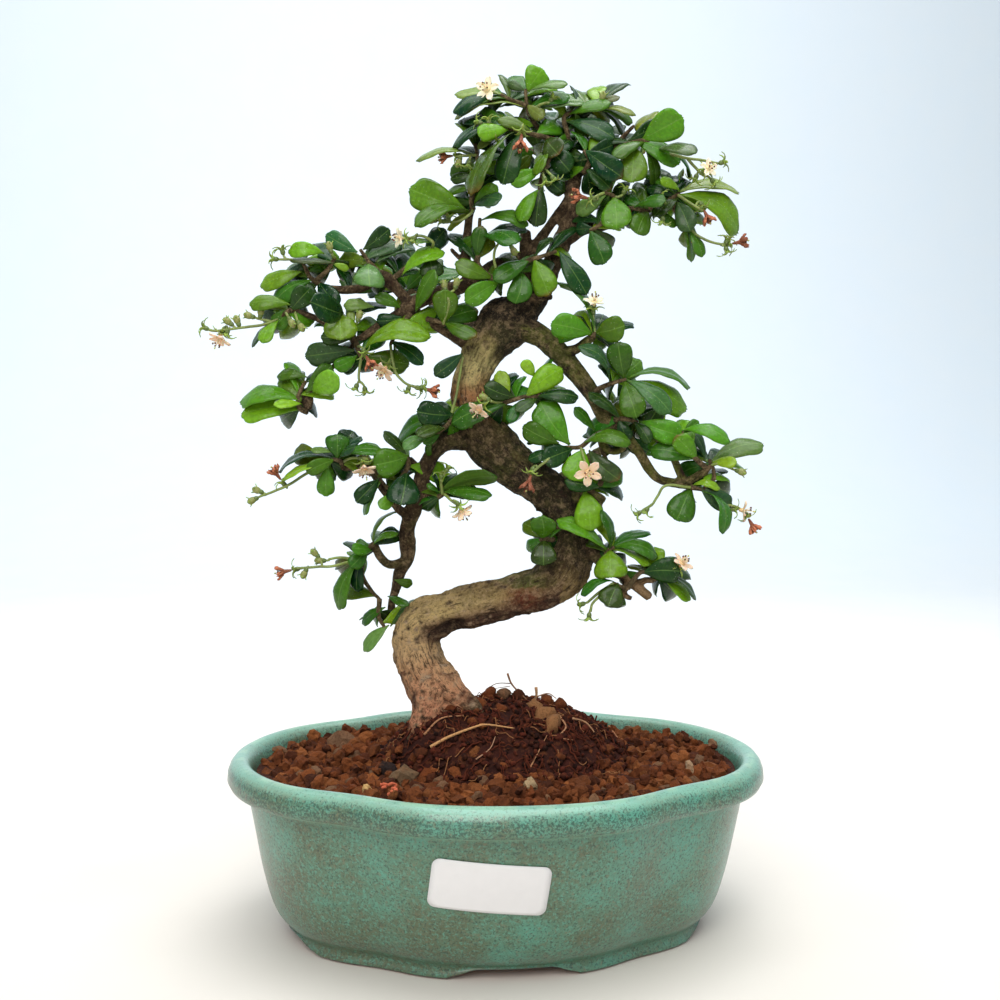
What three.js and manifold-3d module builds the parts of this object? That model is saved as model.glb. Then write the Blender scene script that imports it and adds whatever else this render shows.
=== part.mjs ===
// Fukien tea bonsai grown in a glazed quatrefoil pot. Millimetres, +Z up, the pot's long side along X.
import * as THREE from 'three';
import Module from 'manifold-3d';

const wasm = await Module();
wasm.setup();

// Driving dimensions of the pot
const rimHalfLength = 96.5;
const rimHalfDepth = 78;
const potHeight = 62.6;
const cornerDip = 0.05;
const cornerAngle = 0.93;
const cornerSpread = 0.22;
const wallThickness = 5;
const wallAtFloor = 12;
const wallAtRim = -0.4;
const lipUnderside = 48;
const floorUnderside = 3.6;
const floorTop = 13;
const footWall = 9;
const longSideGap = 21.5;
const shortSideGap = 27;
const drainHoleRadius = 7;
const drainHoleOffset = 38;
const drainHoleSides = 16;
const outlineSteps = 32;

// Driving dimensions of the soil
const gravelLevel = 59.3;
const grainPitch = 14;
const grainRise = 2.3;
const moundPitch = 14;
const moundGrainRise = 1.8;
const moundCentre = [4, 8];
const moundHalfLength = 46;
const moundHalfDepth = 40;
const moundRise = 20.5;
const pieceGap = 0.3;

// Driving dimensions of the plant
const bladeThickness = 0.7;
const bladeRatio = 0.43;
const shortestMiddleBlade = 11.5;
const shortestBigBlade = 19;
const bladeBow = 0.09;
const twigRadius = 1.05;
const stalkRadius = 0.55;
const leafClearance = 0.42;
const bloomGap = 0.35;

// The plant is laid out as it is seen from the front: x across, z up, y away from the eye
const eyeDistance = 434.2;
const eyeHeight = 167.2;
const potTurn = 0.117;
const turnCos = Math.cos(potTurn);
const turnSin = Math.sin(potTurn);
const eye = turned(0, -eyeDistance, eyeHeight);

function turned(x, y, z) {
  return new THREE.Vector3(x * turnCos + y * turnSin, -x * turnSin + y * turnCos, z);
}

// A point seen at x, z in the plane of the trunk, moved y away from the eye along its line of sight
function seen(x, z, y) {
  const spread = 1 + y / eyeDistance;
  return turned(x * spread, y, eyeHeight + (z - eyeHeight) * spread);
}

// Repeatable random numbers from a seed
function randomSource(seed) {
  let state = seed >>> 0;
  return () => {
    state = (state + 0x6d2b79f5) >>> 0;
    let mixed = state;
    mixed = Math.imul(mixed ^ (mixed >>> 15), mixed | 1);
    mixed ^= mixed + Math.imul(mixed ^ (mixed >>> 7), mixed | 61);
    return ((mixed ^ (mixed >>> 14)) >>> 0) / 4294967296;
  };
}

// Bodies are held as points and triangles until they are joined
function signedVolume(body) {
  let sum = 0;
  for (const [a, b, c] of body.triangles) {
    const first = body.points[a];
    const second = body.points[b];
    const third = body.points[c];
    sum += first.dot(new THREE.Vector3().crossVectors(second, third));
  }
  return sum / 6;
}

function outward(body) {
  if (signedVolume(body) >= 0) return body;
  const flipped = body.triangles.map(([a, b, c]) => [a, c, b]);
  return { points: body.points, triangles: flipped };
}

function toSolid(body) {
  const facing = outward(body);
  const vertProperties = new Float32Array(facing.points.length * 3);
  facing.points.forEach((point, index) => point.toArray(vertProperties, index * 3));
  const triVerts = new Uint32Array(facing.triangles.flat());
  return new wasm.Manifold(new wasm.Mesh({ numProp: 3, vertProperties, triVerts }));
}

function geometryBody(geometry) {
  const position = geometry.getAttribute('position');
  const points = [];
  const known = new Map();
  const remap = [];
  for (let i = 0; i < position.count; i += 1) {
    const point = new THREE.Vector3().fromBufferAttribute(position, i);
    const key = point.toArray().map((value) => value.toFixed(4)).join(' ');
    if (!known.has(key)) {
      known.set(key, points.length);
      points.push(point);
    }
    remap.push(known.get(key));
  }
  const index = geometry.index ? Array.from(geometry.index.array) : remap.map((_, i) => i);
  const triangles = [];
  for (let i = 0; i < index.length; i += 3) {
    const corner = [remap[index[i]], remap[index[i + 1]], remap[index[i + 2]]];
    if (new Set(corner).size === 3) triangles.push(corner);
  }
  return { points, triangles };
}

// A closed body from a stack of rings, its ends closed by fans
function ringBody(rings) {
  const count = rings[0].length;
  const points = rings.flat();
  const triangles = [];
  for (let level = 0; level < rings.length - 1; level += 1) {
    for (let i = 0; i < count; i += 1) {
      const next = (i + 1) % count;
      const low = level * count;
      const high = low + count;
      triangles.push([low + i, low + next, high + next], [low + i, high + next, high + i]);
    }
  }
  const last = (rings.length - 1) * count;
  for (let i = 1; i < count - 1; i += 1) {
    triangles.push([0, i + 1, i], [last, last + i, last + i + 1]);
  }
  return { points, triangles };
}

// A closed body from one ring with a point before and after it
function spindleBody(low, ring, high) {
  const count = ring.length;
  const points = [...ring, low, high];
  const triangles = [];
  for (let i = 0; i < count; i += 1) {
    const next = (i + 1) % count;
    triangles.push([i, next, count + 1], [next, i, count]);
  }
  return { points, triangles };
}

// A tapering round limb through points, with rings set square to its run
function limbBody(points, radii, sides, relief = 0) {
  const rings = [];
  let side = new THREE.Vector3(0.31, -0.9, 0.3);
  for (let i = 0; i < points.length; i += 1) {
    const back = points[Math.max(0, i - 1)];
    const ahead = points[Math.min(points.length - 1, i + 1)];
    const run = ahead.clone().sub(back).normalize();
    side = side.clone().addScaledVector(run, -side.dot(run)).normalize();
    const other = new THREE.Vector3().crossVectors(run, side);
    const ring = [];
    for (let k = 0; k < sides; k += 1) {
      const angle = (k / sides) * Math.PI * 2;
      const broad = Math.sin(3 * angle + i * 0.9);
      const narrow = 0.6 * Math.sin(5 * angle - i * 1.7);
      const reach = radii[i] * (1 + relief * (broad + narrow));
      ring.push(points[i].clone()
        .addScaledVector(side, reach * Math.cos(angle))
        .addScaledVector(other, reach * Math.sin(angle)));
    }
    rings.push(ring);
  }
  return ringBody(rings);
}

// Limb table row: points as [x, z, radius, y]
function limbFromRow(row, sides, extra = 0, relief = 0) {
  const points = row.map(([x, z, , y]) => seen(x, z, y));
  const radii = row.map(([, , radius]) => radius + extra);
  return limbBody(points, radii, sides, relief);
}

function joined(solids) {
  return solids.slice(1).reduce((whole, solid) => whole.add(solid), solids[0]);
}

// Only the largest body of a solid is kept, loose scraps are dropped
function largest(solid) {
  const pieces = solid.decompose();
  let best = pieces[0];
  for (const piece of pieces) {
    if (piece.volume() > best.volume()) best = piece;
  }
  return best;
}

// Quatrefoil outline of the pot: an oval drawn in a little at four places
function outlineRadius(angle) {
  let pull = 0;
  for (const centre of [cornerAngle, -cornerAngle, Math.PI - cornerAngle, cornerAngle - Math.PI]) {
    const off = Math.atan2(Math.sin(angle - centre), Math.cos(angle - centre));
    pull += Math.exp(-((off / cornerSpread) ** 2));
  }
  return 1 - cornerDip * pull;
}

function outlineRing(halfLength, halfDepth, height) {
  const ring = [];
  for (let i = 0; i < outlineSteps; i += 1) {
    const angle = (i / outlineSteps) * Math.PI * 2;
    const scale = outlineRadius(angle);
    const x = halfLength * Math.cos(angle) * scale;
    const y = halfDepth * Math.sin(angle) * scale;
    ring.push(new THREE.Vector3(x, y, height));
  }
  return ring;
}

// Outer wall of the pot from foot to rim: height, half length and half depth
const outerWall = [
  [0, 75.6, 52.3],
  [3.4, 74.6, 51.4],
  [7.5, 78.4, 55.2],
  [13, 81.2, 58.8],
  [24, 84.2, 63.2],
  [38, 86.9, 67.9],
  [52.6, 89.7, 71.2],
  [52.9, 94.2, 75.6],
  [55.5, rimHalfLength, rimHalfDepth],
  [60.5, 95, 76.6],
  [potHeight, 92.2, 73.8],
];

function wallAt(height) {
  for (let i = 1; i < outerWall.length; i += 1) {
    if (height <= outerWall[i][0]) {
      const [low, lowLength, lowDepth] = outerWall[i - 1];
      const [high, highLength, highDepth] = outerWall[i];
      const part = (height - low) / (high - low);
      return [lowLength + (highLength - lowLength) * part, lowDepth + (highDepth - lowDepth) * part];
    }
  }
  return [rimHalfLength, rimHalfDepth];
}

function outerBody(extra) {
  const rings = outerWall.map(([height, length, depth]) => (
    outlineRing(length + extra, depth + extra, height)
  ));
  return ringBody(rings);
}

// The hollow of the pot, drawn in by an inset for what lies in it
const cavityHeights = [24, lipUnderside, potHeight + 2];
function cavityBody(inset, lowest) {
  const rings = [lowest, ...cavityHeights].map((height) => {
    const [length, depth] = wallAt(Math.min(height, lipUnderside));
    let wall = wallThickness;
    if (height === lowest) wall = wallAtFloor;
    if (height > potHeight) wall = wallAtRim;
    return outlineRing(length - wall - inset, depth - wall - inset, height);
  });
  return ringBody(rings);
}

function boxBody(length, depth, height, x, y, z) {
  const geometry = new THREE.BoxGeometry(length, depth, height);
  geometry.translate(x, y, z);
  return geometryBody(geometry);
}

function rodBody(radius, low, high, x, y, sides) {
  const rings = [low, high].map((height) => {
    const ring = [];
    for (let i = 0; i < sides; i += 1) {
      const angle = (i / sides) * Math.PI * 2;
      ring.push(new THREE.Vector3(x + radius * Math.cos(angle), y + radius * Math.sin(angle), height));
    }
    return ring;
  });
  return ringBody(rings);
}

// The gap between two feet is an ogee arch cut straight through: how far each corner of the arch lies
// inside the gap's half width, and its height
const footArch = [[-0.5, -1], [1, 0.9], [5, 2.1], [9, floorUnderside]];
function footGapBody(halfWidth, along) {
  const right = footArch.map(([inside, height]) => new THREE.Vector2(halfWidth - inside, height));
  const left = footArch.map(([inside, height]) => new THREE.Vector2(inside - halfWidth, height));
  const shape = new THREE.Shape([...right, ...left.reverse()]);
  const reach = 3 * rimHalfLength;
  const geometry = new THREE.ExtrudeGeometry(shape, { depth: reach, bevelEnabled: false });
  geometry.rotateX(Math.PI / 2);
  geometry.translate(0, reach / 2, 0);
  if (along === 'x') geometry.rotateZ(Math.PI / 2);
  return geometryBody(geometry);
}

function makePot() {
  let pot = toSolid(outerBody(0)).subtract(toSolid(cavityBody(0, floorTop)));
  const [, footLength, footDepth] = outerWall[0];
  const recess = [-1, floorUnderside].map((height) => (
    outlineRing(footLength - footWall, footDepth - footWall, height)
  ));
  pot = pot.subtract(toSolid(ringBody(recess)));
  pot = pot.subtract(toSolid(footGapBody(longSideGap, 'y')));
  pot = pot.subtract(toSolid(footGapBody(shortSideGap, 'x')));
  for (const side of [-1, 1]) {
    const hole = rodBody(drainHoleRadius, 0, floorTop + 5, side * drainHoleOffset, 0, drainHoleSides);
    pot = pot.subtract(toSolid(hole));
  }
  return pot;
}

// A drain mesh lies on the floor over each hole
const meshSide = 20;
const meshThickness = 0.8;
const meshSlot = [2.4, 14];
function makeDrainMesh(side) {
  const base = floorTop + pieceGap;
  const centre = side * drainHoleOffset;
  let mesh = toSolid(boxBody(meshSide, meshSide, meshThickness, centre, 0, base + meshThickness / 2));
  for (const across of [-1, 0, 1]) {
    const x = centre + across * meshSlot[0] * 2;
    mesh = mesh.subtract(toSolid(boxBody(meshSlot[0], meshSlot[1], 4, x, 0, base)));
  }
  return mesh;
}

// A bare white label follows the curve of the front wall
const labelWidth = 37;
const labelHeight = 17;
const labelCentre = [-10, 35.3];
const labelTilt = -0.09;
const labelThickness = 0.5;
const labelCorner = 2.5;
function makeLabel() {
  const shell = toSolid(outerBody(pieceGap + labelThickness)).subtract(toSolid(outerBody(pieceGap)));
  const corner = labelCorner;
  const halfWidth = labelWidth / 2;
  const halfHeight = labelHeight / 2;
  const shape = new THREE.Shape();
  shape.moveTo(-halfWidth + corner, -halfHeight);
  shape.lineTo(halfWidth - corner, -halfHeight);
  shape.lineTo(halfWidth, -halfHeight + corner);
  shape.lineTo(halfWidth, halfHeight - corner);
  shape.lineTo(halfWidth - corner, halfHeight);
  shape.lineTo(-halfWidth + corner, halfHeight);
  shape.lineTo(-halfWidth, halfHeight - corner);
  shape.lineTo(-halfWidth, -halfHeight + corner);
  const geometry = new THREE.ExtrudeGeometry(shape, { depth: rimHalfDepth, bevelEnabled: false });
  geometry.rotateZ(labelTilt);
  geometry.rotateX(Math.PI / 2);
  geometry.translate(labelCentre[0], -rimHalfDepth / 2, labelCentre[1]);
  return largest(shell.intersect(toSolid(geometryBody(geometry))));
}

const sheetBase = 5;

// A sheet of grains: hexagons with raised middles and low corners, over a flat base
function grainSheetBody(pitch, rise, levelAt, halfLength, halfDepth, seed) {
  const random = randomSource(seed);
  const step = pitch / Math.sqrt(3);
  const rowStep = pitch / 2;
  const columns = Math.ceil((2 * halfLength) / step) + 1;
  const rows = Math.ceil((2 * halfDepth) / rowStep) + 1;
  const jitter = step * 0.3;
  const points = [];
  const grid = [];
  for (let row = 0; row < rows; row += 1) {
    grid.push([]);
    for (let column = 0; column < columns; column += 1) {
      const slant = column - Math.floor(row / 2) - row;
      const raised = ((slant % 3) + 3) % 3 === 0;
      const x = -halfLength + (column + (row % 2) * 0.5) * step + (random() - 0.5) * jitter;
      const y = -halfDepth + row * rowStep + (random() - 0.5) * jitter;
      const lift = raised ? rise * (0.7 + 0.6 * random()) : -0.3 * random();
      grid[row].push(points.length);
      points.push(new THREE.Vector3(x, y, levelAt(x, y) + lift));
    }
  }
  const triangles = [];
  const floorPoints = points.length;
  for (const point of points.slice()) points.push(new THREE.Vector3(point.x, point.y, sheetBase));
  const addFace = (a, b, c) => {
    triangles.push([a, b, c], [a + floorPoints, c + floorPoints, b + floorPoints]);
  };
  for (let row = 0; row < grid.length - 1; row += 1) {
    for (let column = 0; column < columns - 1; column += 1) {
      const a = grid[row][column];
      const b = grid[row][column + 1];
      const c = grid[row + 1][column];
      const d = grid[row + 1][column + 1];
      if (row % 2) {
        addFace(a, b, d);
        addFace(a, d, c);
      } else {
        addFace(a, b, c);
        addFace(b, d, c);
      }
    }
  }
  const rim = [];
  for (let column = 0; column < columns; column += 1) rim.push(grid[0][column]);
  for (let row = 1; row < grid.length; row += 1) rim.push(grid[row][columns - 1]);
  for (let column = columns - 2; column >= 0; column -= 1) rim.push(grid[grid.length - 1][column]);
  for (let row = grid.length - 2; row > 0; row -= 1) rim.push(grid[row][0]);
  for (let i = 0; i < rim.length; i += 1) {
    const a = rim[i];
    const b = rim[(i + 1) % rim.length];
    triangles.push([a, a + floorPoints, b + floorPoints], [a, b + floorPoints, b]);
  }
  return { points, triangles };
}

function moundShare(x, y) {
  const across = (x - moundCentre[0]) / moundHalfLength;
  const deep = (y - moundCentre[1]) / moundHalfDepth;
  return Math.max(0, 1 - across * across - deep * deep);
}

function moundPlug(extra, lowest) {
  const rings = [lowest, 110].map((height) => {
    const ring = [];
    for (let i = 0; i < 26; i += 1) {
      const angle = (i / 26) * Math.PI * 2;
      const wave = 1 + 0.04 * Math.sin(3 * angle + 1) + 0.03 * Math.sin(5 * angle);
      const x = moundCentre[0] + (moundHalfLength * wave + extra) * Math.cos(angle);
      const y = moundCentre[1] + (moundHalfDepth * wave + extra) * Math.sin(angle);
      ring.push(new THREE.Vector3(x, y, height));
    }
    return ring;
  });
  return ringBody(rings);
}

const soilBase = floorTop + meshThickness + 2 * pieceGap;
function makeGravel() {
  const dip = (x, y) => gravelLevel + 0.6 * Math.sin(x * 0.11 + 1) + 0.5 * Math.sin(y * 0.13);
  const sheet = grainSheetBody(grainPitch, grainRise, dip, 98, 80, 11);
  let gravel = toSolid(sheet).intersect(toSolid(cavityBody(pieceGap, soilBase)));
  gravel = gravel.subtract(toSolid(moundPlug(pieceGap, floorTop)));
  return largest(gravel);
}

function makeRootBall(trunkHole) {
  const dome = (x, y) => {
    const share = moundShare(x, y);
    return gravelLevel - 0.5 + moundRise * share ** 0.8 + 0.9 * Math.sin(x * 0.33) * Math.sin(y * 0.29 + 1);
  };
  const sheet = grainSheetBody(moundPitch, moundGrainRise, dome, 60, 56, 23);
  let ball = toSolid(sheet).intersect(toSolid(moundPlug(0, soilBase)));
  ball = ball.intersect(toSolid(cavityBody(pieceGap, soilBase)));
  return largest(ball.subtract(trunkHole));
}

// Every limb as a row of points: x and z as seen, radius, and y away from the eye
const trunkRow = [
  [-22.2, 58.5, 10.2, 0], [-21.6, 68, 9.4, 0], [-21.5, 78, 8.9, 1], [-25, 87, 9.2, 2], [-28.5, 94.5, 9, 3],
  [-30, 102, 8.6, 4], [-27, 108.5, 8.2, 3], [-20, 111.2, 7.8, 1], [-9.5, 114.5, 7.8, 0], [3, 118, 7.8, -2],
  [12, 120.5, 7.7, -3], [20, 123.5, 8.1, -5], [24.8, 129.5, 8.1, -5], [26, 137, 6.9, -5], [25, 144, 6.3, -4],
  [20, 154.5, 7, -3], [9, 162, 7.6, -1], [-3, 173, 8.8, 0], [-9.5, 183, 7.3, 0], [-11.5, 193, 6.5, 0],
  [-9, 202.5, 6.8, 0], [-3.5, 211.5, 8.3, 1], [3, 218.5, 9.2, 2], [8.5, 223.5, 5.6, 2],
];

const branchRows = [
  [[4, 219, 6.5, 2], [8, 222, 6, 2], [14, 230, 4.5, 2], [17.5, 237, 3.4, 1], [20, 243, 3.8, 1],
    [23, 250, 3.4, 0], [25.5, 256, 2.8, 0], [25, 264, 2.6, 0], [26, 272, 2.3, 1], [22, 279, 1.6, 1],
    [15, 284, 1.2, 0]],
  [[22, 247, 3, 0], [24, 249, 3.4, 0], [30, 251.5, 2.6, -1], [37, 252.5, 1.9, -2], [44, 254.5, 1.8, -3],
    [49, 257, 1.7, -3], [54, 259, 1.4, -4], [57.5, 259.5, 1.1, -4]],
  [[25.5, 270, 2, 1], [31, 274, 1.6, 0], [36, 278, 1.3, -1], [40, 281, 1, -2], [47, 288, 0.8, -4]],
  [[14, 229, 3.2, 2], [10, 235, 2.4, 1], [8.5, 241, 2.2, 1], [8.5, 250, 1.9, 1]],
  [[9, 240, 1.8, 1], [10.8, 243, 1.9, 0], [16.3, 251, 1.7, 0], [21.9, 259, 1.6, 0],
    [24.5, 263.5, 1.4, 0]],
  [[9, 224.5, 2.4, 0], [13, 226.5, 1.4, -4], [18, 226.5, 1.1, -7]],
  [[-11, 232, 1.9, -1], [-13, 238, 1.9, -2], [-12, 254, 1.5, -2], [-10.5, 258, 1.1, -2]],
  [[-13, 239, 1.2, -2], [-15.5, 240.5, 1, -3], [-18.5, 243.5, 0.8, -3]],
  [[10, 232, 3.4, 2], [5, 239, 3.4, 1], [-2, 237, 3, 0], [-10, 232, 2.8, -2], [-20, 228.5, 2.6, -4],
    [-27, 226, 2.6, -6], [-33, 223, 2.6, -8], [-37, 220, 2, -8], [-42, 217.5, 1.6, -8],
    [-47, 214, 1.5, -9], [-52, 210.5, 1.4, -9], [-55, 212, 1.3, -9], [-64, 217, 1.2, -10],
    [-70, 219.5, 1.1, -11], [-75, 221, 1, -12]],
  [[-32, 223, 2.2, -8], [-37, 228, 1.9, -8], [-41, 233, 1.9, -9], [-44, 234.5, 1.5, -9]],
  [[-38, 229, 1.7, -8], [-44, 232, 1.5, -8], [-50, 229.5, 1.6, -9], [-56, 228.5, 1.6, -9],
    [-63, 229, 1.4, -10], [-66, 230, 1.2, -10]],
  [[-8, 208, 3.4, 1], [-9.5, 209, 3.2, 0], [-16, 212.5, 2.8, -2], [-22, 215.5, 2.2, -4],
    [-29, 218.5, 1.2, -6], [-33, 219.5, 0.9, -7]],
  [[-51, 211, 1.1, -9], [-57, 205, 0.9, -9], [-61, 200.5, 0.9, -9], [-65, 196, 0.9, -10],
    [-69, 192.5, 1.4, -10], [-70, 189, 2.3, -10], [-70, 185.5, 1.8, -10]],
  [[-7, 176, 4, 0], [-12, 175, 4.4, -2], [-19, 174.5, 3.6, -4], [-24.5, 169.5, 2.9, -5],
    [-28, 162, 2.8, -5], [-29, 156, 2.8, -4], [-31.5, 149, 3, -2], [-33.5, 143, 2.8, 0],
    [-33.5, 137, 3.1, 2], [-33.5, 132, 2.6, 4], [-36, 127, 2.2, 6], [-37.5, 121, 1.7, 8],
    [-39, 116, 1.4, 10], [-39, 112, 1.6, 11], [-37.7, 108.5, 1.1, 12]],
  [[-32, 146, 1.7, -1], [-37, 150, 1.7, -3], [-40, 154, 1.6, -4], [-43, 158, 1.6, -5],
    [-46, 163, 1.6, -6], [-52, 165, 1.7, -7], [-57.5, 165.5, 2.2, -8], [-59.5, 165.8, 1.4, -8]],
  [[-28, 162, 2, -5], [-33, 168, 1.2, -7]],
  [[-29, 155.5, 1.8, -4], [-22.5, 154, 1.5, -7]],
  [[-33.5, 131, 1.8, 3], [-40, 129.5, 1.6, 0], [-44, 133.5, 1.5, -2], [-45.5, 137, 1.4, -3]],
  [[0, 212, 5.5, 1], [4, 214.5, 5.2, 0], [10, 214.5, 4.3, -2], [16, 211.5, 3.8, -3],
    [21.5, 206, 3.6, -4], [26.5, 200, 3.4, -5], [30.5, 195, 3.2, -6], [34.3, 189.8, 3.1, -7],
    [38, 183.5, 3.1, -8],
    [42, 179, 2.6, -9], [46.5, 175, 2.1, -9], [50, 171, 1.9, -10], [53.5, 165.5, 1.8, -10],
    [57, 161.5, 1.7, -11], [62, 160, 1.8, -11], [66, 159.5, 1.8, -12], [69, 158.5, 1.2, -12]],
  [[20, 206.5, 2.2, -4], [27, 208, 1.7, -8], [31, 211, 1.6, -10], [33.5, 212.5, 1.2, -11]],
  [[40, 180, 1.8, -9], [37, 175, 1.5, -11], [39, 171.5, 1.4, -12], [43, 171.5, 1.2, -12],
    [45, 173, 1, -12]],
  [[66.5, 160, 1.5, -12], [63, 168, 1.3, -13], [59.5, 173.5, 1.3, -13], [56.5, 176, 1, -13]],
  [[66.5, 159.5, 1.4, -12], [72, 163, 1.5, -13], [74.5, 164.5, 1.5, -13]],
  [[25, 136, 3, -5], [27, 138, 2.6, -7], [34, 134, 2.4, -9], [38, 130.5, 2.3, -11], [43, 127, 2.1, -12],
    [47, 124.5, 2, -13], [52, 120.5, 1.7, -14], [54.5, 118.5, 1.6, -14]],
  [[47, 124.5, 1.6, -13], [45, 119.5, 1.3, -14], [48, 118, 1, -15]],
  [[49, 123, 1.5, -13], [53, 124.6, 1.3, -14], [56, 124.5, 1.1, -15]],
  [[22, 152, 2.6, -4], [27, 154.5, 2, -7], [32, 155, 1.8, -9], [35, 155, 1.7, -10],
    [38, 153.5, 1.2, -11]],
  [[35, 154.5, 1.1, -10], [37, 149, 0.9, -11], [38, 145.5, 0.8, -11]],
  [[-5, 210, 4, 4], [-10, 215, 3, 12], [-20, 222, 2.3, 25], [-30, 227, 1.6, 38]],
  [[25, 262, 1.9, 2], [21, 268, 1.7, 12], [17, 273, 1.5, 24], [14, 277, 1.2, 36]],
  [[16, 157, 3.2, 1], [24, 162, 2.4, 12], [34, 170, 2, 24], [43, 175, 1.4, 37]],
];

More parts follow.
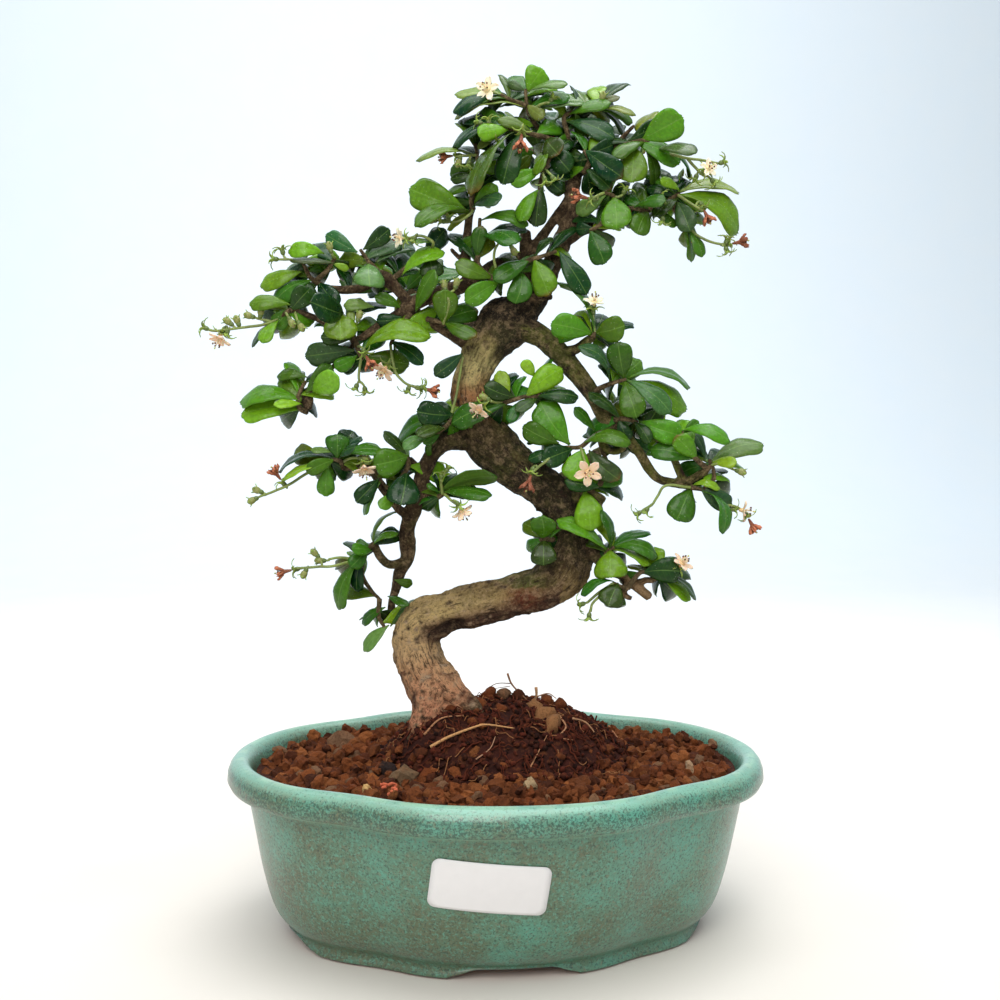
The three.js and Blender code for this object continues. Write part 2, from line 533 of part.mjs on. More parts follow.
// What one leaf shows: base x and z, tip x and z, width, tone, then its arch and its reach towards the eye
// where these aren't the usual ones
const sprays = [
  {
    name: 'spray_left_upper_tip',
    depth: -10,
    twigs: [
      [[-65, 230], [-69, 233], [-71, 237], [-73, 239.5]], [[-67, 231.5], [-62.5, 236], [-60, 240]],
    ],
    leaves: [
      [-68, 232, -83.5, 221, 6, 'mid', 0.2], [-72, 235, -87.5, 230, 6, 'bright'],
      [-71, 238, -78.5, 231, 3, 'grey'], [-60, 238, -77, 239.5, 2, 'grey', 0.05],
      [-64, 241.5, -77, 242, 5, 'bright', 0.25, 3], [-66, 231, -60, 222, 7, 'dark', 0.1, 4],
      [-70, 232, -70, 223, 7, 'dark', 0.1, 5], [-61, 238, -55, 236, 2.5, 'fresh'],
      [-66, 231, -74, 226, 6, 'dark', 0.1, -2],
    ],
    stalks: [
      [4, [-73, 238.5], [-77, 239.3]],
    ],
    cups: [
      [-82, 239.4, 4, -1, 0.1], [-79, 242.5, 4, -0.2, 1],
    ],
    buds: [
      [-61.8, 243.2, 2, -0.3, 1],
    ],
    blooms: [],
    extra: 2,
  },
  {
    name: 'spray_left_far_tip',
    depth: -12,
    twigs: [
      [[-74.5, 221], [-76.5, 221, 2.5], [-78, 220, 2], [-80, 218, 1]],
    ],
    leaves: [
      [-75, 222, -82, 214.5, 6, 'mid'], [-76, 223, -91, 223.5, 5, 'mid', 0.14],
      [-80, 218, -90.5, 208.3, 1.4, 'dark'], [-80, 217.5, -86.5, 210, 3, 'bright'],
    ],
    stalks: [
      [3, [-79, 218], [-85, 216], [-95, 214.5], [-103, 213.5], [-106.5, 214.2]],
      [3, [-83, 217], [-87.5, 218]],
    ],
    cups: [
      [-107, 214.6, 3, -1, 0.5], [-99, 212.6, 3, -0.4, -1],
    ],
    buds: [
      [-98, 216.4, 3, -0.9, 0.7], [-95, 216.6, 3, -0.4, 1], [-90.3, 218.8, 3, -1, 0.3],
      [-86.8, 219.6, 3, 0.1, 1], [-76, 217.3, 5, 0.6, -1], [-72.6, 215.8, 5, 0.6, -1],
    ],
    blooms: [
      [-101.8, 210.3, 3, 4.4, -0.5, -1, 0.4, 'white'],
    ],
    extra: 1,
  },
  {
    name: 'spray_left_pad',
    depth: -9,
    twigs: [
      [[-44, 234.5], [-48, 239], [-51, 243]], [[-40, 232], [-35, 236], [-30, 239.5], [-25, 244]],
    ],
    leaves: [
      [-52, 242, -63.5, 248.3, 6, 'pale'], [-50, 243, -40.5, 250.5, 6, 'dark'],
      [-50, 239, -36, 246, 5, 'grey'], [-45, 238.5, -31.5, 245, 5, 'grey'],
      [-48, 238, -47.5, 230.3, 10, 'pale', 0.09, 11], [-42, 232, -54, 237.5, 4, 'mid', 0.2],
      [-36, 234, -21, 243, 5, 'bright', 0.15], [-28, 240, -20, 251, 7, 'grey'],
      [-26, 241, -25, 233, 8, 'dark', 0.09, 7], [-25, 245.5, -31, 245.7, 1.6, 'pale'],
      [-36, 234, -30, 235.5, 1.4, 'dark'],
    ],
    stalks: [
      [3, [-25, 246], [-29, 248], [-34, 247.2]],
    ],
    cups: [
      [-31.8, 246.6, 4, -0.4, -1],
    ],
    buds: [],
    blooms: [
      [-37.2, 247.3, 4, 3.8, -1, 0.1, 0.5, 'white'],
    ],
    extra: 3,
  },
  {
    name: 'spray_left_shelf',
    depth: -11,
    twigs: [
      [[-52, 208.5], [-54, 214], [-57, 219.5]], [[-52, 208.5], [-51, 205.5], [-50, 203.5]],
    ],
    leaves: [
      [-58, 220, -58, 211.5, 11, 'bright', 0.09, 10], [-57, 220, -68, 224, 9, 'dark'],
      [-46, 222.5, -57, 223, 4, 'pale'], [-54, 222, -54.5, 216.5, 3, 'pale'],
      [-51, 205.5, -25.5, 212.5, 6, 'bright', 0.2], [-53, 207, -71, 204.5, 8, 'grey'],
      [-52, 205, -60, 200.5, 5, 'bright'], [-50, 204.5, -33, 202, 8, 'mid'],
      [-54, 211, -65, 211.5, 5, 'dark', 0.1, -4], [-54, 215, -61, 208.5, 5, 'dark', 0.1, -5],
    ],
    stalks: [
      [2, [-51, 204], [-51.3, 198], [-51, 195.5]],
    ],
    cups: [
      [-52.4, 193.4, 2, -0.4, -1], [-49, 192.3, 2, 0.2, -1],
    ],
    buds: [
      [-51.5, 218.6, 5, 0.3, 1],
    ],
    blooms: [
      [-47.6, 202.6, 7, 3.2, 0.5, -1, 0.5, 'wilted'],
    ],
    extra: 2,
  },
  {
    name: 'spray_left_outlier',
    depth: -10,
    twigs: [
      [[-70, 184.5], [-72.6, 186, 2.5], [-73.2, 189.5, 3], [-72, 193, 3], [-70.5, 195.5, 2]],
    ],
    leaves: [
      [-70, 197, -81, 197.5, 4, 'mid', 0.15], [-72, 189, -79, 198, 7, 'mid', 0.09, -3],
      [-70.5, 191.5, -61, 201.5, 6, 'mid'], [-68, 192, -59, 197, 8, 'fresh'],
      [-72, 188.5, -94.5, 188.5, 6, 'bright', 0.2, -3], [-72, 187.5, -82, 187, 3, 'fresh', 0.1, 6],
      [-71.5, 185.5, -94, 183, 7.5, 'bright'],
    ],
    stalks: [],
    cups: [],
    buds: [],
    blooms: [],
    extra: 2,
  },
  {
    name: 'spray_left_inner',
    depth: -8,
    twigs: [
      [[-27, 218.4], [-23, 217.5], [-20.5, 216]], [[-33, 220, 1], [-38, 213, 4], [-40, 209, 5]],
    ],
    leaves: [
      [-21, 216.5, -20.5, 229, 8.5, 'mid'], [-20.5, 217, -9, 212, 5, 'mid', 0.1, 7],
      [-40, 210, -28, 202.5, 5, 'dark', 0.1, 2], [-31, 221, -24, 236, 5.5, 'mid'],
      [-36, 222, -45.5, 226.5, 4, 'mid', 0.1, 5], [-36, 219, -45, 217.5, 5, 'dark', 0.1, 6],
    ],
    stalks: [
      [7, [-39.5, 208], [-38.5, 200], [-36, 196.5], [-33, 194.5], [-29, 193.6]],
      [5, [-20.5, 217], [-19, 224], [-20, 227.5]],
    ],
    cups: [
      [-33.6, 192.6, 7, -0.3, -1], [-28, 193.6, 7, 1, -0.1],
    ],
    buds: [
      [-20.6, 229.8, 5, -0.2, 1], [-16.5, 230.6, 5, 0.3, 1],
    ],
    blooms: [
      [-42.6, 199.4, 8, 4.6, -0.6, -0.8, 0.5, 'white'], [-25, 192.6, 7, 3.4, 1, -0.2, 0.2, 'wilted'],
    ],
    extra: 1,
  },
  {
    name: 'spray_waist_left',
    depth: -8,
    twigs: [
      [[-15.5, 181, 0], [-18, 181.5, 2], [-20, 179.5, 3], [-24, 176.5, 3], [-26, 176, 3]],
    ],
    leaves: [
      [-17, 184, -30.5, 185, 8.5, 'dark'], [-19, 181.5, -38, 175.5, 6, 'mid', 0.14],
      [-20, 179, -30, 176.5, 4, 'dark', 0.1, 5], [-22, 177, -28, 173.5, 3, 'mid'],
      [-26, 176, -35, 171.7, 4, 'pale', 0.1, 5], [-25, 175, -26.5, 169, 2.4, 'mid'],
      [-14, 206, -24, 198, 5.5, 'grey', 0.1, 2],
    ],
    stalks: [
      [1, [-18, 183], [-16, 192], [-13.8, 205]],
    ],
    cups: [],
    buds: [],
    blooms: [],
    extra: 1,
  },
  {
    name: 'spray_hanging_outer',
    depth: -9,
    twigs: [
      [[-57, 165.5], [-58, 167, 3.6], [-60.5, 167.5, 3.6], [-62, 166.5, 3]],
    ],
    leaves: [
      [-59, 168, -59, 176.5, 8, 'mid', 0.09, 2], [-58, 168, -50.5, 176, 3, 'grey'],
      [-58, 168.5, -52.5, 172, 2.5, 'grey', 0.1, 3], [-60, 170, -68.5, 171, 2, 'pale'],
      [-61, 168, -80.5, 163.5, 2.5, 'grey', 0.16], [-60, 167.5, -70, 163, 5, 'mid', 0.1, 5],
      [-63, 166, -79, 160.5, 2.5, 'fresh', 0.1, 4], [-62.5, 165, -63, 154, 6, 'fresh'],
      [-57, 169.5, -43, 171.5, 4, 'mid'],
    ],
    stalks: [
      [4, [-64, 165], [-70.5, 162], [-76, 158.5], [-80, 156.5], [-85, 154.5]],
      [4, [-58, 166], [-54, 168], [-51, 168]],
    ],
    cups: [],
    buds: [
      [-87.2, 155.8, 4, -1, 0.4], [-89, 152.8, 4, -1, -0.5], [-50, 168, 4, 1, -0.1],
    ],
    blooms: [
      [-49, 163.6, 6, 4.4, 0.2, -1, 0.4, 'white'], [-81.2, 162.4, 4, 3.2, -0.6, 0.8, 0.2, 'wilted'],
    ],
    extra: 1,
  },
  {
    name: 'spray_hanging_inner',
    depth: -9,
    twigs: [
      [[-33.5, 168.5], [-33.5, 165], [-36, 161], [-39, 157.5], [-40.5, 157], [-43.5, 160.5, 1]],
    ],
    leaves: [
      [-33, 169, -46, 165.5, 10, 'mid', 0.1, 5], [-34, 169, -42, 178, 4, 'dark'],
      [-44, 160.5, -52, 152, 6, 'dark', 0.1, 3], [-43, 160, -49.5, 147.5, 3, 'mid'],
      [-34, 163, -36, 151, 11, 'dark', 0.1, 8], [-38, 155, -43.5, 150, 4.5, 'fresh', 0.1, 6],
    ],
    stalks: [],
    cups: [],
    buds: [],
    blooms: [],
    extra: 1,
  },
  {
    name: 'spray_trunk_sprout',
    depth: -9,
    twigs: [
      [[-22.5, 154.2], [-20, 155.5]],
    ],
    leaves: [
      [-22, 156, -1, 162, 6, 'under', 0.1, 4], [-20.5, 156, -3, 155, 4.5, 'mid', 0.08, 7],
      [-22, 156, -26.5, 159, 2, 'mid'], [-22.5, 156, -24, 163, 1.4, 'dark'],
    ],
    stalks: [
      [5, [-20, 154.6], [-17, 152.5], [-15.2, 151.2]], [3, [-21.5, 156], [-21.4, 160.5]],
    ],
    cups: [
      [-21.4, 162.4, 3, -0.1, 1], [-19, 164.6, 3, 0.6, 1],
    ],
    buds: [],
    blooms: [
      [-13.4, 148.6, 6, 4.2, 0.5, -0.8, -0.5, 'white'],
    ],
    extra: 1,
  },
  {
    name: 'spray_low_left',
    depth: -4,
    twigs: [
      [[-45.5, 137], [-47, 136], [-49, 133], [-52, 131]],
      [[-49, 133, 0], [-50, 126, -3], [-46.5, 120, -6], [-43.5, 117, -7]],
      [[-43.5, 117, -7], [-43.8, 111, -8], [-41.5, 106.5, -9]],
    ],
    leaves: [
      [-46, 138, -37.5, 149.5, 2, 'mid', 0.2], [-46, 136, -37, 141, 2, 'mid', 0.2, 3],
      [-46.5, 135.5, -52, 138, 3, 'mid'], [-48, 135.5, -54, 128.5, 5.5, 'mid', 0.1, 5],
      [-46.5, 134.5, -53, 135.5, 4, 'bright', 0.1, 6], [-52, 130.5, -59, 113, 5.5, 'mid'],
      [-50, 131.5, -51.5, 119.5, 5, 'dark'], [-38, 124, -31.5, 122.5, 3.4, 'mid', 0.1, -3],
      [-40.5, 118, -33, 114.5, 3, 'mid', 0.1, 6], [-40, 107.5, -49.5, 98, 5, 'pale'],
      [-39.5, 107, -29, 117.5, 4, 'grey', 0.1, -7], [-41.3, 114, -50, 108, 4, 'mid', 0.1, -4],
    ],
    stalks: [
      [3, [-52, 131.5], [-58, 132], [-62, 131.3]], [5, [-52, 130.5], [-60, 129], [-66, 128.5], [-74, 128]],
    ],
    cups: [],
    buds: [
      [-64.5, 130.8, 3, -1, 0], [-66.5, 133, 3, -0.8, 0.8], [-70.5, 126.6, 5, -0.5, -1],
    ],
    blooms: [
      [-78.6, 126.6, 5, 3.4, -1, -0.2, 0.2, 'wilted'],
    ],
    extra: 2,
  },
  {
    name: 'spray_trunk_front',
    depth: -9,
    twigs: [
      [[-4.5, 186.5, -2], [2, 188.5, 2], [8, 190.5, 3], [13, 191, 3], [15, 194, 3]],
    ],
    leaves: [
      [2, 188, -18, 181.5, 7, 'mid', 0.12, 3], [5, 190.5, -6, 194.5, 6, 'dark', 0.1, 3],
      [7, 189, 3, 181.5, 4, 'mid', 0.1, 5], [9, 190.5, 22, 201, 8, 'bright'],
      [12, 198, 8, 203.5, 4, 'fresh', 0.1, 4], [15, 195, 17, 204.5, 3, 'mid'],
      [13, 191, 28, 191.5, 5, 'dark', 0.1, 4], [13, 190, 5.5, 185.5, 4, 'dark', 0.1, 6],
      [3, 190, -1, 200, 5, 'fresh', 0.1, 3],
    ],
    stalks: [
      [5, [1, 188.5], [-3.5, 188.8]],
    ],
    cups: [],
    buds: [
      [-5.4, 190, 6, -1, 0.5],
    ],
    blooms: [
      [-8.2, 185.4, 8, 4.2, -0.6, -0.7, 0.6, 'white'],
    ],
    extra: 1,
  },
  {
    name: 'spray_right_of_trunk',
    depth: -10,
    twigs: [
      [[37, 178.5, -1], [33, 176, 1], [29, 172.8, 2], [24, 172.5, 2], [20, 172.5, 2]],
      [[34, 156.5, 1], [31.5, 157.5, 1], [36, 158.8, 2]],
      [[36, 158.8, 2], [38.5, 166, 1.5], [36.5, 172, 1.5], [35, 177, 0.3]],
    ],
    leaves: [
      [25, 173.5, 14, 189, 10.5, 'bright'], [21, 174, 8, 180, 7, 'mid', 0.1, 2],
      [26, 172, 15, 167.5, 7.5, 'dark', 0.1, 5], [30, 174, 47, 175, 5, 'mid', 0.2, 6],
      [30, 172, 26, 161, 9.5, 'bright', 0.1, 5], [32, 171.5, 43, 161, 7, 'grey', 0.1, 4],
      [34, 178.5, 26.5, 187, 3.5, 'mid'], [20, 173.5, 9.5, 174, 2.4, 'dark', 0.15, 4],
      [20, 172, 10, 168, 4, 'dark', 0.1, 6], [30.5, 157, 33, 142.5, 10, 'bright', 0.1, 5],
      [36, 158.5, 23.5, 160.5, 5.5, 'dark', 0.12, 3],
    ],
    stalks: [
      [7, [21, 171.5], [17, 168], [14, 165.5], [11.5, 163.2]],
    ],
    cups: [],
    buds: [],
    blooms: [
      [10.2, 159.4, 8, 3.6, -0.3, -1, 0.3, 'wilted'], [31.8, 163.4, 15, 4.9, 0.1, -0.3, 1, 'white'],
    ],
    extra: 3,
  },
  {
    name: 'spray_elbow',
    depth: -11,
    twigs: [
      [[19.5, 139, -3], [16.5, 139.3, 1], [14.5, 138.8, 2]],
    ],
    leaves: [
      [15.5, 139.5, 15, 147.5, 8.5, 'mid', 0.1, 6], [16, 139, 16, 129.8, 8.5, 'dark', 0.1, 5],
    ],
    stalks: [],
    cups: [],
    buds: [],
    blooms: [],
    extra: 1,
  },
  {
    name: 'spray_right_pad',
    depth: -12,
    twigs: [
      [[34, 193, -3], [39, 195.5, 0], [45, 197.3, 1]], [[41, 182.5, 0], [45, 183, 1], [49.5, 181.8, 1]],
    ],
    leaves: [
      [44.5, 197.5, 42, 210.5, 8.5, 'mid'], [44, 197.5, 35, 207, 3.5, 'grey'],
      [39, 196, 28, 209, 4, 'grey', 0.2], [44.5, 196.5, 49, 183.5, 8.5, 'mid', 0.1, 6],
      [45.5, 197, 62, 186, 6, 'pale', 0.1, 4], [46, 196.5, 68, 187, 9, 'bright', 0.1, -2],
      [46, 197.8, 68.5, 195.5, 2.5, 'mid', 0.16, -4], [50, 182, 65.5, 177, 8, 'bright', 0.1, 4],
      [45, 183.5, 51, 188, 3.5, 'dark', 0.1, -4], [48, 182, 54, 174.5, 4.5, 'dark', 0.1, 5],
      [42.5, 183, 46, 175, 5, 'dark', 0.1, 4],
    ],
    stalks: [],
    cups: [],
    buds: [],
    blooms: [],
    extra: 3,
  },
  {
    name: 'spray_right_end',
    depth: -13,
    twigs: [
      [[69, 158.4], [71, 158, 3], [73.5, 157.5, 3]], [[74.5, 164.5, 1], [76, 166.5, 1], [75.5, 168.5, 1]],
      [[74.5, 165.5, 1], [70, 169.5, 3], [66.5, 175, 2], [65.5, 178.5, 2]],
      [[73.5, 157.5, 3], [77, 161.5, 2.5], [77, 165.5, 2], [76, 166.5, 1]],
    ],
    leaves: [
      [69.5, 159, 79.5, 158.5, 2.5, 'fresh', 0.25, 4], [72.5, 160, 82.5, 161.5, 3.5, 'bright', 0.15],
      [72, 159, 84, 151.5, 6.5, 'grey'], [73, 157, 81.2, 142, 3, 'mid', 0.25],
      [69, 158, 64, 146.2, 9.5, 'mid', 0.1, 5], [66, 178, 71.5, 182.5, 3.5, 'mid'],
      [65.8, 179, 83, 175.8, 5, 'bright', 0.2], [76, 167.5, 95, 175, 7, 'pale'],
      [76.5, 167.5, 85.5, 167.5, 3.6, 'fresh', 0.1, 4], [71, 169, 63, 177, 6.5, 'bright', 0.1, 5],
      [74, 168.5, 67, 180, 3.4, 'dark', 0.1, -5], [71, 168.5, 54, 172.5, 6.5, 'mid', 0.1, 7],
    ],
    stalks: [
      [3, [73, 157], [78, 154], [83.5, 152]], [5, [69.5, 158.3], [60, 159], [57, 155], [55, 152]],
      [4, [76.3, 166.6], [79, 167], [84, 165.2]],
    ],
    cups: [
      [52.8, 149.6, 5, -0.6, -1], [49.8, 148.6, 5, -1, -0.7],
    ],
    buds: [
      [86.4, 164.4, 4, 1, -0.3],
    ],
    blooms: [
      [88.6, 150.2, 3, 4, 1, -0.1, 0.2, 'white'], [91.6, 144.6, 3, 3.2, 0.6, -1, 0.2, 'wilted'],
    ],
    extra: 3,
  },
  {
    name: 'spray_low_right',
    depth: -13,
    twigs: [
      [[38, 132.5], [39.5, 135.5], [41.5, 136.5]],
    ],
    leaves: [
      [39, 135, 21.5, 147.5, 4.5, 'bright', 0.1, 4], [39.5, 135.5, 37, 150, 3, 'mid', 0.2],
      [40, 135.5, 40.5, 126, 11, 'bright', 0.1, 9], [41.5, 136.5, 57.5, 133.5, 5, 'mid', 0.25],
      [41, 135.5, 54.5, 130.8, 3, 'bright', 0.1, 5],
    ],
    stalks: [],
    cups: [],
    buds: [],
    blooms: [],
    extra: 1,
  },
  {
    name: 'spray_low_right_tip',
    depth: -15,
    twigs: [
      [[55.5, 124.8, 0], [58, 125.8, 1], [60, 125, 1]],
      [[46.5, 121.5, 2], [43.5, 122.5, 3], [41.5, 123.5, 3]],
      [[46.5, 121.5, 2], [51, 127.4, 2], [55.5, 126.4, 1], [58, 125.8, 1]],
    ],
    leaves: [
      [52, 127.5, 65.5, 128, 8.5, 'dark', 0.1, 4], [60, 124.5, 69.5, 117.5, 4, 'bright'],
      [60, 126.5, 72, 118.5, 2.4, 'grey', 0.15, -2], [41.5, 124, 29.5, 119.5, 2.5, 'mid', 0.22],
      [43, 123.5, 39.5, 115, 8.5, 'dark', 0.1, 5],
    ],
    stalks: [
      [4, [40, 122.5], [35.5, 119.5], [32.3, 116.6]], [5, [42, 122], [34.5, 117], [33.2, 113]],
    ],
    cups: [
      [29.6, 115.6, 4, -1, -0.3], [32.6, 111, 5, -0.1, -1],
    ],
    buds: [],
    blooms: [
      [66.4, 131.2, 5, 4.2, 0.6, 0.7, 0.5, 'white'],
    ],
    extra: 1,
  },
  {
    name: 'spray_fork_front',
    depth: -4,
    twigs: [
      [[5, 233.5, 1], [5.5, 236, 4], [9.5, 239.5, 5], [14, 241, 5], [19.5, 243, 4]],
      [[5.5, 236, 4], [1, 233, 6], [-2.5, 232, 6]],
      [[-11.5, 238, 1], [-9, 239.5, 4], [-8.5, 247, 4], [-8, 254.5, 4]],
      [[-2.5, 232, 6], [-7, 236, 5], [-9, 239.5, 4]],
    ],
    leaves: [
      [10, 239.5, -3, 232.5, 6, 'mid', 0.1, 5], [11.5, 240, 17, 227, 8.5, 'bright', 0.1, 3],
      [6.5, 236, 5, 224.5, 8, 'mid', 0.1, 5], [-1, 232, -13, 224.5, 7, 'bright', 0.1, 4],
      [-3, 233, -17, 238.5, 6, 'mid', 0.1, 2], [20.5, 243, 31, 228, 7, 'dark', 0.1, 4],
      [12, 241, 17.5, 248.5, 3, 'dark', 0.1, -3], [-9, 240, -7.5, 252, 5, 'mid', 0.1, 4],
      [-8.5, 240, -3.5, 247.5, 5, 'mid', 0.1, 3], [-8.5, 245.8, 9, 251, 3, 'grey', 0.1, -3],
      [-8, 253.5, 9.5, 252.5, 3.5, 'mid', 0.2, 2], [-8, 248, 5, 246, 4.5, 'mid', 0.1, 6],
    ],
    stalks: [
      [6, [-1, 233.5], [-3, 241], [-1, 245.8], [2, 245.6]],
    ],
    cups: [],
    buds: [
      [3.8, 243.6, 6, 0.6, -1],
    ],
    blooms: [],
    extra: 3,
  },
  {
    name: 'spray_fork_right',
    depth: -12,
    twigs: [
      [[33, 212.3], [33.8, 214]],
    ],
    leaves: [
      [33.5, 214, 20.5, 232.5, 3, 'mid', 0.2], [32.5, 213.5, 18, 217, 8.5, 'bright', 0.09, 6],
      [34, 214, 44, 216.5, 8.5, 'mid', 0.09, 7], [34.5, 213, 41, 209.8, 2, 'dark'],
    ],
    stalks: [],
    cups: [],
    buds: [],
    blooms: [
      [33.4, 225.4, 2, 4, 0.1, 1, 0.5, 'white'],
    ],
    extra: 1,
  },
  {
    name: 'spray_crown_left',
    depth: -4,
    twigs: [
      [[-10.5, 257.5], [-11, 262, 1], [-9.5, 270, 1], [-9.2, 277, 1], [-10, 281, 1]],
    ],
    leaves: [
      [-12, 256.5, -34, 265, 11, 'bright', 0.12], [-11.5, 257, -31.5, 252.5, 3.5, 'mid', 0.16, 4],
      [-11, 256, -20, 250.5, 3, 'under'], [-10, 277, -31.3, 276, 1.6, 'pale', 0.15],
      [-10, 278.5, -4.5, 283, 3, 'pale'], [-9.5, 264, -0.8, 270.5, 2.5, 'dark'],
      [-10.5, 259.5, -2, 266, 5, 'bright', 0.1, 4], [-11, 258, -1.5, 262.5, 2, 'grey', 0.1, 6],
      [-10.2, 274, -19, 269.5, 5, 'mid', 0.1, -5],
    ],
    stalks: [
      [3, [-11.5, 256], [-15, 253.6], [-20, 252.9]], [4, [-9.8, 277], [-14, 276.8], [-17.2, 276.6]],
    ],
    cups: [
      [-21.8, 253.4, 3, -1, 0.2], [-19.3, 254.6, 3, 0.1, 1], [-12.2, 273.6, 4, -0.2, -1],
    ],
    buds: [
      [-24.9, 253.6, 3, -1, 0], [-15.6, 275, 4, -0.3, -1],
    ],
    blooms: [
      [-20.6, 276.4, 4, 3, -1, -0.1, 0.2, 'wilted'],
    ],
    extra: 2,
  },
  {
    name: 'spray_apex',
    depth: 0,
    twigs: [
      [[15, 284], [11, 289], [8.5, 294.5], [8, 300.5]], [[8.5, 294.5], [3, 296.5, 1], [-1, 298.5, 2]],
    ],
    leaves: [
      [8.5, 300, 14, 308, 9, 'bright', 0.08, 1], [8, 300, 1.5, 303, 3, 'grey'],
      [2.5, 297.5, -17.5, 299.5, 3, 'pale', 0.06], [-1, 298.5, -18, 292, 3, 'dark', 0.15],
      [1, 297, -10, 296, 2, 'mid', 0.1, 4], [8, 294, -17.5, 290.3, 3, 'pale', 0.15],
      [8.5, 295, 14.5, 290.5, 4.5, 'pale', 0.1, 5], [8.3, 298, 19, 302.5, 4, 'bright'],
      [8.3, 299, 22.5, 303.5, 1.4, 'pale', 0.1, -4], [9, 293.5, 23.5, 299, 4, 'mid', 0.1, 3],
      [9.5, 292, 29.5, 296.5, 4.5, 'pale', 0.1, -2],
    ],
    stalks: [
      [4, [9, 292], [13, 295], [16, 296]],
    ],
    cups: [
      [17.6, 297.4, 4, 0.8, 1],
    ],
    buds: [],
    blooms: [
      [-6, 300.6, 6, 4.8, -0.4, 0.4, 0.9, 'white'],
    ],
    extra: 3,
  },
  {
    name: 'spray_crown_centre',
    depth: -5,
    twigs: [
      [[17, 283, -3], [11, 284.5, 2], [5, 286, 3], [1, 286.5, 3]],
      [[17, 283, -3], [17, 277, 3], [14, 270, 4], [13, 264, 4]],
    ],
    leaves: [
      [4, 285.5, -13.2, 264.5, 3, 'olive'], [2, 285.5, -9, 272, 1.6, 'dark', 0.1, 3],
      [2, 287.5, -18.5, 281, 2.5, 'dark', 0.16], [10, 285.5, -2, 290, 4, 'olive', 0.1, 2],
      [2, 286, -9, 284.5, 5, 'bright', 0.1, 6], [6, 285, 0, 266.5, 8, 'dark', 0.1, 5],
      [15.5, 283, 20, 277.5, 8, 'dark', 0.1, 8], [15, 281, 24, 271.5, 8, 'dark', 0.1, 4],
      [16.5, 278, 12, 270.5, 3, 'mid', 0.1, 7], [13, 265, 6, 254, 5, 'bright', 0.1, 3],
      [14, 266.5, 12, 251.5, 7, 'dark'], [14, 271, 21, 264.5, 5, 'dark', 0.1, 5],
      [14, 272, 3, 267, 5, 'bright', 0.1, 7],
    ],
    stalks: [
      [6, [1.5, 286], [-3, 287]],
    ],
    cups: [
      [-5.2, 289.3, 6, -0.2, 1], [-9, 288.6, 6, -1, 0.2], [-3, 283.6, 6, 0, -1], [15.2, 268, 9, 0.2, -1],
      [18.2, 268.6, 9, 0.5, -1],
    ],
    buds: [],
    blooms: [
      [6.4, 281.6, 9, 3.6, -0.1, -1, 0.3, 'wilted'],
    ],
    extra: 1,
  },
  {
    name: 'spray_crown_right_top',
    depth: 3,
    twigs: [
      [[24, 278.5, 0], [23, 285, 2], [22, 291, 2], [28, 293.5, 3], [34, 294, 3]],
    ],
    leaves: [
      [22.5, 290, 18, 296, 3, 'fresh'], [23, 292, 34.5, 299, 3, 'pale'],
      [23, 291.5, 38.5, 296.5, 4, 'mid', 0.1, 4], [34, 294.3, 41.5, 298.5, 2.4, 'grey'],
      [34, 294, 47.5, 291.5, 2, 'pale', 0.1, 4], [33, 293.5, 46.5, 289, 3, 'mid', 0.1, 7],
      [34, 293.8, 45, 283.5, 2, 'dark', 0.1, -3], [23, 289, 40, 284.5, 6, 'grey', 0.1, 7],
      [23, 286, 31, 290, 4, 'dark', 0.1, -5],
    ],
    stalks: [],
    cups: [],
    buds: [
      [35.4, 297.4, 4, 0.2, 1],
    ],
    blooms: [],
    extra: 3,
  },
  {
    name: 'spray_crown_right',
    depth: -4,
    twigs: [
      [[39.5, 280, -1], [45, 281.5, 2], [51, 282.5, 3], [55, 279, 2]],
      [[29, 271, 1], [31, 275.5, 4], [29, 279, 5]],
    ],
    leaves: [
      [50, 283, 64.5, 291, 10.5, 'bright'], [45, 282.5, 57.5, 288, 6.5, 'dark', 0.1, -4],
      [47, 282, 64, 275.5, 6, 'bright', 0.1, 4], [51, 282, 39.5, 277.5, 3.5, 'mid', 0.1, 7],
      [47, 281, 46, 267.5, 10, 'mid', 0.1, 6], [29.5, 279, 43, 269.5, 8, 'dark', 0.1, 4],
      [29.5, 272.5, 39, 265.5, 5, 'dark', 0.1, 4], [50.5, 281.5, 55, 266.5, 4, 'mid', 0.1, 3],
      [55, 279, 68.5, 270, 2, 'mid', 0.2], [55, 279.5, 69, 279.5, 3, 'grey'],
    ],
    stalks: [
      [5, [56, 279], [64, 277], [73, 275.5], [77, 274.8]], [5, [66, 276.5], [71, 271.2], [73.2, 270]],
    ],
    cups: [
      [79, 275.2, 5, 1, 0.3], [75.8, 268, 5, 0.7, -0.8], [69.2, 269.4, 5, -0.4, -1],
    ],
    buds: [],
    blooms: [
      [74, 273.2, 8, 3.6, 0.5, 0.4, 0.8, 'white'],
    ],
    extra: 3,
  },
  {
    name: 'spray_crown_right_end',
    depth: -6,
    twigs: [
      [[57.5, 259.5], [60, 261.5], [63.5, 264]], [[60, 261.5], [63.5, 256], [66.5, 251.5]],
    ],
    leaves: [
      [61, 263, 51.5, 266, 4, 'dark'], [62, 264, 62, 270.5, 7, 'dark', 0.1, -8],
      [63.5, 265, 57, 269, 3, 'bright', 0.1, 5], [63.5, 264.5, 85, 265.5, 4, 'pale', 0.1, 2],
      [63.5, 263.5, 85.5, 250.5, 7, 'bright', 0.18], [62.5, 261, 67.5, 250.5, 7, 'grey', 0.1, 6],
      [61, 260, 69.5, 240, 4, 'mid', 0.1, 4], [66.5, 251.5, 72.5, 242, 3, 'mid'],
      [63, 263, 74.5, 260.5, 7, 'bright', 0.1, -5], [63, 262, 54.5, 256.5, 4, 'dark', 0.1, 6],
    ],
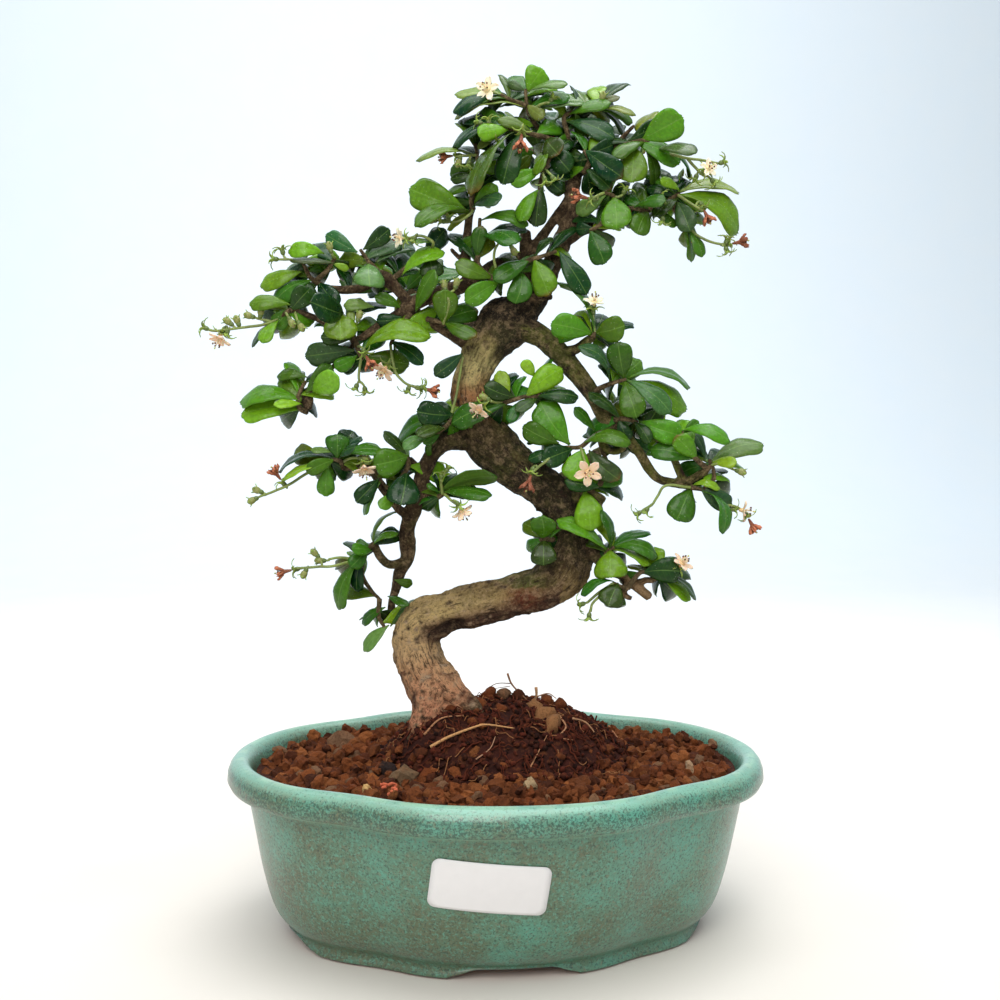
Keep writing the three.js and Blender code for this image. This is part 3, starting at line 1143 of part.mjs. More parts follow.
    stalks: [
      [4, [66.5, 251.3], [71, 248.5], [75, 246.8], [79, 245.9]],
      [4, [63.5, 262.5], [69, 259.5], [72, 258]],
    ],
    cups: [
      [80.8, 247.4, 4, 0.4, 1], [80.8, 243.6, 4, 0.4, -1], [57.4, 254, 6, -0.2, -1],
      [57.2, 262.6, 6, -0.6, 1],
    ],
    buds: [],
    blooms: [
      [85.8, 246.8, 4, 3.3, 1, 0.2, 0.2, 'wilted'], [73.6, 255.6, 4, 3.2, 0.5, -1, 0.2, 'wilted'],
    ],
    extra: 2,
  },
  {
    name: 'spray_crown_right_low',
    depth: -6,
    twigs: [
      [[37, 254.5, -1], [40, 257, 1], [40, 262.5, 2], [36.5, 264, 3]],
      [[40, 257, 1], [46, 258.5, 2], [53, 257.5, 2]], [[40, 257, 1], [35, 252.5, 3], [31.5, 250.5, 3]],
    ],
    leaves: [
      [31.5, 250.5, 37, 238.5, 8, 'mid'], [52.5, 257.3, 48.5, 249.5, 7.5, 'mid', 0.1, 5],
      [53, 257.5, 63, 252.5, 3, 'mid'], [40, 262.5, 41, 251, 10, 'bright', 0.1, 5],
      [37, 263, 26.5, 256.5, 5.5, 'pale'], [51, 258, 43.5, 263, 4, 'mid', 0.1, -4],
      [47, 258.5, 58.5, 261.5, 3, 'mid', 0.1, 5],
    ],
    stalks: [
      [5, [36, 263.6], [33.5, 262.5], [32, 261.6]],
    ],
    cups: [
      [44, 265, 3, 0.5, 1],
    ],
    buds: [],
    blooms: [
      [27.6, 262.6, 6, 3.6, -1, 0.2, 0.3, 'wilted'],
    ],
    extra: 2,
  },
  {
    name: 'spray_back_left',
    depth: 38,
    twigs: [
      [[-30, 227], [-37, 229, -3], [-45, 229, -4]], [[-32, 227.6], [-33, 233, -8], [-30, 240, -9]],
    ],
    leaves: [],
    stalks: [],
    cups: [],
    buds: [],
    blooms: [],
    extra: 10,
  },
  {
    name: 'spray_back_crown',
    depth: 36,
    twigs: [
      [[14, 277], [9, 279, -3], [2, 281, -4]],
      [[15, 276.5, 2], [21, 280, -4], [30, 281.5, -3], [38, 280, 2]],
    ],
    leaves: [],
    stalks: [],
    cups: [],
    buds: [],
    blooms: [],
    extra: 12,
  },
  {
    name: 'spray_back_right',
    depth: 37,
    twigs: [
      [[43, 175], [50, 177, -2], [58, 176, -3]], [[42, 174.6], [41, 181, -5], [43, 188, -6]],
    ],
    leaves: [],
    stalks: [],
    cups: [],
    buds: [],
    blooms: [],
    extra: 10,
  },
];

const toneColours = {
  bright: 0x4f8a2c,
  mid: 0x3a6b2a,
  dark: 0x23452a,
  grey: 0x7f9a86,
  pale: 0xa3b08a,
  fresh: 0x93ad3c,
  olive: 0x6a7a35,
  under: 0x8a9358,
};

// The nearest point of a set of polylines, as seen, to a point x, z
function nearestOn(lines, x, z) {
  let best = null;
  for (const line of lines) {
    for (let i = 0; i < line.length - 1; i += 1) {
      const [ax, az, ay] = line[i];
      const [bx, bz, by] = line[i + 1];
      const length = (bx - ax) ** 2 + (bz - az) ** 2;
      const part = Math.min(1, Math.max(0, ((x - ax) * (bx - ax) + (z - az) * (bz - az)) / length));
      const px = ax + (bx - ax) * part;
      const pz = az + (bz - az) * part;
      const gap = Math.hypot(px - x, pz - z);
      if (!best || gap < best.gap) best = { gap, x: px, z: pz, y: ay + (by - ay) * part };
    }
  }
  return best;
}

// Where a blade lies: root, tip, the way it is wide and the way its upper face looks
function bladeFrame(blade) {
  const root = seen(blade.x, blade.z, blade.y);
  const tip = seen(blade.tipX, blade.tipZ, blade.tipY);
  const length = root.distanceTo(tip);
  const run = tip.clone().sub(root).normalize();
  const width = Math.max(blade.width, bladeRatio * length);
  const facing = eye.clone().sub(root).normalize();
  facing.addScaledVector(run, -facing.dot(run)).normalize();
  const across = new THREE.Vector3().crossVectors(facing, run);
  if (across.z < 0) across.negate();
  const turn = Math.acos(Math.min(1, blade.width / width));
  const look = blade.under ? -Math.cos(turn) : Math.cos(turn);
  const normal = facing.clone().multiplyScalar(look).addScaledVector(across, Math.sin(turn)).normalize();
  const wide = new THREE.Vector3().crossVectors(normal, run).normalize();
  return { root, length, run, width, normal, wide };
}

const bigBlade = [[0, 0.07], [0.36, 0.62], [0.74, 1], [0.86, 0.55]];
const middleBlade = [[0, 0.09], [0.66, 1], [0.84, 0.6]];
const smallBlade = [[0, 0.12], [0.7, 1]];

// One leaf: narrow at its root, widest near its three-pointed end, arched along its run. Each ring holds
// the lower and upper corner of one edge, then the upper and lower corner of the other
function bladeRings(blade, extra = 0, start = 0) {
  const { root, length, run, width, normal, wide } = bladeFrame(blade);
  const larger = length < shortestBigBlade ? middleBlade : bigBlade;
  const stations = length < shortestMiddleBlade ? smallBlade : larger;
  const bow = blade.bow * length;
  const half = bladeThickness / 2 + extra;
  const at = (along, sideways, lift) => root.clone()
    .addScaledVector(run, along * length)
    .addScaledVector(wide, sideways)
    .addScaledVector(normal, 4 * along * (1 - along) * bow + lift);
  const rings = stations.map(([along, share]) => {
    const cut = Math.max(along, start);
    const reach = (cut > along ? share + (cut - along) * 1.4 : share) * width / 2 + extra * 0.6;
    return [at(cut, reach, -half), at(cut, reach, half), at(cut, -reach, half), at(cut, -reach, -half)];
  });
  const onward = 1 + extra * 0.6 / length;
  return { rings, tip: [at(onward, 0, -half), at(onward, 0, half)], run, root };
}

function bladeBody(blade, extra = 0, start = 0) {
  const { rings, tip } = bladeRings(blade, extra, start);
  const points = [...rings.flat(), ...tip];
  const triangles = [[0, 2, 1], [0, 3, 2]];
  for (let level = 0; level < rings.length - 1; level += 1) {
    for (let k = 0; k < 4; k += 1) {
      const low = level * 4;
      const next = (k + 1) % 4;
      triangles.push([low + k, low + next, low + next + 4], [low + k, low + next + 4, low + k + 4]);
    }
  }
  const last = (rings.length - 1) * 4;
  const low = points.length - 2;
  const high = points.length - 1;
  triangles.push([last, last + 1, high], [last, high, low], [last + 1, last + 2, high]);
  triangles.push([last + 2, last + 3, low], [last + 2, low, high], [last + 3, last, low]);
  return { points, triangles };
}

// Flowers: a dish of five lobes, or a dried and drawn-in bell; both grow from their cup
function bloomFrame(bloom) {
  const ahead = seen(bloom.x + bloom.across * 4, bloom.z + bloom.up * 4, bloom.y - bloom.toward * 4);
  const centre = seen(bloom.x, bloom.z, bloom.y);
  const axis = ahead.sub(centre).normalize();
  const side = new THREE.Vector3(0.2, 0.3, 1);
  side.addScaledVector(axis, -axis.dot(side)).normalize();
  return { centre, axis, side, other: new THREE.Vector3().crossVectors(axis, side) };
}

function bloomBody(bloom, extra = 0) {
  const { centre, axis, side, other } = bloomFrame(bloom);
  const ringAt = (count, ahead, radiusOf) => {
    const ring = [];
    for (let k = 0; k < count; k += 1) {
      const angle = (k / count) * Math.PI * 2;
      const reach = radiusOf(k) + extra;
      ring.push(centre.clone()
        .addScaledVector(axis, ahead)
        .addScaledVector(side, reach * Math.cos(angle))
        .addScaledVector(other, reach * Math.sin(angle)));
    }
    return ring;
  };
  const size = bloom.radius;
  const onAxis = (ahead) => centre.clone().addScaledVector(axis, ahead);
  if (bloom.kind === 'wilted') {
    const crumple = (k) => (k % 2 ? 0.7 : 1);
    return ringBody([
      ringAt(5, -size * 0.9 - extra, () => size * 0.25),
      ringAt(5, -size * 0.1, (k) => size * 0.62 * crumple(k + 1)),
      ringAt(5, size * 0.7 + extra, (k) => size * 0.5 * crumple(k)),
    ]);
  }
  const rim = ringAt(15, size * 0.12, (k) => size * (k % 3 === 0 ? 0.6 : 1));
  return spindleBody(onAxis(-size * 0.5 - extra * 1.6), rim, onAxis(extra - size * 0.1));
}

// The end of a stalk: the cup of a flower, or a small one that is still shut
const openCup = [[-1.5, 0.6], [1.2, 1.95]];
const shutCup = [[-1.2, 0.55], [0.9, 1.3]];
function cupRings(cup) {
  const base = seen(cup.x, cup.z, cup.y);
  const ahead = seen(cup.x + cup.across, cup.z + cup.up, cup.y - cup.toward);
  const axis = ahead.sub(base).normalize();
  return (cup.shut ? shutCup : openCup).map(([along, radius]) => ({
    point: base.clone().addScaledVector(axis, along),
    radius,
  }));
}

// Do two bodies' surfaces cross
function faceData(body) {
  if (body.faces) return body.faces;
  const box = new THREE.Box3().setFromPoints(body.points);
  const faces = body.triangles.map((corners) => {
    const [a, b, c] = corners.map((index) => body.points[index]);
    return { a, b, c, box: new THREE.Box3().setFromPoints([a, b, c]) };
  });
  body.faces = { box, faces };
  return body.faces;
}

function edgeCuts(from, to, face) {
  const side = face.b.clone().sub(face.a);
  const other = face.c.clone().sub(face.a);
  const run = to.clone().sub(from);
  const cross = new THREE.Vector3().crossVectors(run, other);
  const scale = side.dot(cross);
  if (Math.abs(scale) < 1e-12) return false;
  const offset = from.clone().sub(face.a);
  const first = offset.dot(cross) / scale;
  if (first < 0 || first > 1) return false;
  const second = new THREE.Vector3().crossVectors(offset, side);
  const share = run.dot(second) / scale;
  if (share < 0 || first + share > 1) return false;
  const along = other.dot(second) / scale;
  return along >= 0 && along <= 1;
}

function meets(one, two) {
  const first = faceData(one);
  const second = faceData(two);
  if (!first.box.intersectsBox(second.box)) return false;
  for (const p of first.faces) {
    if (!p.box.intersectsBox(second.box)) continue;
    for (const q of second.faces) {
      if (!p.box.intersectsBox(q.box)) continue;
      if (edgeCuts(p.a, p.b, q) || edgeCuts(p.b, p.c, q) || edgeCuts(p.c, p.a, q)) return true;
      if (edgeCuts(q.a, q.b, p) || edgeCuts(q.b, q.c, p) || edgeCuts(q.c, q.a, p)) return true;
    }
  }
  return false;
}

// Wood
const trunkSides = 9;
const trunkRelief = 0.045;
const limbSides = (row) => Math.min(6, Math.max(4, Math.round(row[0][2] * 1.3)));
const limbBodies = [
  limbFromRow(trunkRow, trunkSides, 0, trunkRelief),
  ...branchRows.map((row) => limbFromRow(row, limbSides(row))),
];
const woodMargin = joined([
  toSolid(limbFromRow(trunkRow, trunkSides, 0.75, trunkRelief)),
  ...branchRows.map((row) => toSolid(limbFromRow(row, limbSides(row), 0.45))),
]);

// Runs of a spray: its twigs, stalks and cups, each a list of points with their radii
function runOf(line, radius) {
  return line.map(([x, z, y]) => ({ point: seen(x, z, y), radius }));
}

function runBody(run, sides, extra = 0) {
  return limbBody(run.map(({ point }) => point), run.map(({ radius }) => radius + extra), sides);
}

function layOut(spray) {
  const twigs = spray.twigs.map((line) => line.map(([x, z, forward = 0]) => [x, z, spray.depth - forward]));
  const lines = twigs.slice();
  const twigRuns = twigs.map((line) => runOf(line, twigRadius));
  const stalkRuns = [];
  for (const [forward, ...run] of spray.stalks) {
    const y = spray.depth - forward;
    const from = nearestOn(lines, run[0][0], run[0][1]);
    const line = [[from.x, from.z, from.y], ...run.map(([x, z]) => [x, z, y])];
    if (from.gap < 1.5) line.splice(1, 1);
    stalkRuns.push(runOf(line, stalkRadius));
    lines.push(line);
  }
  const blooms = [];
  const cups = [...spray.cups.map((row) => [...row, false]), ...spray.buds.map((row) => [...row, true])];
  for (const [x, z, forward, radius, across, up, toward, kind] of spray.blooms) {
    const bloom = { x, z, y: spray.depth - forward, radius, across, up, toward, kind };
    const reach = radius * (kind === 'wilted' ? 0.9 : 0.5) + bloomGap + 1.3;
    const size = Math.hypot(across, up, toward);
    blooms.push(bloom);
    cups.push([x - across / size * reach, z - up / size * reach, forward - toward / size * reach,
      across, up, false, toward]);
  }
  const cupRuns = cups.map(([x, z, forward, across, up, shut, toward = 0]) => {
    const cup = { x, z, y: spray.depth - forward, across, up, toward, shut };
    const size = Math.hypot(across, up, toward);
    const from = nearestOn(lines, x - across / size * 2.5, z - up / size * 2.5);
    return [{ point: seen(from.x, from.z, from.y), radius: stalkRadius }, ...cupRings(cup)];
  });
  const bodies = [...twigRuns, ...stalkRuns, ...cupRuns].map((run) => runBody(run, 4));
  return { twigs, twigRuns, stalkRuns, cupRuns, bodies, blooms };
}

// A growing mesh: each limb or leaf springs from one four-cornered patch of the limb that bears it,
// so the whole spray is one closed body
const patchLength = 3.0;
class Growth {
  constructor() {
    this.points = [];
    this.triangles = [];
    this.patches = [];
  }

  addPoints(corners) {
    return corners.map((corner) => this.points.push(corner) - 1);
  }

  middle(ring) {
    return ring.reduce((sum, index) => sum.add(this.points[index]), new THREE.Vector3()).multiplyScalar(0.25);
  }

  // The corner of a patch that lies nearest the first corner of the next ring comes first
  matched(ring, corners) {
    const from = this.middle(ring);
    const to = corners.reduce((sum, corner) => sum.add(corner), new THREE.Vector3()).multiplyScalar(0.25);
    let best = null;
    for (let shift = 0; shift < 4; shift += 1) {
      let score = 0;
      for (let k = 0; k < 4; k += 1) {
        const own = this.points[ring[(k + shift) % 4]].clone().sub(from).normalize();
        score += own.dot(corners[k].clone().sub(to).normalize());
      }
      if (!best || score > best.score) best = { score, shift };
    }
    return ring.map((_, k) => ring[(k + best.shift) % 4]);
  }

  bridge(ring, next, open) {
    for (let k = 0; k < 4; k += 1) {
      const quad = [ring[k], ring[(k + 1) % 4], next[(k + 1) % 4], next[k]];
      if (open) {
        this.patches.push({ quad, centre: this.middle(quad), normal: this.normalOf(quad), free: true });
      } else {
        this.triangles.push([quad[0], quad[1], quad[2]], [quad[0], quad[2], quad[3]]);
      }
    }
  }

  normalOf([a, b, c, d]) {
    const first = this.points[c].clone().sub(this.points[a]);
    const second = this.points[d].clone().sub(this.points[b]);
    return first.cross(second).normalize();
  }

  takePatch(near, ahead) {
    let best = null;
    for (const patch of this.patches) {
      if (!patch.free) continue;
      const score = patch.centre.distanceTo(near) - 1.6 * patch.normal.dot(ahead);
      if (!best || score < best.score) best = { score, patch };
    }
    best.patch.free = false;
    return best.patch.quad;
  }

  addRun(run, bearing) {
    const points = [];
    const radii = [];
    run.forEach(({ point, radius }, i) => {
      points.push(point);
      radii.push(radius);
      if (i === run.length - 1) return;
      const next = run[i + 1];
      const steps = bearing ? Math.max(1, Math.round(point.distanceTo(next.point) / bearing)) : 1;
      for (let k = 1; k < steps; k += 1) {
        points.push(point.clone().lerp(next.point, k / steps));
        radii.push(radius + (next.radius - radius) * (k / steps));
      }
    });
    const rings = limbBody(points, radii, 4).points;
    let ring = null;
    if (this.points.length === 0) {
      ring = this.addPoints(rings.slice(0, 4));
      this.triangles.push([ring[0], ring[2], ring[1]], [ring[0], ring[3], ring[2]]);
    } else {
      const ahead = points[1].clone().sub(points[0]).normalize();
      ring = this.matched(this.takePatch(points[0], ahead), rings.slice(4, 8));
    }
    for (let i = 1; i < points.length; i += 1) {
      const next = this.addPoints(rings.slice(i * 4, i * 4 + 4));
      this.bridge(ring, next, Boolean(bearing));
      ring = next;
    }
    this.triangles.push([ring[0], ring[1], ring[2]], [ring[0], ring[2], ring[3]]);
  }

  addBlade(blade) {
    const { rings, tip, run, root } = bladeRings(blade);
    let ring = this.matched(this.takePatch(root, run), rings[1]);
    for (const corners of rings.slice(1)) {
      const next = this.addPoints(corners);
      this.bridge(ring, next, false);
      ring = next;
    }
    const [low, high] = this.addPoints(tip);
    this.triangles.push([ring[0], ring[1], high], [ring[0], high, low], [ring[1], ring[2], high]);
    this.triangles.push([ring[2], ring[3], low], [ring[2], low, high], [ring[3], ring[0], low]);
  }

  body() {
    const triangles = this.triangles.slice();
    for (const { quad, free } of this.patches) {
      if (free) triangles.push([quad[0], quad[1], quad[2]], [quad[0], quad[2], quad[3]]);
    }
    return { points: this.points, triangles };
  }
}

function runLength(run) {
  let sum = 0;
  for (let i = 1; i < run.length; i += 1) sum += run[i].point.distanceTo(run[i - 1].point);
  return sum;
}

function grow(layout, leaves) {
  const growth = new Growth();
  const needed = leaves.length + layout.stalkRuns.length + layout.cupRuns.length + layout.twigRuns.length;
  const whole = layout.twigRuns.reduce((sum, run) => sum + runLength(run), 0);
  const bearing = Math.min(patchLength, 2.6 * whole / needed);
  for (const run of layout.twigRuns) growth.addRun(run, bearing);
  for (const run of layout.stalkRuns) growth.addRun(run, 3 * patchLength);
  for (const run of layout.cupRuns) growth.addRun(run, 0);
  for (const blade of leaves) growth.addBlade(blade);
  return growth.body();
}

// Leaves of a spray as they are seen, then the ones that grow away from the eye by rule
const usualReach = 1.75;
const longestReach = 12;

function seenLeaves(spray, twigs) {
  return spray.leaves.map(([x, z, tipX, tipZ, width, tone, bow = bladeBow, reach = null], index) => {
    const from = nearestOn(twigs, x, z);
    const flat = Math.hypot(tipX - x, tipZ - z);
    const usual = Math.min(longestReach, Math.sqrt(Math.max(0, (usualReach * width) ** 2 - flat * flat)));
    const towards = reach === null ? usual + (((index * 37) % 7) - 3) * 0.6 : reach;
    return {
      x: from.x,
      z: from.z,
      y: from.y,
      tipX,
      tipZ,
      tipY: from.y - towards,
      width,
      bow,
      tone,
      under: tone === 'under',
    };
  });
}

function farLeaves(spray, twigs, random) {
  const leaves = [];
  const back = spray.leaves.length === 0;
  for (let i = 0; i < spray.extra; i += 1) {
    const line = twigs[Math.floor(random() * twigs.length)];
    const step = Math.min(line.length - 2, Math.floor(random() * (line.length - 1)));
    const part = random();
    const [ax, az, ay] = line[step];
    const [bx, bz, by] = line[step + 1];
    const angle = (i / spray.extra + 0.15 * random()) * Math.PI * 2;
    const away = back ? (random() - 0.35) * 1.2 : 0.45 + 0.5 * random();
    const length = 12 + 7 * random();
    const flat = length * Math.sqrt(Math.max(0.1, 1 - Math.min(0.9, away * away)));
    const x = ax + (bx - ax) * part;
    const z = az + (bz - az) * part;
    const y = ay + (by - ay) * part;
    leaves.push({
      x,
      z,
      y,
      tipX: x + flat * Math.cos(angle),
      tipZ: z + 0.75 * flat * Math.sin(angle) + 1.5,
      tipY: y + length * away,
      width: length * (0.2 + 0.3 * random()),
      bow: bladeBow,
      tone: 'dark',
      under: false,
    });
  }
  return leaves;
}

// A leaf that would cross another piece is bent nearer or farther; one that never clears is left out
const bends = [0, 2.5, -2.5, 5, -5, 7.5, -7.5, 10, -10, 13, -13, 16];
const bendNeeded = (blade, owner, taken) => {
  const whole = bladeBody(blade, leafClearance);
  const outer = bladeBody(blade, leafClearance, 0.25);
  for (const body of limbBodies) {
    if (meets(outer, body)) return true;
  }
  for (const { body, belongs, outer: ownOuter } of taken) {
    if (belongs !== owner && meets(whole, body)) return true;
    if (belongs === owner && ownOuter && meets(outer, ownOuter)) return true;
  }
  return false;
};

function bentClear(blade, owner, taken) {
  for (const bend of bends) {
    const bent = { ...blade, tipY: blade.tipY + bend };
    if (!bendNeeded(bent, owner, taken)) return bent;
  }
  return null;
}

const group = new THREE.Group();
group.name = 'fukien_tea_bonsai';

function addPiece(name, solid, colour, roughness, metalness = 0) {
  const mesh = solid.getMesh();
  const stride = mesh.numProp;
  const positions = new Float32Array((mesh.vertProperties.length / stride) * 3);
  for (let i = 0; i < positions.length / 3; i += 1) {
    for (let k = 0; k < 3; k += 1) positions[i * 3 + k] = mesh.vertProperties[i * stride + k];
  }
  const geometry = new THREE.BufferGeometry();
  geometry.setAttribute('position', new THREE.BufferAttribute(positions, 3));
  geometry.setIndex(Array.from(mesh.triVerts));
  geometry.computeVertexNormals();
  const material = new THREE.MeshStandardMaterial({ color: colour, roughness, metalness });
  const piece = new THREE.Mesh(geometry, material);
  piece.name = name;
  group.add(piece);
}

const taken = [];
const layouts = sprays.map((spray) => {
  const layout = layOut(spray);
  for (const body of layout.bodies) taken.push({ body, belongs: spray.name });
  for (const bloom of layout.blooms) taken.push({ body: bloomBody(bloom), belongs: 'bloom' });
  return layout;
});

const leafSets = sprays.map((spray, index) => {
  const kept = [];
  for (const blade of seenLeaves(spray, layouts[index].twigs)) {
    const bent = bentClear(blade, spray.name, taken);
    if (!bent) continue;
    kept.push(bent);
    taken.push({ body: bladeBody(bent), belongs: spray.name, outer: bladeBody(bent, 0, 0.25) });
  }
  return kept;
});

sprays.forEach((spray, index) => {
  const random = randomSource(500 + index);
  for (const blade of farLeaves(spray, layouts[index].twigs, random)) {
    const bent = bentClear(blade, spray.name, taken);
    if (!bent) continue;
    leafSets[index].push(bent);
    taken.push({ body: bladeBody(bent), belongs: spray.name, outer: bladeBody(bent, 0, 0.25) });
  }
});

// Each spray is fused, then cut clear of the wood, the flowers and the sprays before it
function meanTone(leaves) {
  const sum = new THREE.Color(0, 0, 0);
  for (const leaf of leaves) sum.add(new THREE.Color(toneColours[leaf.tone]));
  return sum.multiplyScalar(1 / leaves.length);
}

const bloomNodes = [];
layouts.forEach((layout) => layout.blooms.forEach((bloom) => bloomNodes.push(bloom)));
const counts = { white: 0, wilted: 0 };
for (const bloom of bloomNodes) {
  counts[bloom.kind] += 1;
  const label = String(counts[bloom.kind]).padStart(2, '0');
  bloom.name = bloom.kind === 'wilted' ? `wilted_${label}` : `bloom_${label}`;
}

const finished = [];
const sprayPieces = sprays.map((spray, index) => {
  const body = grow(layouts[index], leafSets[index]);
  let solid = toSolid(body).subtract(woodMargin);
  for (const bloom of bloomNodes) {
    const wider = bloomBody(bloom, bloomGap);
    if (meets(body, wider)) solid = solid.subtract(toSolid(wider));
  }
  for (const other of finished) {
    if (!meets(body, other.body)) continue;
    for (const part of other.wider) {
      if (meets(body, part)) solid = solid.subtract(toSolid(part));
    }
    solid = solid.subtract(other.solid);
  }
  solid = largest(solid);
  const layout = layouts[index];
  const runs = [...layout.twigRuns, ...layout.stalkRuns, ...layout.cupRuns];
  const wider = [
    ...runs.map((run) => runBody(run, 4, pieceGap)),
    ...leafSets[index].map((blade) => bladeBody(blade, pieceGap / 2)),
  ];
  finished.push({ body, wider, solid });
  return { name: spray.name, solid, tone: meanTone(leafSets[index]) };
});

const trunkHole = toSolid(limbFromRow(trunkRow.slice(0, 5), trunkSides, 1.5 * pieceGap, trunkRelief));
addPiece('pot', makePot(), 0x3d8578, 0.25);
addPiece('label', makeLabel(), 0xf2f1ec, 0.6);
addPiece('drain_mesh_left', makeDrainMesh(-1), 0x2b2b2b, 0.7);
addPiece('drain_mesh_right', makeDrainMesh(1), 0x2b2b2b, 0.7);
addPiece('gravel', makeGravel(), 0x8a4a30, 0.95);
addPiece('root_ball', makeRootBall(trunkHole), 0x3a2a20, 0.95);
addPiece('wood', joined(limbBodies.map(toSolid)), 0x7d6a55, 0.85);
for (const piece of sprayPieces) addPiece(piece.name, piece.solid, piece.tone, 0.45);
for (const bloom of bloomNodes) {
  const colour = bloom.kind === 'wilted' ? 0xb06a32 : 0xf3e6d8;
  addPiece(bloom.name, toSolid(bloomBody(bloom)), colour, 0.6);
}

// The origin is the middle of the whole part's footprint, at the ground
const reach = new THREE.Box3().setFromObject(group);
const middle = reach.getCenter(new THREE.Vector3());
for (const piece of group.children) piece.geometry.translate(-middle.x, -middle.y, -reach.min.z);

export default group;
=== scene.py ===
"""A fukien tea bonsai in its glazed quatrefoil pot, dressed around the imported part.

Lengths are millimetres in the code and metres in the scene. The plant is laid out as it is seen
from the front: x across, z up, and y away from the eye, as in the part's own source.
"""

import logging
import math
from dataclasses import dataclass, field
from enum import Enum
from typing import Optional, Sequence

import bpy
import numpy as np
from mathutils import Matrix, Vector
from mathutils.kdtree import KDTree

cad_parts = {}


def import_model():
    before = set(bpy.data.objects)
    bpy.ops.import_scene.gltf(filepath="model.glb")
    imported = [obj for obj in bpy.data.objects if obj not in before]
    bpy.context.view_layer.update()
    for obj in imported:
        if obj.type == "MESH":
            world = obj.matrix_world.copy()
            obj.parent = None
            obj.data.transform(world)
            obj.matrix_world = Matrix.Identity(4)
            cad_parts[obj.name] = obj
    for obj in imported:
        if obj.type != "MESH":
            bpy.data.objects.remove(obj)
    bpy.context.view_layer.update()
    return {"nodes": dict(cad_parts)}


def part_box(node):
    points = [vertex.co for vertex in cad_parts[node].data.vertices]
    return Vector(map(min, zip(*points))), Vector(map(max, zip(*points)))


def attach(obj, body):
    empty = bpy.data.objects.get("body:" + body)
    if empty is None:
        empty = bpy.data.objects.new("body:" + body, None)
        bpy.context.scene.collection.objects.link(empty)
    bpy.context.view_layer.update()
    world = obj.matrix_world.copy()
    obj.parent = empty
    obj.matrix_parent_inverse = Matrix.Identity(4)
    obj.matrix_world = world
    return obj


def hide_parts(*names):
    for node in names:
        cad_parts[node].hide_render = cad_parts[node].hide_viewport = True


LOG = logging.getLogger("bonsai")
MM = 0.001
GRAIN_SEED, MOUND_SEED = 41, 52
PACKED_LEAF_SEED, SCENE_LEAF_SEED, SPRAY_SEED = 500, 700, 900

LimbPoint = tuple[float, float, float, float]
Colour = tuple[float, float, float]
Point = Sequence[float]
Array = np.ndarray
Body = tuple[Array, list[Array]]
Generator = np.random.Generator
Material = bpy.types.Material
Object = bpy.types.Object
Socket = bpy.types.NodeSocket


class Tone(Enum):
    """How light a leaf shows, partly its own green and partly painted light and shade, with a painted
    sheen on grey and pale ones, and which of its faces.
    """

    BRIGHT = "bright"
    MID = "mid"
    DARK = "dark"
    # grey and pale leaves carry a painted sheen in their green
    GREY_SHEEN = "grey"
    PALE_SHEEN = "pale"
    FRESH = "fresh"
    OLIVE = "olive"
    UNDER = "under"


class BloomKind(Enum):
    """The state of a flower."""

    WHITE = "white"
    WILTED = "wilted"


@dataclass(frozen=True)
class Spray:
    """One leafy stem: its name, depth and hidden leaves, and what it carries, row by row.

    Every row is in the front view, x across and z up, and a reach is towards the eye from the
    stem's depth. A twig is its points, some with a reach. A leaf is base x and z, tip x and z,
    width and tone, then its arch and its reach where these aren't the usual ones. A stalk is its
    reach and its points. A cup or bud is x, z, reach, and how far across and up it looks. A
    flower is x, z, reach, radius, how far across, up and to the eye it looks, and its kind.
    """

    name: str
    depth: float
    extra: int
    twigs: tuple = ()
    leaves: tuple = ()
    stalks: tuple = ()
    cups: tuple = ()
    buds: tuple = ()
    blooms: tuple = ()

    @property
    def scene_leaves(self) -> int:
        """Return how many more leaves fill the stem in the scene alone."""
        crown = "crown" in self.name or "apex" in self.name
        return 17 if crown else 10 if self.leaves else 15


TRUNK: tuple[LimbPoint, ...] = (
    (-22.2, 58.5, 10.2, 0), (-21.6, 68, 9.4, 0), (-21.5, 78, 8.9, 1), (-25, 87, 9.2, 2),
    (-28.5, 94.5, 9, 3), (-30, 102, 8.6, 4), (-27, 108.5, 8.2, 3), (-20, 111.2, 7.8, 1),
    (-9.5, 114.5, 7.8, 0), (3, 118, 7.8, -2), (12, 120.5, 7.7, -3), (20, 123.5, 8.1, -5),
    (24.8, 129.5, 8.1, -5), (26, 137, 6.9, -5), (25, 144, 6.3, -4), (20, 154.5, 7, -3), (9, 162, 7.6, -1),
    (-3, 173, 8.8, 0), (-9.5, 183, 7.3, 0), (-11.5, 193, 6.5, 0), (-9, 202.5, 6.8, 0),
    (-3.5, 211.5, 8.3, 1), (3, 218.5, 9.2, 2), (8.5, 223.5, 5.6, 2),
)

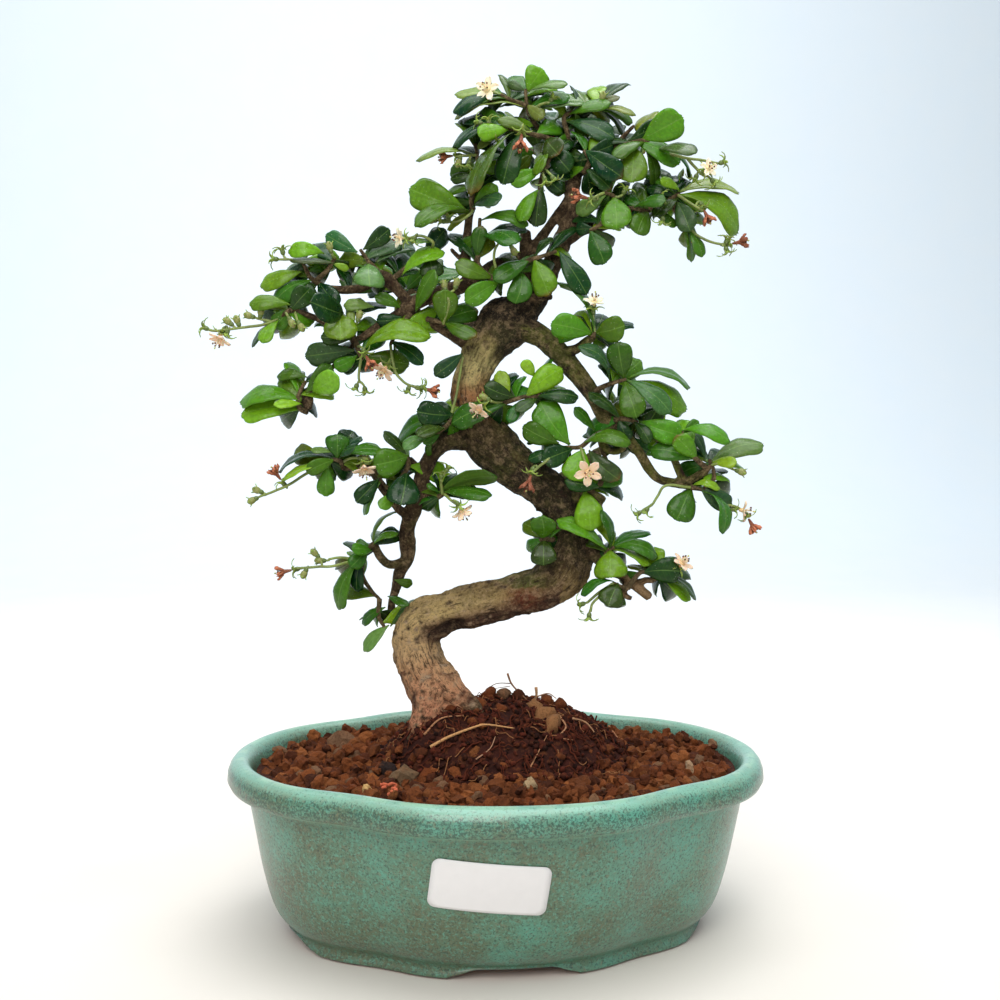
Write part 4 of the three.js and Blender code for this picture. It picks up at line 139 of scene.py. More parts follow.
BRANCHES: tuple[tuple[LimbPoint, ...], ...] = (
    ((4, 219, 6.5, 2), (8, 222, 6, 2), (14, 230, 4.5, 2), (17.5, 237, 3.4, 1), (20, 243, 3.8, 1),
     (23, 250, 3.4, 0), (25.5, 256, 2.8, 0), (25, 264, 2.6, 0), (26, 272, 2.3, 1), (22, 279, 1.6, 1),
     (15, 284, 1.2, 0)),
    ((22, 247, 3, 0), (24, 249, 3.4, 0), (30, 251.5, 2.6, -1), (37, 252.5, 1.9, -2), (44, 254.5, 1.8, -3),
     (49, 257, 1.7, -3), (54, 259, 1.4, -4), (57.5, 259.5, 1.1, -4)),
    ((25.5, 270, 2, 1), (31, 274, 1.6, 0), (36, 278, 1.3, -1), (40, 281, 1, -2), (47, 288, 0.8, -4)),
    ((14, 229, 3.2, 2), (10, 235, 2.4, 1), (8.5, 241, 2.2, 1), (8.5, 250, 1.9, 1)),
    ((9, 240, 1.8, 1), (10.8, 243, 1.9, 0), (16.3, 251, 1.7, 0), (21.9, 259, 1.6, 0),
     (24.5, 263.5, 1.4, 0)),
    ((9, 224.5, 2.4, 0), (13, 226.5, 1.4, -4), (18, 226.5, 1.1, -7)),
    ((-11, 232, 1.9, -1), (-13, 238, 1.9, -2), (-12, 254, 1.5, -2), (-10.5, 258, 1.1, -2)),
    ((-13, 239, 1.2, -2), (-15.5, 240.5, 1, -3), (-18.5, 243.5, 0.8, -3)),
    ((10, 232, 3.4, 2), (5, 239, 3.4, 1), (-2, 237, 3, 0), (-10, 232, 2.8, -2), (-20, 228.5, 2.6, -4),
     (-27, 226, 2.6, -6), (-33, 223, 2.6, -8), (-37, 220, 2, -8), (-42, 217.5, 1.6, -8),
     (-47, 214, 1.5, -9), (-52, 210.5, 1.4, -9), (-55, 212, 1.3, -9), (-64, 217, 1.2, -10),
     (-70, 219.5, 1.1, -11), (-75, 221, 1, -12)),
    ((-32, 223, 2.2, -8), (-37, 228, 1.9, -8), (-41, 233, 1.9, -9), (-44, 234.5, 1.5, -9)),
    ((-38, 229, 1.7, -8), (-44, 232, 1.5, -8), (-50, 229.5, 1.6, -9), (-56, 228.5, 1.6, -9),
     (-63, 229, 1.4, -10), (-66, 230, 1.2, -10)),
    ((-8, 208, 3.4, 1), (-9.5, 209, 3.2, 0), (-16, 212.5, 2.8, -2), (-22, 215.5, 2.2, -4),
     (-29, 218.5, 1.2, -6), (-33, 219.5, 0.9, -7)),
    ((-51, 211, 1.1, -9), (-57, 205, 0.9, -9), (-61, 200.5, 0.9, -9), (-65, 196, 0.9, -10),
     (-69, 192.5, 1.4, -10), (-70, 189, 2.3, -10), (-70, 185.5, 1.8, -10)),
    ((-7, 176, 4, 0), (-12, 175, 4.4, -2), (-19, 174.5, 3.6, -4), (-24.5, 169.5, 2.9, -5),
     (-28, 162, 2.8, -5), (-29, 156, 2.8, -4), (-31.5, 149, 3, -2), (-33.5, 143, 2.8, 0),
     (-33.5, 137, 3.1, 2), (-33.5, 132, 2.6, 4), (-36, 127, 2.2, 6), (-37.5, 121, 1.7, 8),
     (-39, 116, 1.4, 10), (-39, 112, 1.6, 11), (-37.7, 108.5, 1.1, 12)),
    ((-32, 146, 1.7, -1), (-37, 150, 1.7, -3), (-40, 154, 1.6, -4), (-43, 158, 1.6, -5),
     (-46, 163, 1.6, -6), (-52, 165, 1.7, -7), (-57.5, 165.5, 2.2, -8), (-59.5, 165.8, 1.4, -8)),
    ((-28, 162, 2, -5), (-33, 168, 1.2, -7)),
    ((-29, 155.5, 1.8, -4), (-22.5, 154, 1.5, -7)),
    ((-33.5, 131, 1.8, 3), (-40, 129.5, 1.6, 0), (-44, 133.5, 1.5, -2), (-45.5, 137, 1.4, -3)),
    ((0, 212, 5.5, 1), (4, 214.5, 5.2, 0), (10, 214.5, 4.3, -2), (16, 211.5, 3.8, -3),
     (21.5, 206, 3.6, -4), (26.5, 200, 3.4, -5), (30.5, 195, 3.2, -6), (34.3, 189.8, 3.1, -7),
     (38, 183.5, 3.1, -8), (42, 179, 2.6, -9), (46.5, 175, 2.1, -9), (50, 171, 1.9, -10),
     (53.5, 165.5, 1.8, -10), (57, 161.5, 1.7, -11), (62, 160, 1.8, -11), (66, 159.5, 1.8, -12),
     (69, 158.5, 1.2, -12)),
    ((20, 206.5, 2.2, -4), (27, 208, 1.7, -8), (31, 211, 1.6, -10), (33.5, 212.5, 1.2, -11)),
    ((40, 180, 1.8, -9), (37, 175, 1.5, -11), (39, 171.5, 1.4, -12), (43, 171.5, 1.2, -12),
     (45, 173, 1, -12)),
    ((66.5, 160, 1.5, -12), (63, 168, 1.3, -13), (59.5, 173.5, 1.3, -13), (56.5, 176, 1, -13)),
    ((66.5, 159.5, 1.4, -12), (72, 163, 1.5, -13), (74.5, 164.5, 1.5, -13)),
    ((25, 136, 3, -5), (27, 138, 2.6, -7), (34, 134, 2.4, -9), (38, 130.5, 2.3, -11), (43, 127, 2.1, -12),
     (47, 124.5, 2, -13), (52, 120.5, 1.7, -14), (54.5, 118.5, 1.6, -14)),
    ((47, 124.5, 1.6, -13), (45, 119.5, 1.3, -14), (48, 118, 1, -15)),
    ((49, 123, 1.5, -13), (53, 124.6, 1.3, -14), (56, 124.5, 1.1, -15)),
    ((22, 152, 2.6, -4), (27, 154.5, 2, -7), (32, 155, 1.8, -9), (35, 155, 1.7, -10),
     (38, 153.5, 1.2, -11)),
    ((35, 154.5, 1.1, -10), (37, 149, 0.9, -11), (38, 145.5, 0.8, -11)),
    ((-5, 210, 4, 4), (-10, 215, 3, 12), (-20, 222, 2.3, 25), (-30, 227, 1.6, 38)),
    ((25, 262, 1.9, 2), (21, 268, 1.7, 12), (17, 273, 1.5, 24), (14, 277, 1.2, 36)),
    ((16, 157, 3.2, 1), (24, 162, 2.4, 12), (34, 170, 2, 24), (43, 175, 1.4, 37)),
)

SPRAYS: tuple[Spray, ...] = (
    Spray(
        "spray_left_upper_tip", -10, 2,
        twigs=(((-65, 230), (-69, 233), (-71, 237), (-73, 239.5)),
               ((-67, 231.5), (-62.5, 236), (-60, 240))),
        leaves=((-68, 232, -83.5, 221, 6, "mid", 0.2), (-72, 235, -87.5, 230, 6, "bright"),
                (-71, 238, -78.5, 231, 3, "grey"), (-60, 238, -77, 239.5, 2, "grey", 0.05),
                (-64, 241.5, -77, 242, 5, "bright", 0.25, 3), (-66, 231, -60, 222, 7, "dark", 0.1, 4),
                (-70, 232, -70, 223, 7, "dark", 0.1, 5), (-61, 238, -55, 236, 2.5, "fresh"),
                (-66, 231, -74, 226, 6, "dark", 0.1, -2)),
        stalks=((4, (-73, 238.5), (-77, 239.3)),),
        cups=((-82, 239.4, 4, -1, 0.1), (-79, 242.5, 4, -0.2, 1)),
        buds=((-61.8, 243.2, 2, -0.3, 1),),
    ),
    Spray(
        "spray_left_far_tip", -12, 1,
        twigs=(((-74.5, 221), (-76.5, 221, 2.5), (-78, 220, 2), (-80, 218, 1)),),
        leaves=((-75, 222, -82, 214.5, 6, "mid"), (-76, 223, -91, 223.5, 5, "mid", 0.14),
                (-80, 218, -90.5, 208.3, 1.4, "dark"), (-80, 217.5, -86.5, 210, 3, "bright")),
        stalks=((3, (-79, 218), (-85, 216), (-95, 214.5), (-103, 213.5), (-106.5, 214.2)),
                (3, (-83, 217), (-87.5, 218))),
        cups=((-107, 214.6, 3, -1, 0.5), (-99, 212.6, 3, -0.4, -1)),
        buds=((-98, 216.4, 3, -0.9, 0.7), (-95, 216.6, 3, -0.4, 1), (-90.3, 218.8, 3, -1, 0.3),
              (-86.8, 219.6, 3, 0.1, 1), (-76, 217.3, 5, 0.6, -1), (-72.6, 215.8, 5, 0.6, -1)),
        blooms=((-101.8, 210.3, 3, 4.4, -0.5, -1, 0.4, "white"),),
    ),
    Spray(
        "spray_left_pad", -9, 3,
        twigs=(((-44, 234.5), (-48, 239), (-51, 243)), ((-40, 232), (-35, 236), (-30, 239.5), (-25, 244))),
        leaves=((-52, 242, -63.5, 248.3, 6, "pale"), (-50, 243, -40.5, 250.5, 6, "dark"),
                (-50, 239, -36, 246, 5, "grey"), (-45, 238.5, -31.5, 245, 5, "grey"),
                (-48, 238, -47.5, 230.3, 10, "pale", 0.09, 11), (-42, 232, -54, 237.5, 4, "mid", 0.2),
                (-36, 234, -21, 243, 5, "bright", 0.15), (-28, 240, -20, 251, 7, "grey"),
                (-26, 241, -25, 233, 8, "dark", 0.09, 7), (-25, 245.5, -31, 245.7, 1.6, "pale"),
                (-36, 234, -30, 235.5, 1.4, "dark")),
        stalks=((3, (-25, 246), (-29, 248), (-34, 247.2)),),
        cups=((-31.8, 246.6, 4, -0.4, -1),),
        blooms=((-37.2, 247.3, 4, 3.8, -1, 0.1, 0.5, "white"),),
    ),
    Spray(
        "spray_left_shelf", -11, 2,
        twigs=(((-52, 208.5), (-54, 214), (-57, 219.5)), ((-52, 208.5), (-51, 205.5), (-50, 203.5))),
        leaves=((-58, 220, -58, 211.5, 11, "bright", 0.09, 10), (-57, 220, -68, 224, 9, "dark"),
                (-46, 222.5, -57, 223, 4, "pale"), (-54, 222, -54.5, 216.5, 3, "pale"),
                (-51, 205.5, -25.5, 212.5, 6, "bright", 0.2), (-53, 207, -71, 204.5, 8, "grey"),
                (-52, 205, -60, 200.5, 5, "bright"), (-50, 204.5, -33, 202, 8, "mid"),
                (-54, 211, -65, 211.5, 5, "dark", 0.1, -4), (-54, 215, -61, 208.5, 5, "dark", 0.1, -5)),
        stalks=((2, (-51, 204), (-51.3, 198), (-51, 195.5)),),
        cups=((-52.4, 193.4, 2, -0.4, -1), (-49, 192.3, 2, 0.2, -1)),
        buds=((-51.5, 218.6, 5, 0.3, 1),),
        blooms=((-47.6, 202.6, 7, 3.2, 0.5, -1, 0.5, "wilted"),),
    ),
    Spray(
        "spray_left_outlier", -10, 2,
        twigs=(((-70, 184.5), (-72.6, 186, 2.5), (-73.2, 189.5, 3), (-72, 193, 3), (-70.5, 195.5, 2)),),
        leaves=((-70, 197, -81, 197.5, 4, "mid", 0.15), (-72, 189, -79, 198, 7, "mid", 0.09, -3),
                (-70.5, 191.5, -61, 201.5, 6, "mid"), (-68, 192, -59, 197, 8, "fresh"),
                (-72, 188.5, -94.5, 188.5, 6, "bright", 0.2, -3),
                (-72, 187.5, -82, 187, 3, "fresh", 0.1, 6), (-71.5, 185.5, -94, 183, 7.5, "bright")),
    ),
    Spray(
        "spray_left_inner", -8, 1,
        twigs=(((-27, 218.4), (-23, 217.5), (-20.5, 216)), ((-33, 220, 1), (-38, 213, 4), (-40, 209, 5))),
        leaves=((-21, 216.5, -20.5, 229, 8.5, "mid"), (-20.5, 217, -9, 212, 5, "mid", 0.1, 7),
                (-40, 210, -28, 202.5, 5, "dark", 0.1, 2), (-31, 221, -24, 236, 5.5, "mid"),
                (-36, 222, -45.5, 226.5, 4, "mid", 0.1, 5), (-36, 219, -45, 217.5, 5, "dark", 0.1, 6)),
        stalks=((7, (-39.5, 208), (-38.5, 200), (-36, 196.5), (-33, 194.5), (-29, 193.6)),
                (5, (-20.5, 217), (-19, 224), (-20, 227.5))),
        cups=((-33.6, 192.6, 7, -0.3, -1), (-28, 193.6, 7, 1, -0.1)),
        buds=((-20.6, 229.8, 5, -0.2, 1), (-16.5, 230.6, 5, 0.3, 1)),
        blooms=((-42.6, 199.4, 8, 4.6, -0.6, -0.8, 0.5, "white"),
                (-25, 192.6, 7, 3.4, 1, -0.2, 0.2, "wilted")),
    ),
    Spray(
        "spray_waist_left", -8, 1,
        twigs=(((-15.5, 181, 0), (-18, 181.5, 2), (-20, 179.5, 3), (-24, 176.5, 3), (-26, 176, 3)),),
        leaves=((-17, 184, -30.5, 185, 8.5, "dark"), (-19, 181.5, -38, 175.5, 6, "mid", 0.14),
                (-20, 179, -30, 176.5, 4, "dark", 0.1, 5), (-22, 177, -28, 173.5, 3, "mid"),
                (-26, 176, -35, 171.7, 4, "pale", 0.1, 5), (-25, 175, -26.5, 169, 2.4, "mid"),
                (-14, 206, -24, 198, 5.5, "grey", 0.1, 2)),
        stalks=((1, (-18, 183), (-16, 192), (-13.8, 205)),),
    ),
    Spray(
        "spray_hanging_outer", -9, 1,
        twigs=(((-57, 165.5), (-58, 167, 3.6), (-60.5, 167.5, 3.6), (-62, 166.5, 3)),),
        leaves=((-59, 168, -59, 176.5, 8, "mid", 0.09, 2), (-58, 168, -50.5, 176, 3, "grey"),
                (-58, 168.5, -52.5, 172, 2.5, "grey", 0.1, 3), (-60, 170, -68.5, 171, 2, "pale"),
                (-61, 168, -80.5, 163.5, 2.5, "grey", 0.16), (-60, 167.5, -70, 163, 5, "mid", 0.1, 5),
                (-63, 166, -79, 160.5, 2.5, "fresh", 0.1, 4), (-62.5, 165, -63, 154, 6, "fresh"),
                (-57, 169.5, -43, 171.5, 4, "mid")),
        stalks=((4, (-64, 165), (-70.5, 162), (-76, 158.5), (-80, 156.5), (-85, 154.5)),
                (4, (-58, 166), (-54, 168), (-51, 168))),
        buds=((-87.2, 155.8, 4, -1, 0.4), (-89, 152.8, 4, -1, -0.5), (-50, 168, 4, 1, -0.1)),
        blooms=((-49, 163.6, 6, 4.4, 0.2, -1, 0.4, "white"),
                (-81.2, 162.4, 4, 3.2, -0.6, 0.8, 0.2, "wilted")),
    ),
    Spray(
        "spray_hanging_inner", -9, 1,
        twigs=(
            ((-33.5, 168.5), (-33.5, 165), (-36, 161), (-39, 157.5), (-40.5, 157), (-43.5, 160.5, 1)),
        ),
        leaves=((-33, 169, -46, 165.5, 10, "mid", 0.1, 5), (-34, 169, -42, 178, 4, "dark"),
                (-44, 160.5, -52, 152, 6, "dark", 0.1, 3), (-43, 160, -49.5, 147.5, 3, "mid"),
                (-34, 163, -36, 151, 11, "dark", 0.1, 8), (-38, 155, -43.5, 150, 4.5, "fresh", 0.1, 6)),
    ),
    Spray(
        "spray_trunk_sprout", -9, 1,
        twigs=(((-22.5, 154.2), (-20, 155.5)),),
        leaves=((-22, 156, -1, 162, 6, "under", 0.1, 4), (-20.5, 156, -3, 155, 4.5, "mid", 0.08, 7),
                (-22, 156, -26.5, 159, 2, "mid"), (-22.5, 156, -24, 163, 1.4, "dark")),
        stalks=((5, (-20, 154.6), (-17, 152.5), (-15.2, 151.2)), (3, (-21.5, 156), (-21.4, 160.5))),
        cups=((-21.4, 162.4, 3, -0.1, 1), (-19, 164.6, 3, 0.6, 1)),
        blooms=((-13.4, 148.6, 6, 4.2, 0.5, -0.8, -0.5, "white"),),
    ),
    Spray(
        "spray_low_left", -4, 2,
        twigs=(((-45.5, 137), (-47, 136), (-49, 133), (-52, 131)),
               ((-49, 133, 0), (-50, 126, -3), (-46.5, 120, -6), (-43.5, 117, -7)),
               ((-43.5, 117, -7), (-43.8, 111, -8), (-41.5, 106.5, -9))),
        leaves=((-46, 138, -37.5, 149.5, 2, "mid", 0.2), (-46, 136, -37, 141, 2, "mid", 0.2, 3),
                (-46.5, 135.5, -52, 138, 3, "mid"), (-48, 135.5, -54, 128.5, 5.5, "mid", 0.1, 5),
                (-46.5, 134.5, -53, 135.5, 4, "bright", 0.1, 6), (-52, 130.5, -59, 113, 5.5, "mid"),
                (-50, 131.5, -51.5, 119.5, 5, "dark"), (-38, 124, -31.5, 122.5, 3.4, "mid", 0.1, -3),
                (-40.5, 118, -33, 114.5, 3, "mid", 0.1, 6), (-40, 107.5, -49.5, 98, 5, "pale"),
                (-39.5, 107, -29, 117.5, 4, "grey", 0.1, -7), (-41.3, 114, -50, 108, 4, "mid", 0.1, -4)),
        stalks=((3, (-52, 131.5), (-58, 132), (-62, 131.3)),
                (5, (-52, 130.5), (-60, 129), (-66, 128.5), (-74, 128))),
        buds=((-64.5, 130.8, 3, -1, 0), (-66.5, 133, 3, -0.8, 0.8), (-70.5, 126.6, 5, -0.5, -1)),
        blooms=((-78.6, 126.6, 5, 3.4, -1, -0.2, 0.2, "wilted"),),
    ),
    Spray(
        "spray_trunk_front", -9, 1,
        twigs=(((-4.5, 186.5, -2), (2, 188.5, 2), (8, 190.5, 3), (13, 191, 3), (15, 194, 3)),),
        leaves=((2, 188, -18, 181.5, 7, "mid", 0.12, 3), (5, 190.5, -6, 194.5, 6, "dark", 0.1, 3),
                (7, 189, 3, 181.5, 4, "mid", 0.1, 5), (9, 190.5, 22, 201, 8, "bright"),
                (12, 198, 8, 203.5, 4, "fresh", 0.1, 4), (15, 195, 17, 204.5, 3, "mid"),
                (13, 191, 28, 191.5, 5, "dark", 0.1, 4), (13, 190, 5.5, 185.5, 4, "dark", 0.1, 6),
                (3, 190, -1, 200, 5, "fresh", 0.1, 3)),
        stalks=((5, (1, 188.5), (-3.5, 188.8)),),
        buds=((-5.4, 190, 6, -1, 0.5),),
        blooms=((-8.2, 185.4, 8, 4.2, -0.6, -0.7, 0.6, "white"),),
    ),
    Spray(
        "spray_right_of_trunk", -10, 3,
        twigs=(((37, 178.5, -1), (33, 176, 1), (29, 172.8, 2), (24, 172.5, 2), (20, 172.5, 2)),
               ((34, 156.5, 1), (31.5, 157.5, 1), (36, 158.8, 2)),
               ((36, 158.8, 2), (38.5, 166, 1.5), (36.5, 172, 1.5), (35, 177, 0.3))),
        leaves=((25, 173.5, 14, 189, 10.5, "bright"), (21, 174, 8, 180, 7, "mid", 0.1, 2),
                (26, 172, 15, 167.5, 7.5, "dark", 0.1, 5), (30, 174, 47, 175, 5, "mid", 0.2, 6),
                (30, 172, 26, 161, 9.5, "bright", 0.1, 5), (32, 171.5, 43, 161, 7, "grey", 0.1, 4),
                (34, 178.5, 26.5, 187, 3.5, "mid"), (20, 173.5, 9.5, 174, 2.4, "dark", 0.15, 4),
                (20, 172, 10, 168, 4, "dark", 0.1, 6), (30.5, 157, 33, 142.5, 10, "bright", 0.1, 5),
                (36, 158.5, 23.5, 160.5, 5.5, "dark", 0.12, 3)),
        stalks=((7, (21, 171.5), (17, 168), (14, 165.5), (11.5, 163.2)),),
        blooms=((10.2, 159.4, 8, 3.6, -0.3, -1, 0.3, "wilted"),
                (31.8, 163.4, 15, 4.9, 0.1, -0.3, 1, "white")),
    ),
    Spray(
        "spray_elbow", -11, 1,
        twigs=(((19.5, 139, -3), (16.5, 139.3, 1), (14.5, 138.8, 2)),),
        leaves=((15.5, 139.5, 15, 147.5, 8.5, "mid", 0.1, 6), (16, 139, 16, 129.8, 8.5, "dark", 0.1, 5)),
    ),
    Spray(
        "spray_right_pad", -12, 3,
        twigs=(((34, 193, -3), (39, 195.5, 0), (45, 197.3, 1)),
               ((41, 182.5, 0), (45, 183, 1), (49.5, 181.8, 1))),
        leaves=((44.5, 197.5, 42, 210.5, 8.5, "mid"), (44, 197.5, 35, 207, 3.5, "grey"),
                (39, 196, 28, 209, 4, "grey", 0.2), (44.5, 196.5, 49, 183.5, 8.5, "mid", 0.1, 6),
                (45.5, 197, 62, 186, 6, "pale", 0.1, 4), (46, 196.5, 68, 187, 9, "bright", 0.1, -2),
                (46, 197.8, 68.5, 195.5, 2.5, "mid", 0.16, -4), (50, 182, 65.5, 177, 8, "bright", 0.1, 4),
                (45, 183.5, 51, 188, 3.5, "dark", 0.1, -4), (48, 182, 54, 174.5, 4.5, "dark", 0.1, 5),
                (42.5, 183, 46, 175, 5, "dark", 0.1, 4)),
    ),
    Spray(
        "spray_right_end", -13, 3,
        twigs=(((69, 158.4), (71, 158, 3), (73.5, 157.5, 3)),
               ((74.5, 164.5, 1), (76, 166.5, 1), (75.5, 168.5, 1)),
               ((74.5, 165.5, 1), (70, 169.5, 3), (66.5, 175, 2), (65.5, 178.5, 2)),
               ((73.5, 157.5, 3), (77, 161.5, 2.5), (77, 165.5, 2), (76, 166.5, 1))),
        leaves=((69.5, 159, 79.5, 158.5, 2.5, "fresh", 0.25, 4),
                (72.5, 160, 82.5, 161.5, 3.5, "bright", 0.15), (72, 159, 84, 151.5, 6.5, "grey"),
                (73, 157, 81.2, 142, 3, "mid", 0.25), (69, 158, 64, 146.2, 9.5, "mid", 0.1, 5),
                (66, 178, 71.5, 182.5, 3.5, "mid"), (65.8, 179, 83, 175.8, 5, "bright", 0.2),
                (76, 167.5, 95, 175, 7, "pale"), (76.5, 167.5, 85.5, 167.5, 3.6, "fresh", 0.1, 4),
                (71, 169, 63, 177, 6.5, "bright", 0.1, 5), (74, 168.5, 67, 180, 3.4, "dark", 0.1, -5),
                (71, 168.5, 54, 172.5, 6.5, "mid", 0.1, 7)),
        stalks=((3, (73, 157), (78, 154), (83.5, 152)),
                (5, (69.5, 158.3), (60, 159), (57, 155), (55, 152)),
                (4, (76.3, 166.6), (79, 167), (84, 165.2))),
        cups=((52.8, 149.6, 5, -0.6, -1), (49.8, 148.6, 5, -1, -0.7)),
        buds=((86.4, 164.4, 4, 1, -0.3),),
        blooms=((88.6, 150.2, 3, 4, 1, -0.1, 0.2, "white"), (91.6, 144.6, 3, 3.2, 0.6, -1, 0.2, "wilted")),
    ),
    Spray(
        "spray_low_right", -13, 1,
        twigs=(((38, 132.5), (39.5, 135.5), (41.5, 136.5)),),
        leaves=((39, 135, 21.5, 147.5, 4.5, "bright", 0.1, 4), (39.5, 135.5, 37, 150, 3, "mid", 0.2),
                (40, 135.5, 40.5, 126, 11, "bright", 0.1, 9), (41.5, 136.5, 57.5, 133.5, 5, "mid", 0.25),
                (41, 135.5, 54.5, 130.8, 3, "bright", 0.1, 5)),
    ),
    Spray(
        "spray_low_right_tip", -15, 1,
        twigs=(((55.5, 124.8, 0), (58, 125.8, 1), (60, 125, 1)),
               ((46.5, 121.5, 2), (43.5, 122.5, 3), (41.5, 123.5, 3)),
               ((46.5, 121.5, 2), (51, 127.4, 2), (55.5, 126.4, 1), (58, 125.8, 1))),
        leaves=((52, 127.5, 65.5, 128, 8.5, "dark", 0.1, 4), (60, 124.5, 69.5, 117.5, 4, "bright"),
                (60, 126.5, 72, 118.5, 2.4, "grey", 0.15, -2), (41.5, 124, 29.5, 119.5, 2.5, "mid", 0.22),
                (43, 123.5, 39.5, 115, 8.5, "dark", 0.1, 5)),
        stalks=((4, (40, 122.5), (35.5, 119.5), (32.3, 116.6)), (5, (42, 122), (34.5, 117), (33.2, 113))),
        cups=((29.6, 115.6, 4, -1, -0.3), (32.6, 111, 5, -0.1, -1)),
        blooms=((66.4, 131.2, 5, 4.2, 0.6, 0.7, 0.5, "white"),),
    ),
    Spray(
        "spray_fork_front", -4, 3,
        twigs=(((5, 233.5, 1), (5.5, 236, 4), (9.5, 239.5, 5), (14, 241, 5), (19.5, 243, 4)),
               ((5.5, 236, 4), (1, 233, 6), (-2.5, 232, 6)),
               ((-11.5, 238, 1), (-9, 239.5, 4), (-8.5, 247, 4), (-8, 254.5, 4)),
               ((-2.5, 232, 6), (-7, 236, 5), (-9, 239.5, 4))),
        leaves=((10, 239.5, -3, 232.5, 6, "mid", 0.1, 5), (11.5, 240, 17, 227, 8.5, "bright", 0.1, 3),
                (6.5, 236, 5, 224.5, 8, "mid", 0.1, 5), (-1, 232, -13, 224.5, 7, "bright", 0.1, 4),
                (-3, 233, -17, 238.5, 6, "mid", 0.1, 2), (20.5, 243, 31, 228, 7, "dark", 0.1, 4),
                (12, 241, 17.5, 248.5, 3, "dark", 0.1, -3), (-9, 240, -7.5, 252, 5, "mid", 0.1, 4),
                (-8.5, 240, -3.5, 247.5, 5, "mid", 0.1, 3), (-8.5, 245.8, 9, 251, 3, "grey", 0.1, -3),
                (-8, 253.5, 9.5, 252.5, 3.5, "mid", 0.2, 2), (-8, 248, 5, 246, 4.5, "mid", 0.1, 6)),
        stalks=((6, (-1, 233.5), (-3, 241), (-1, 245.8), (2, 245.6)),),
        buds=((3.8, 243.6, 6, 0.6, -1),),
    ),
    Spray(
        "spray_fork_right", -12, 1,
        twigs=(((33, 212.3), (33.8, 214)),),
        leaves=((33.5, 214, 20.5, 232.5, 3, "mid", 0.2), (32.5, 213.5, 18, 217, 8.5, "bright", 0.09, 6),
                (34, 214, 44, 216.5, 8.5, "mid", 0.09, 7), (34.5, 213, 41, 209.8, 2, "dark")),
        blooms=((33.4, 225.4, 2, 4, 0.1, 1, 0.5, "white"),),
    ),
    Spray(
        "spray_crown_left", -4, 2,
        twigs=(((-10.5, 257.5), (-11, 262, 1), (-9.5, 270, 1), (-9.2, 277, 1), (-10, 281, 1)),),
        leaves=((-12, 256.5, -34, 265, 11, "bright", 0.12),
                (-11.5, 257, -31.5, 252.5, 3.5, "mid", 0.16, 4), (-11, 256, -20, 250.5, 3, "under"),
                (-10, 277, -31.3, 276, 1.6, "pale", 0.15), (-10, 278.5, -4.5, 283, 3, "pale"),
                (-9.5, 264, -0.8, 270.5, 2.5, "dark"), (-10.5, 259.5, -2, 266, 5, "bright", 0.1, 4),
                (-11, 258, -1.5, 262.5, 2, "grey", 0.1, 6), (-10.2, 274, -19, 269.5, 5, "mid", 0.1, -5)),
        stalks=((3, (-11.5, 256), (-15, 253.6), (-20, 252.9)),
                (4, (-9.8, 277), (-14, 276.8), (-17.2, 276.6))),
        cups=((-21.8, 253.4, 3, -1, 0.2), (-19.3, 254.6, 3, 0.1, 1), (-12.2, 273.6, 4, -0.2, -1)),
        buds=((-24.9, 253.6, 3, -1, 0), (-15.6, 275, 4, -0.3, -1)),
        blooms=((-20.6, 276.4, 4, 3, -1, -0.1, 0.2, "wilted"),),
    ),
    Spray(
        "spray_apex", 0, 3,
        twigs=(((15, 284), (11, 289), (8.5, 294.5), (8, 300.5)),
               ((8.5, 294.5), (3, 296.5, 1), (-1, 298.5, 2))),
        leaves=((8.5, 300, 14, 308, 9, "bright", 0.08, 1), (8, 300, 1.5, 303, 3, "grey"),
                (2.5, 297.5, -17.5, 299.5, 3, "pale", 0.06), (-1, 298.5, -18, 292, 3, "dark", 0.15),
                (1, 297, -10, 296, 2, "mid", 0.1, 4), (8, 294, -17.5, 290.3, 3, "pale", 0.15),
                (8.5, 295, 14.5, 290.5, 4.5, "pale", 0.1, 5), (8.3, 298, 19, 302.5, 4, "bright"),
                (8.3, 299, 22.5, 303.5, 1.4, "pale", 0.1, -4), (9, 293.5, 23.5, 299, 4, "mid", 0.1, 3),
                (9.5, 292, 29.5, 296.5, 4.5, "pale", 0.1, -2)),
        stalks=((4, (9, 292), (13, 295), (16, 296)),),
        cups=((17.6, 297.4, 4, 0.8, 1),),
        blooms=((-6, 300.6, 6, 4.8, -0.4, 0.4, 0.9, "white"),),
    ),
    Spray(
        "spray_crown_centre", -5, 1,
        twigs=(((17, 283, -3), (11, 284.5, 2), (5, 286, 3), (1, 286.5, 3)),
               ((17, 283, -3), (17, 277, 3), (14, 270, 4), (13, 264, 4))),
        leaves=((4, 285.5, -13.2, 264.5, 3, "olive"), (2, 285.5, -9, 272, 1.6, "dark", 0.1, 3),
                (2, 287.5, -18.5, 281, 2.5, "dark", 0.16), (10, 285.5, -2, 290, 4, "olive", 0.1, 2),
                (2, 286, -9, 284.5, 5, "bright", 0.1, 6), (6, 285, 0, 266.5, 8, "dark", 0.1, 5),
                (15.5, 283, 20, 277.5, 8, "dark", 0.1, 8), (15, 281, 24, 271.5, 8, "dark", 0.1, 4),
                (16.5, 278, 12, 270.5, 3, "mid", 0.1, 7), (13, 265, 6, 254, 5, "bright", 0.1, 3),
                (14, 266.5, 12, 251.5, 7, "dark"), (14, 271, 21, 264.5, 5, "dark", 0.1, 5),
                (14, 272, 3, 267, 5, "bright", 0.1, 7)),
        stalks=((6, (1.5, 286), (-3, 287)),),
        cups=((-5.2, 289.3, 6, -0.2, 1), (-9, 288.6, 6, -1, 0.2), (-3, 283.6, 6, 0, -1),
              (15.2, 268, 9, 0.2, -1), (18.2, 268.6, 9, 0.5, -1)),
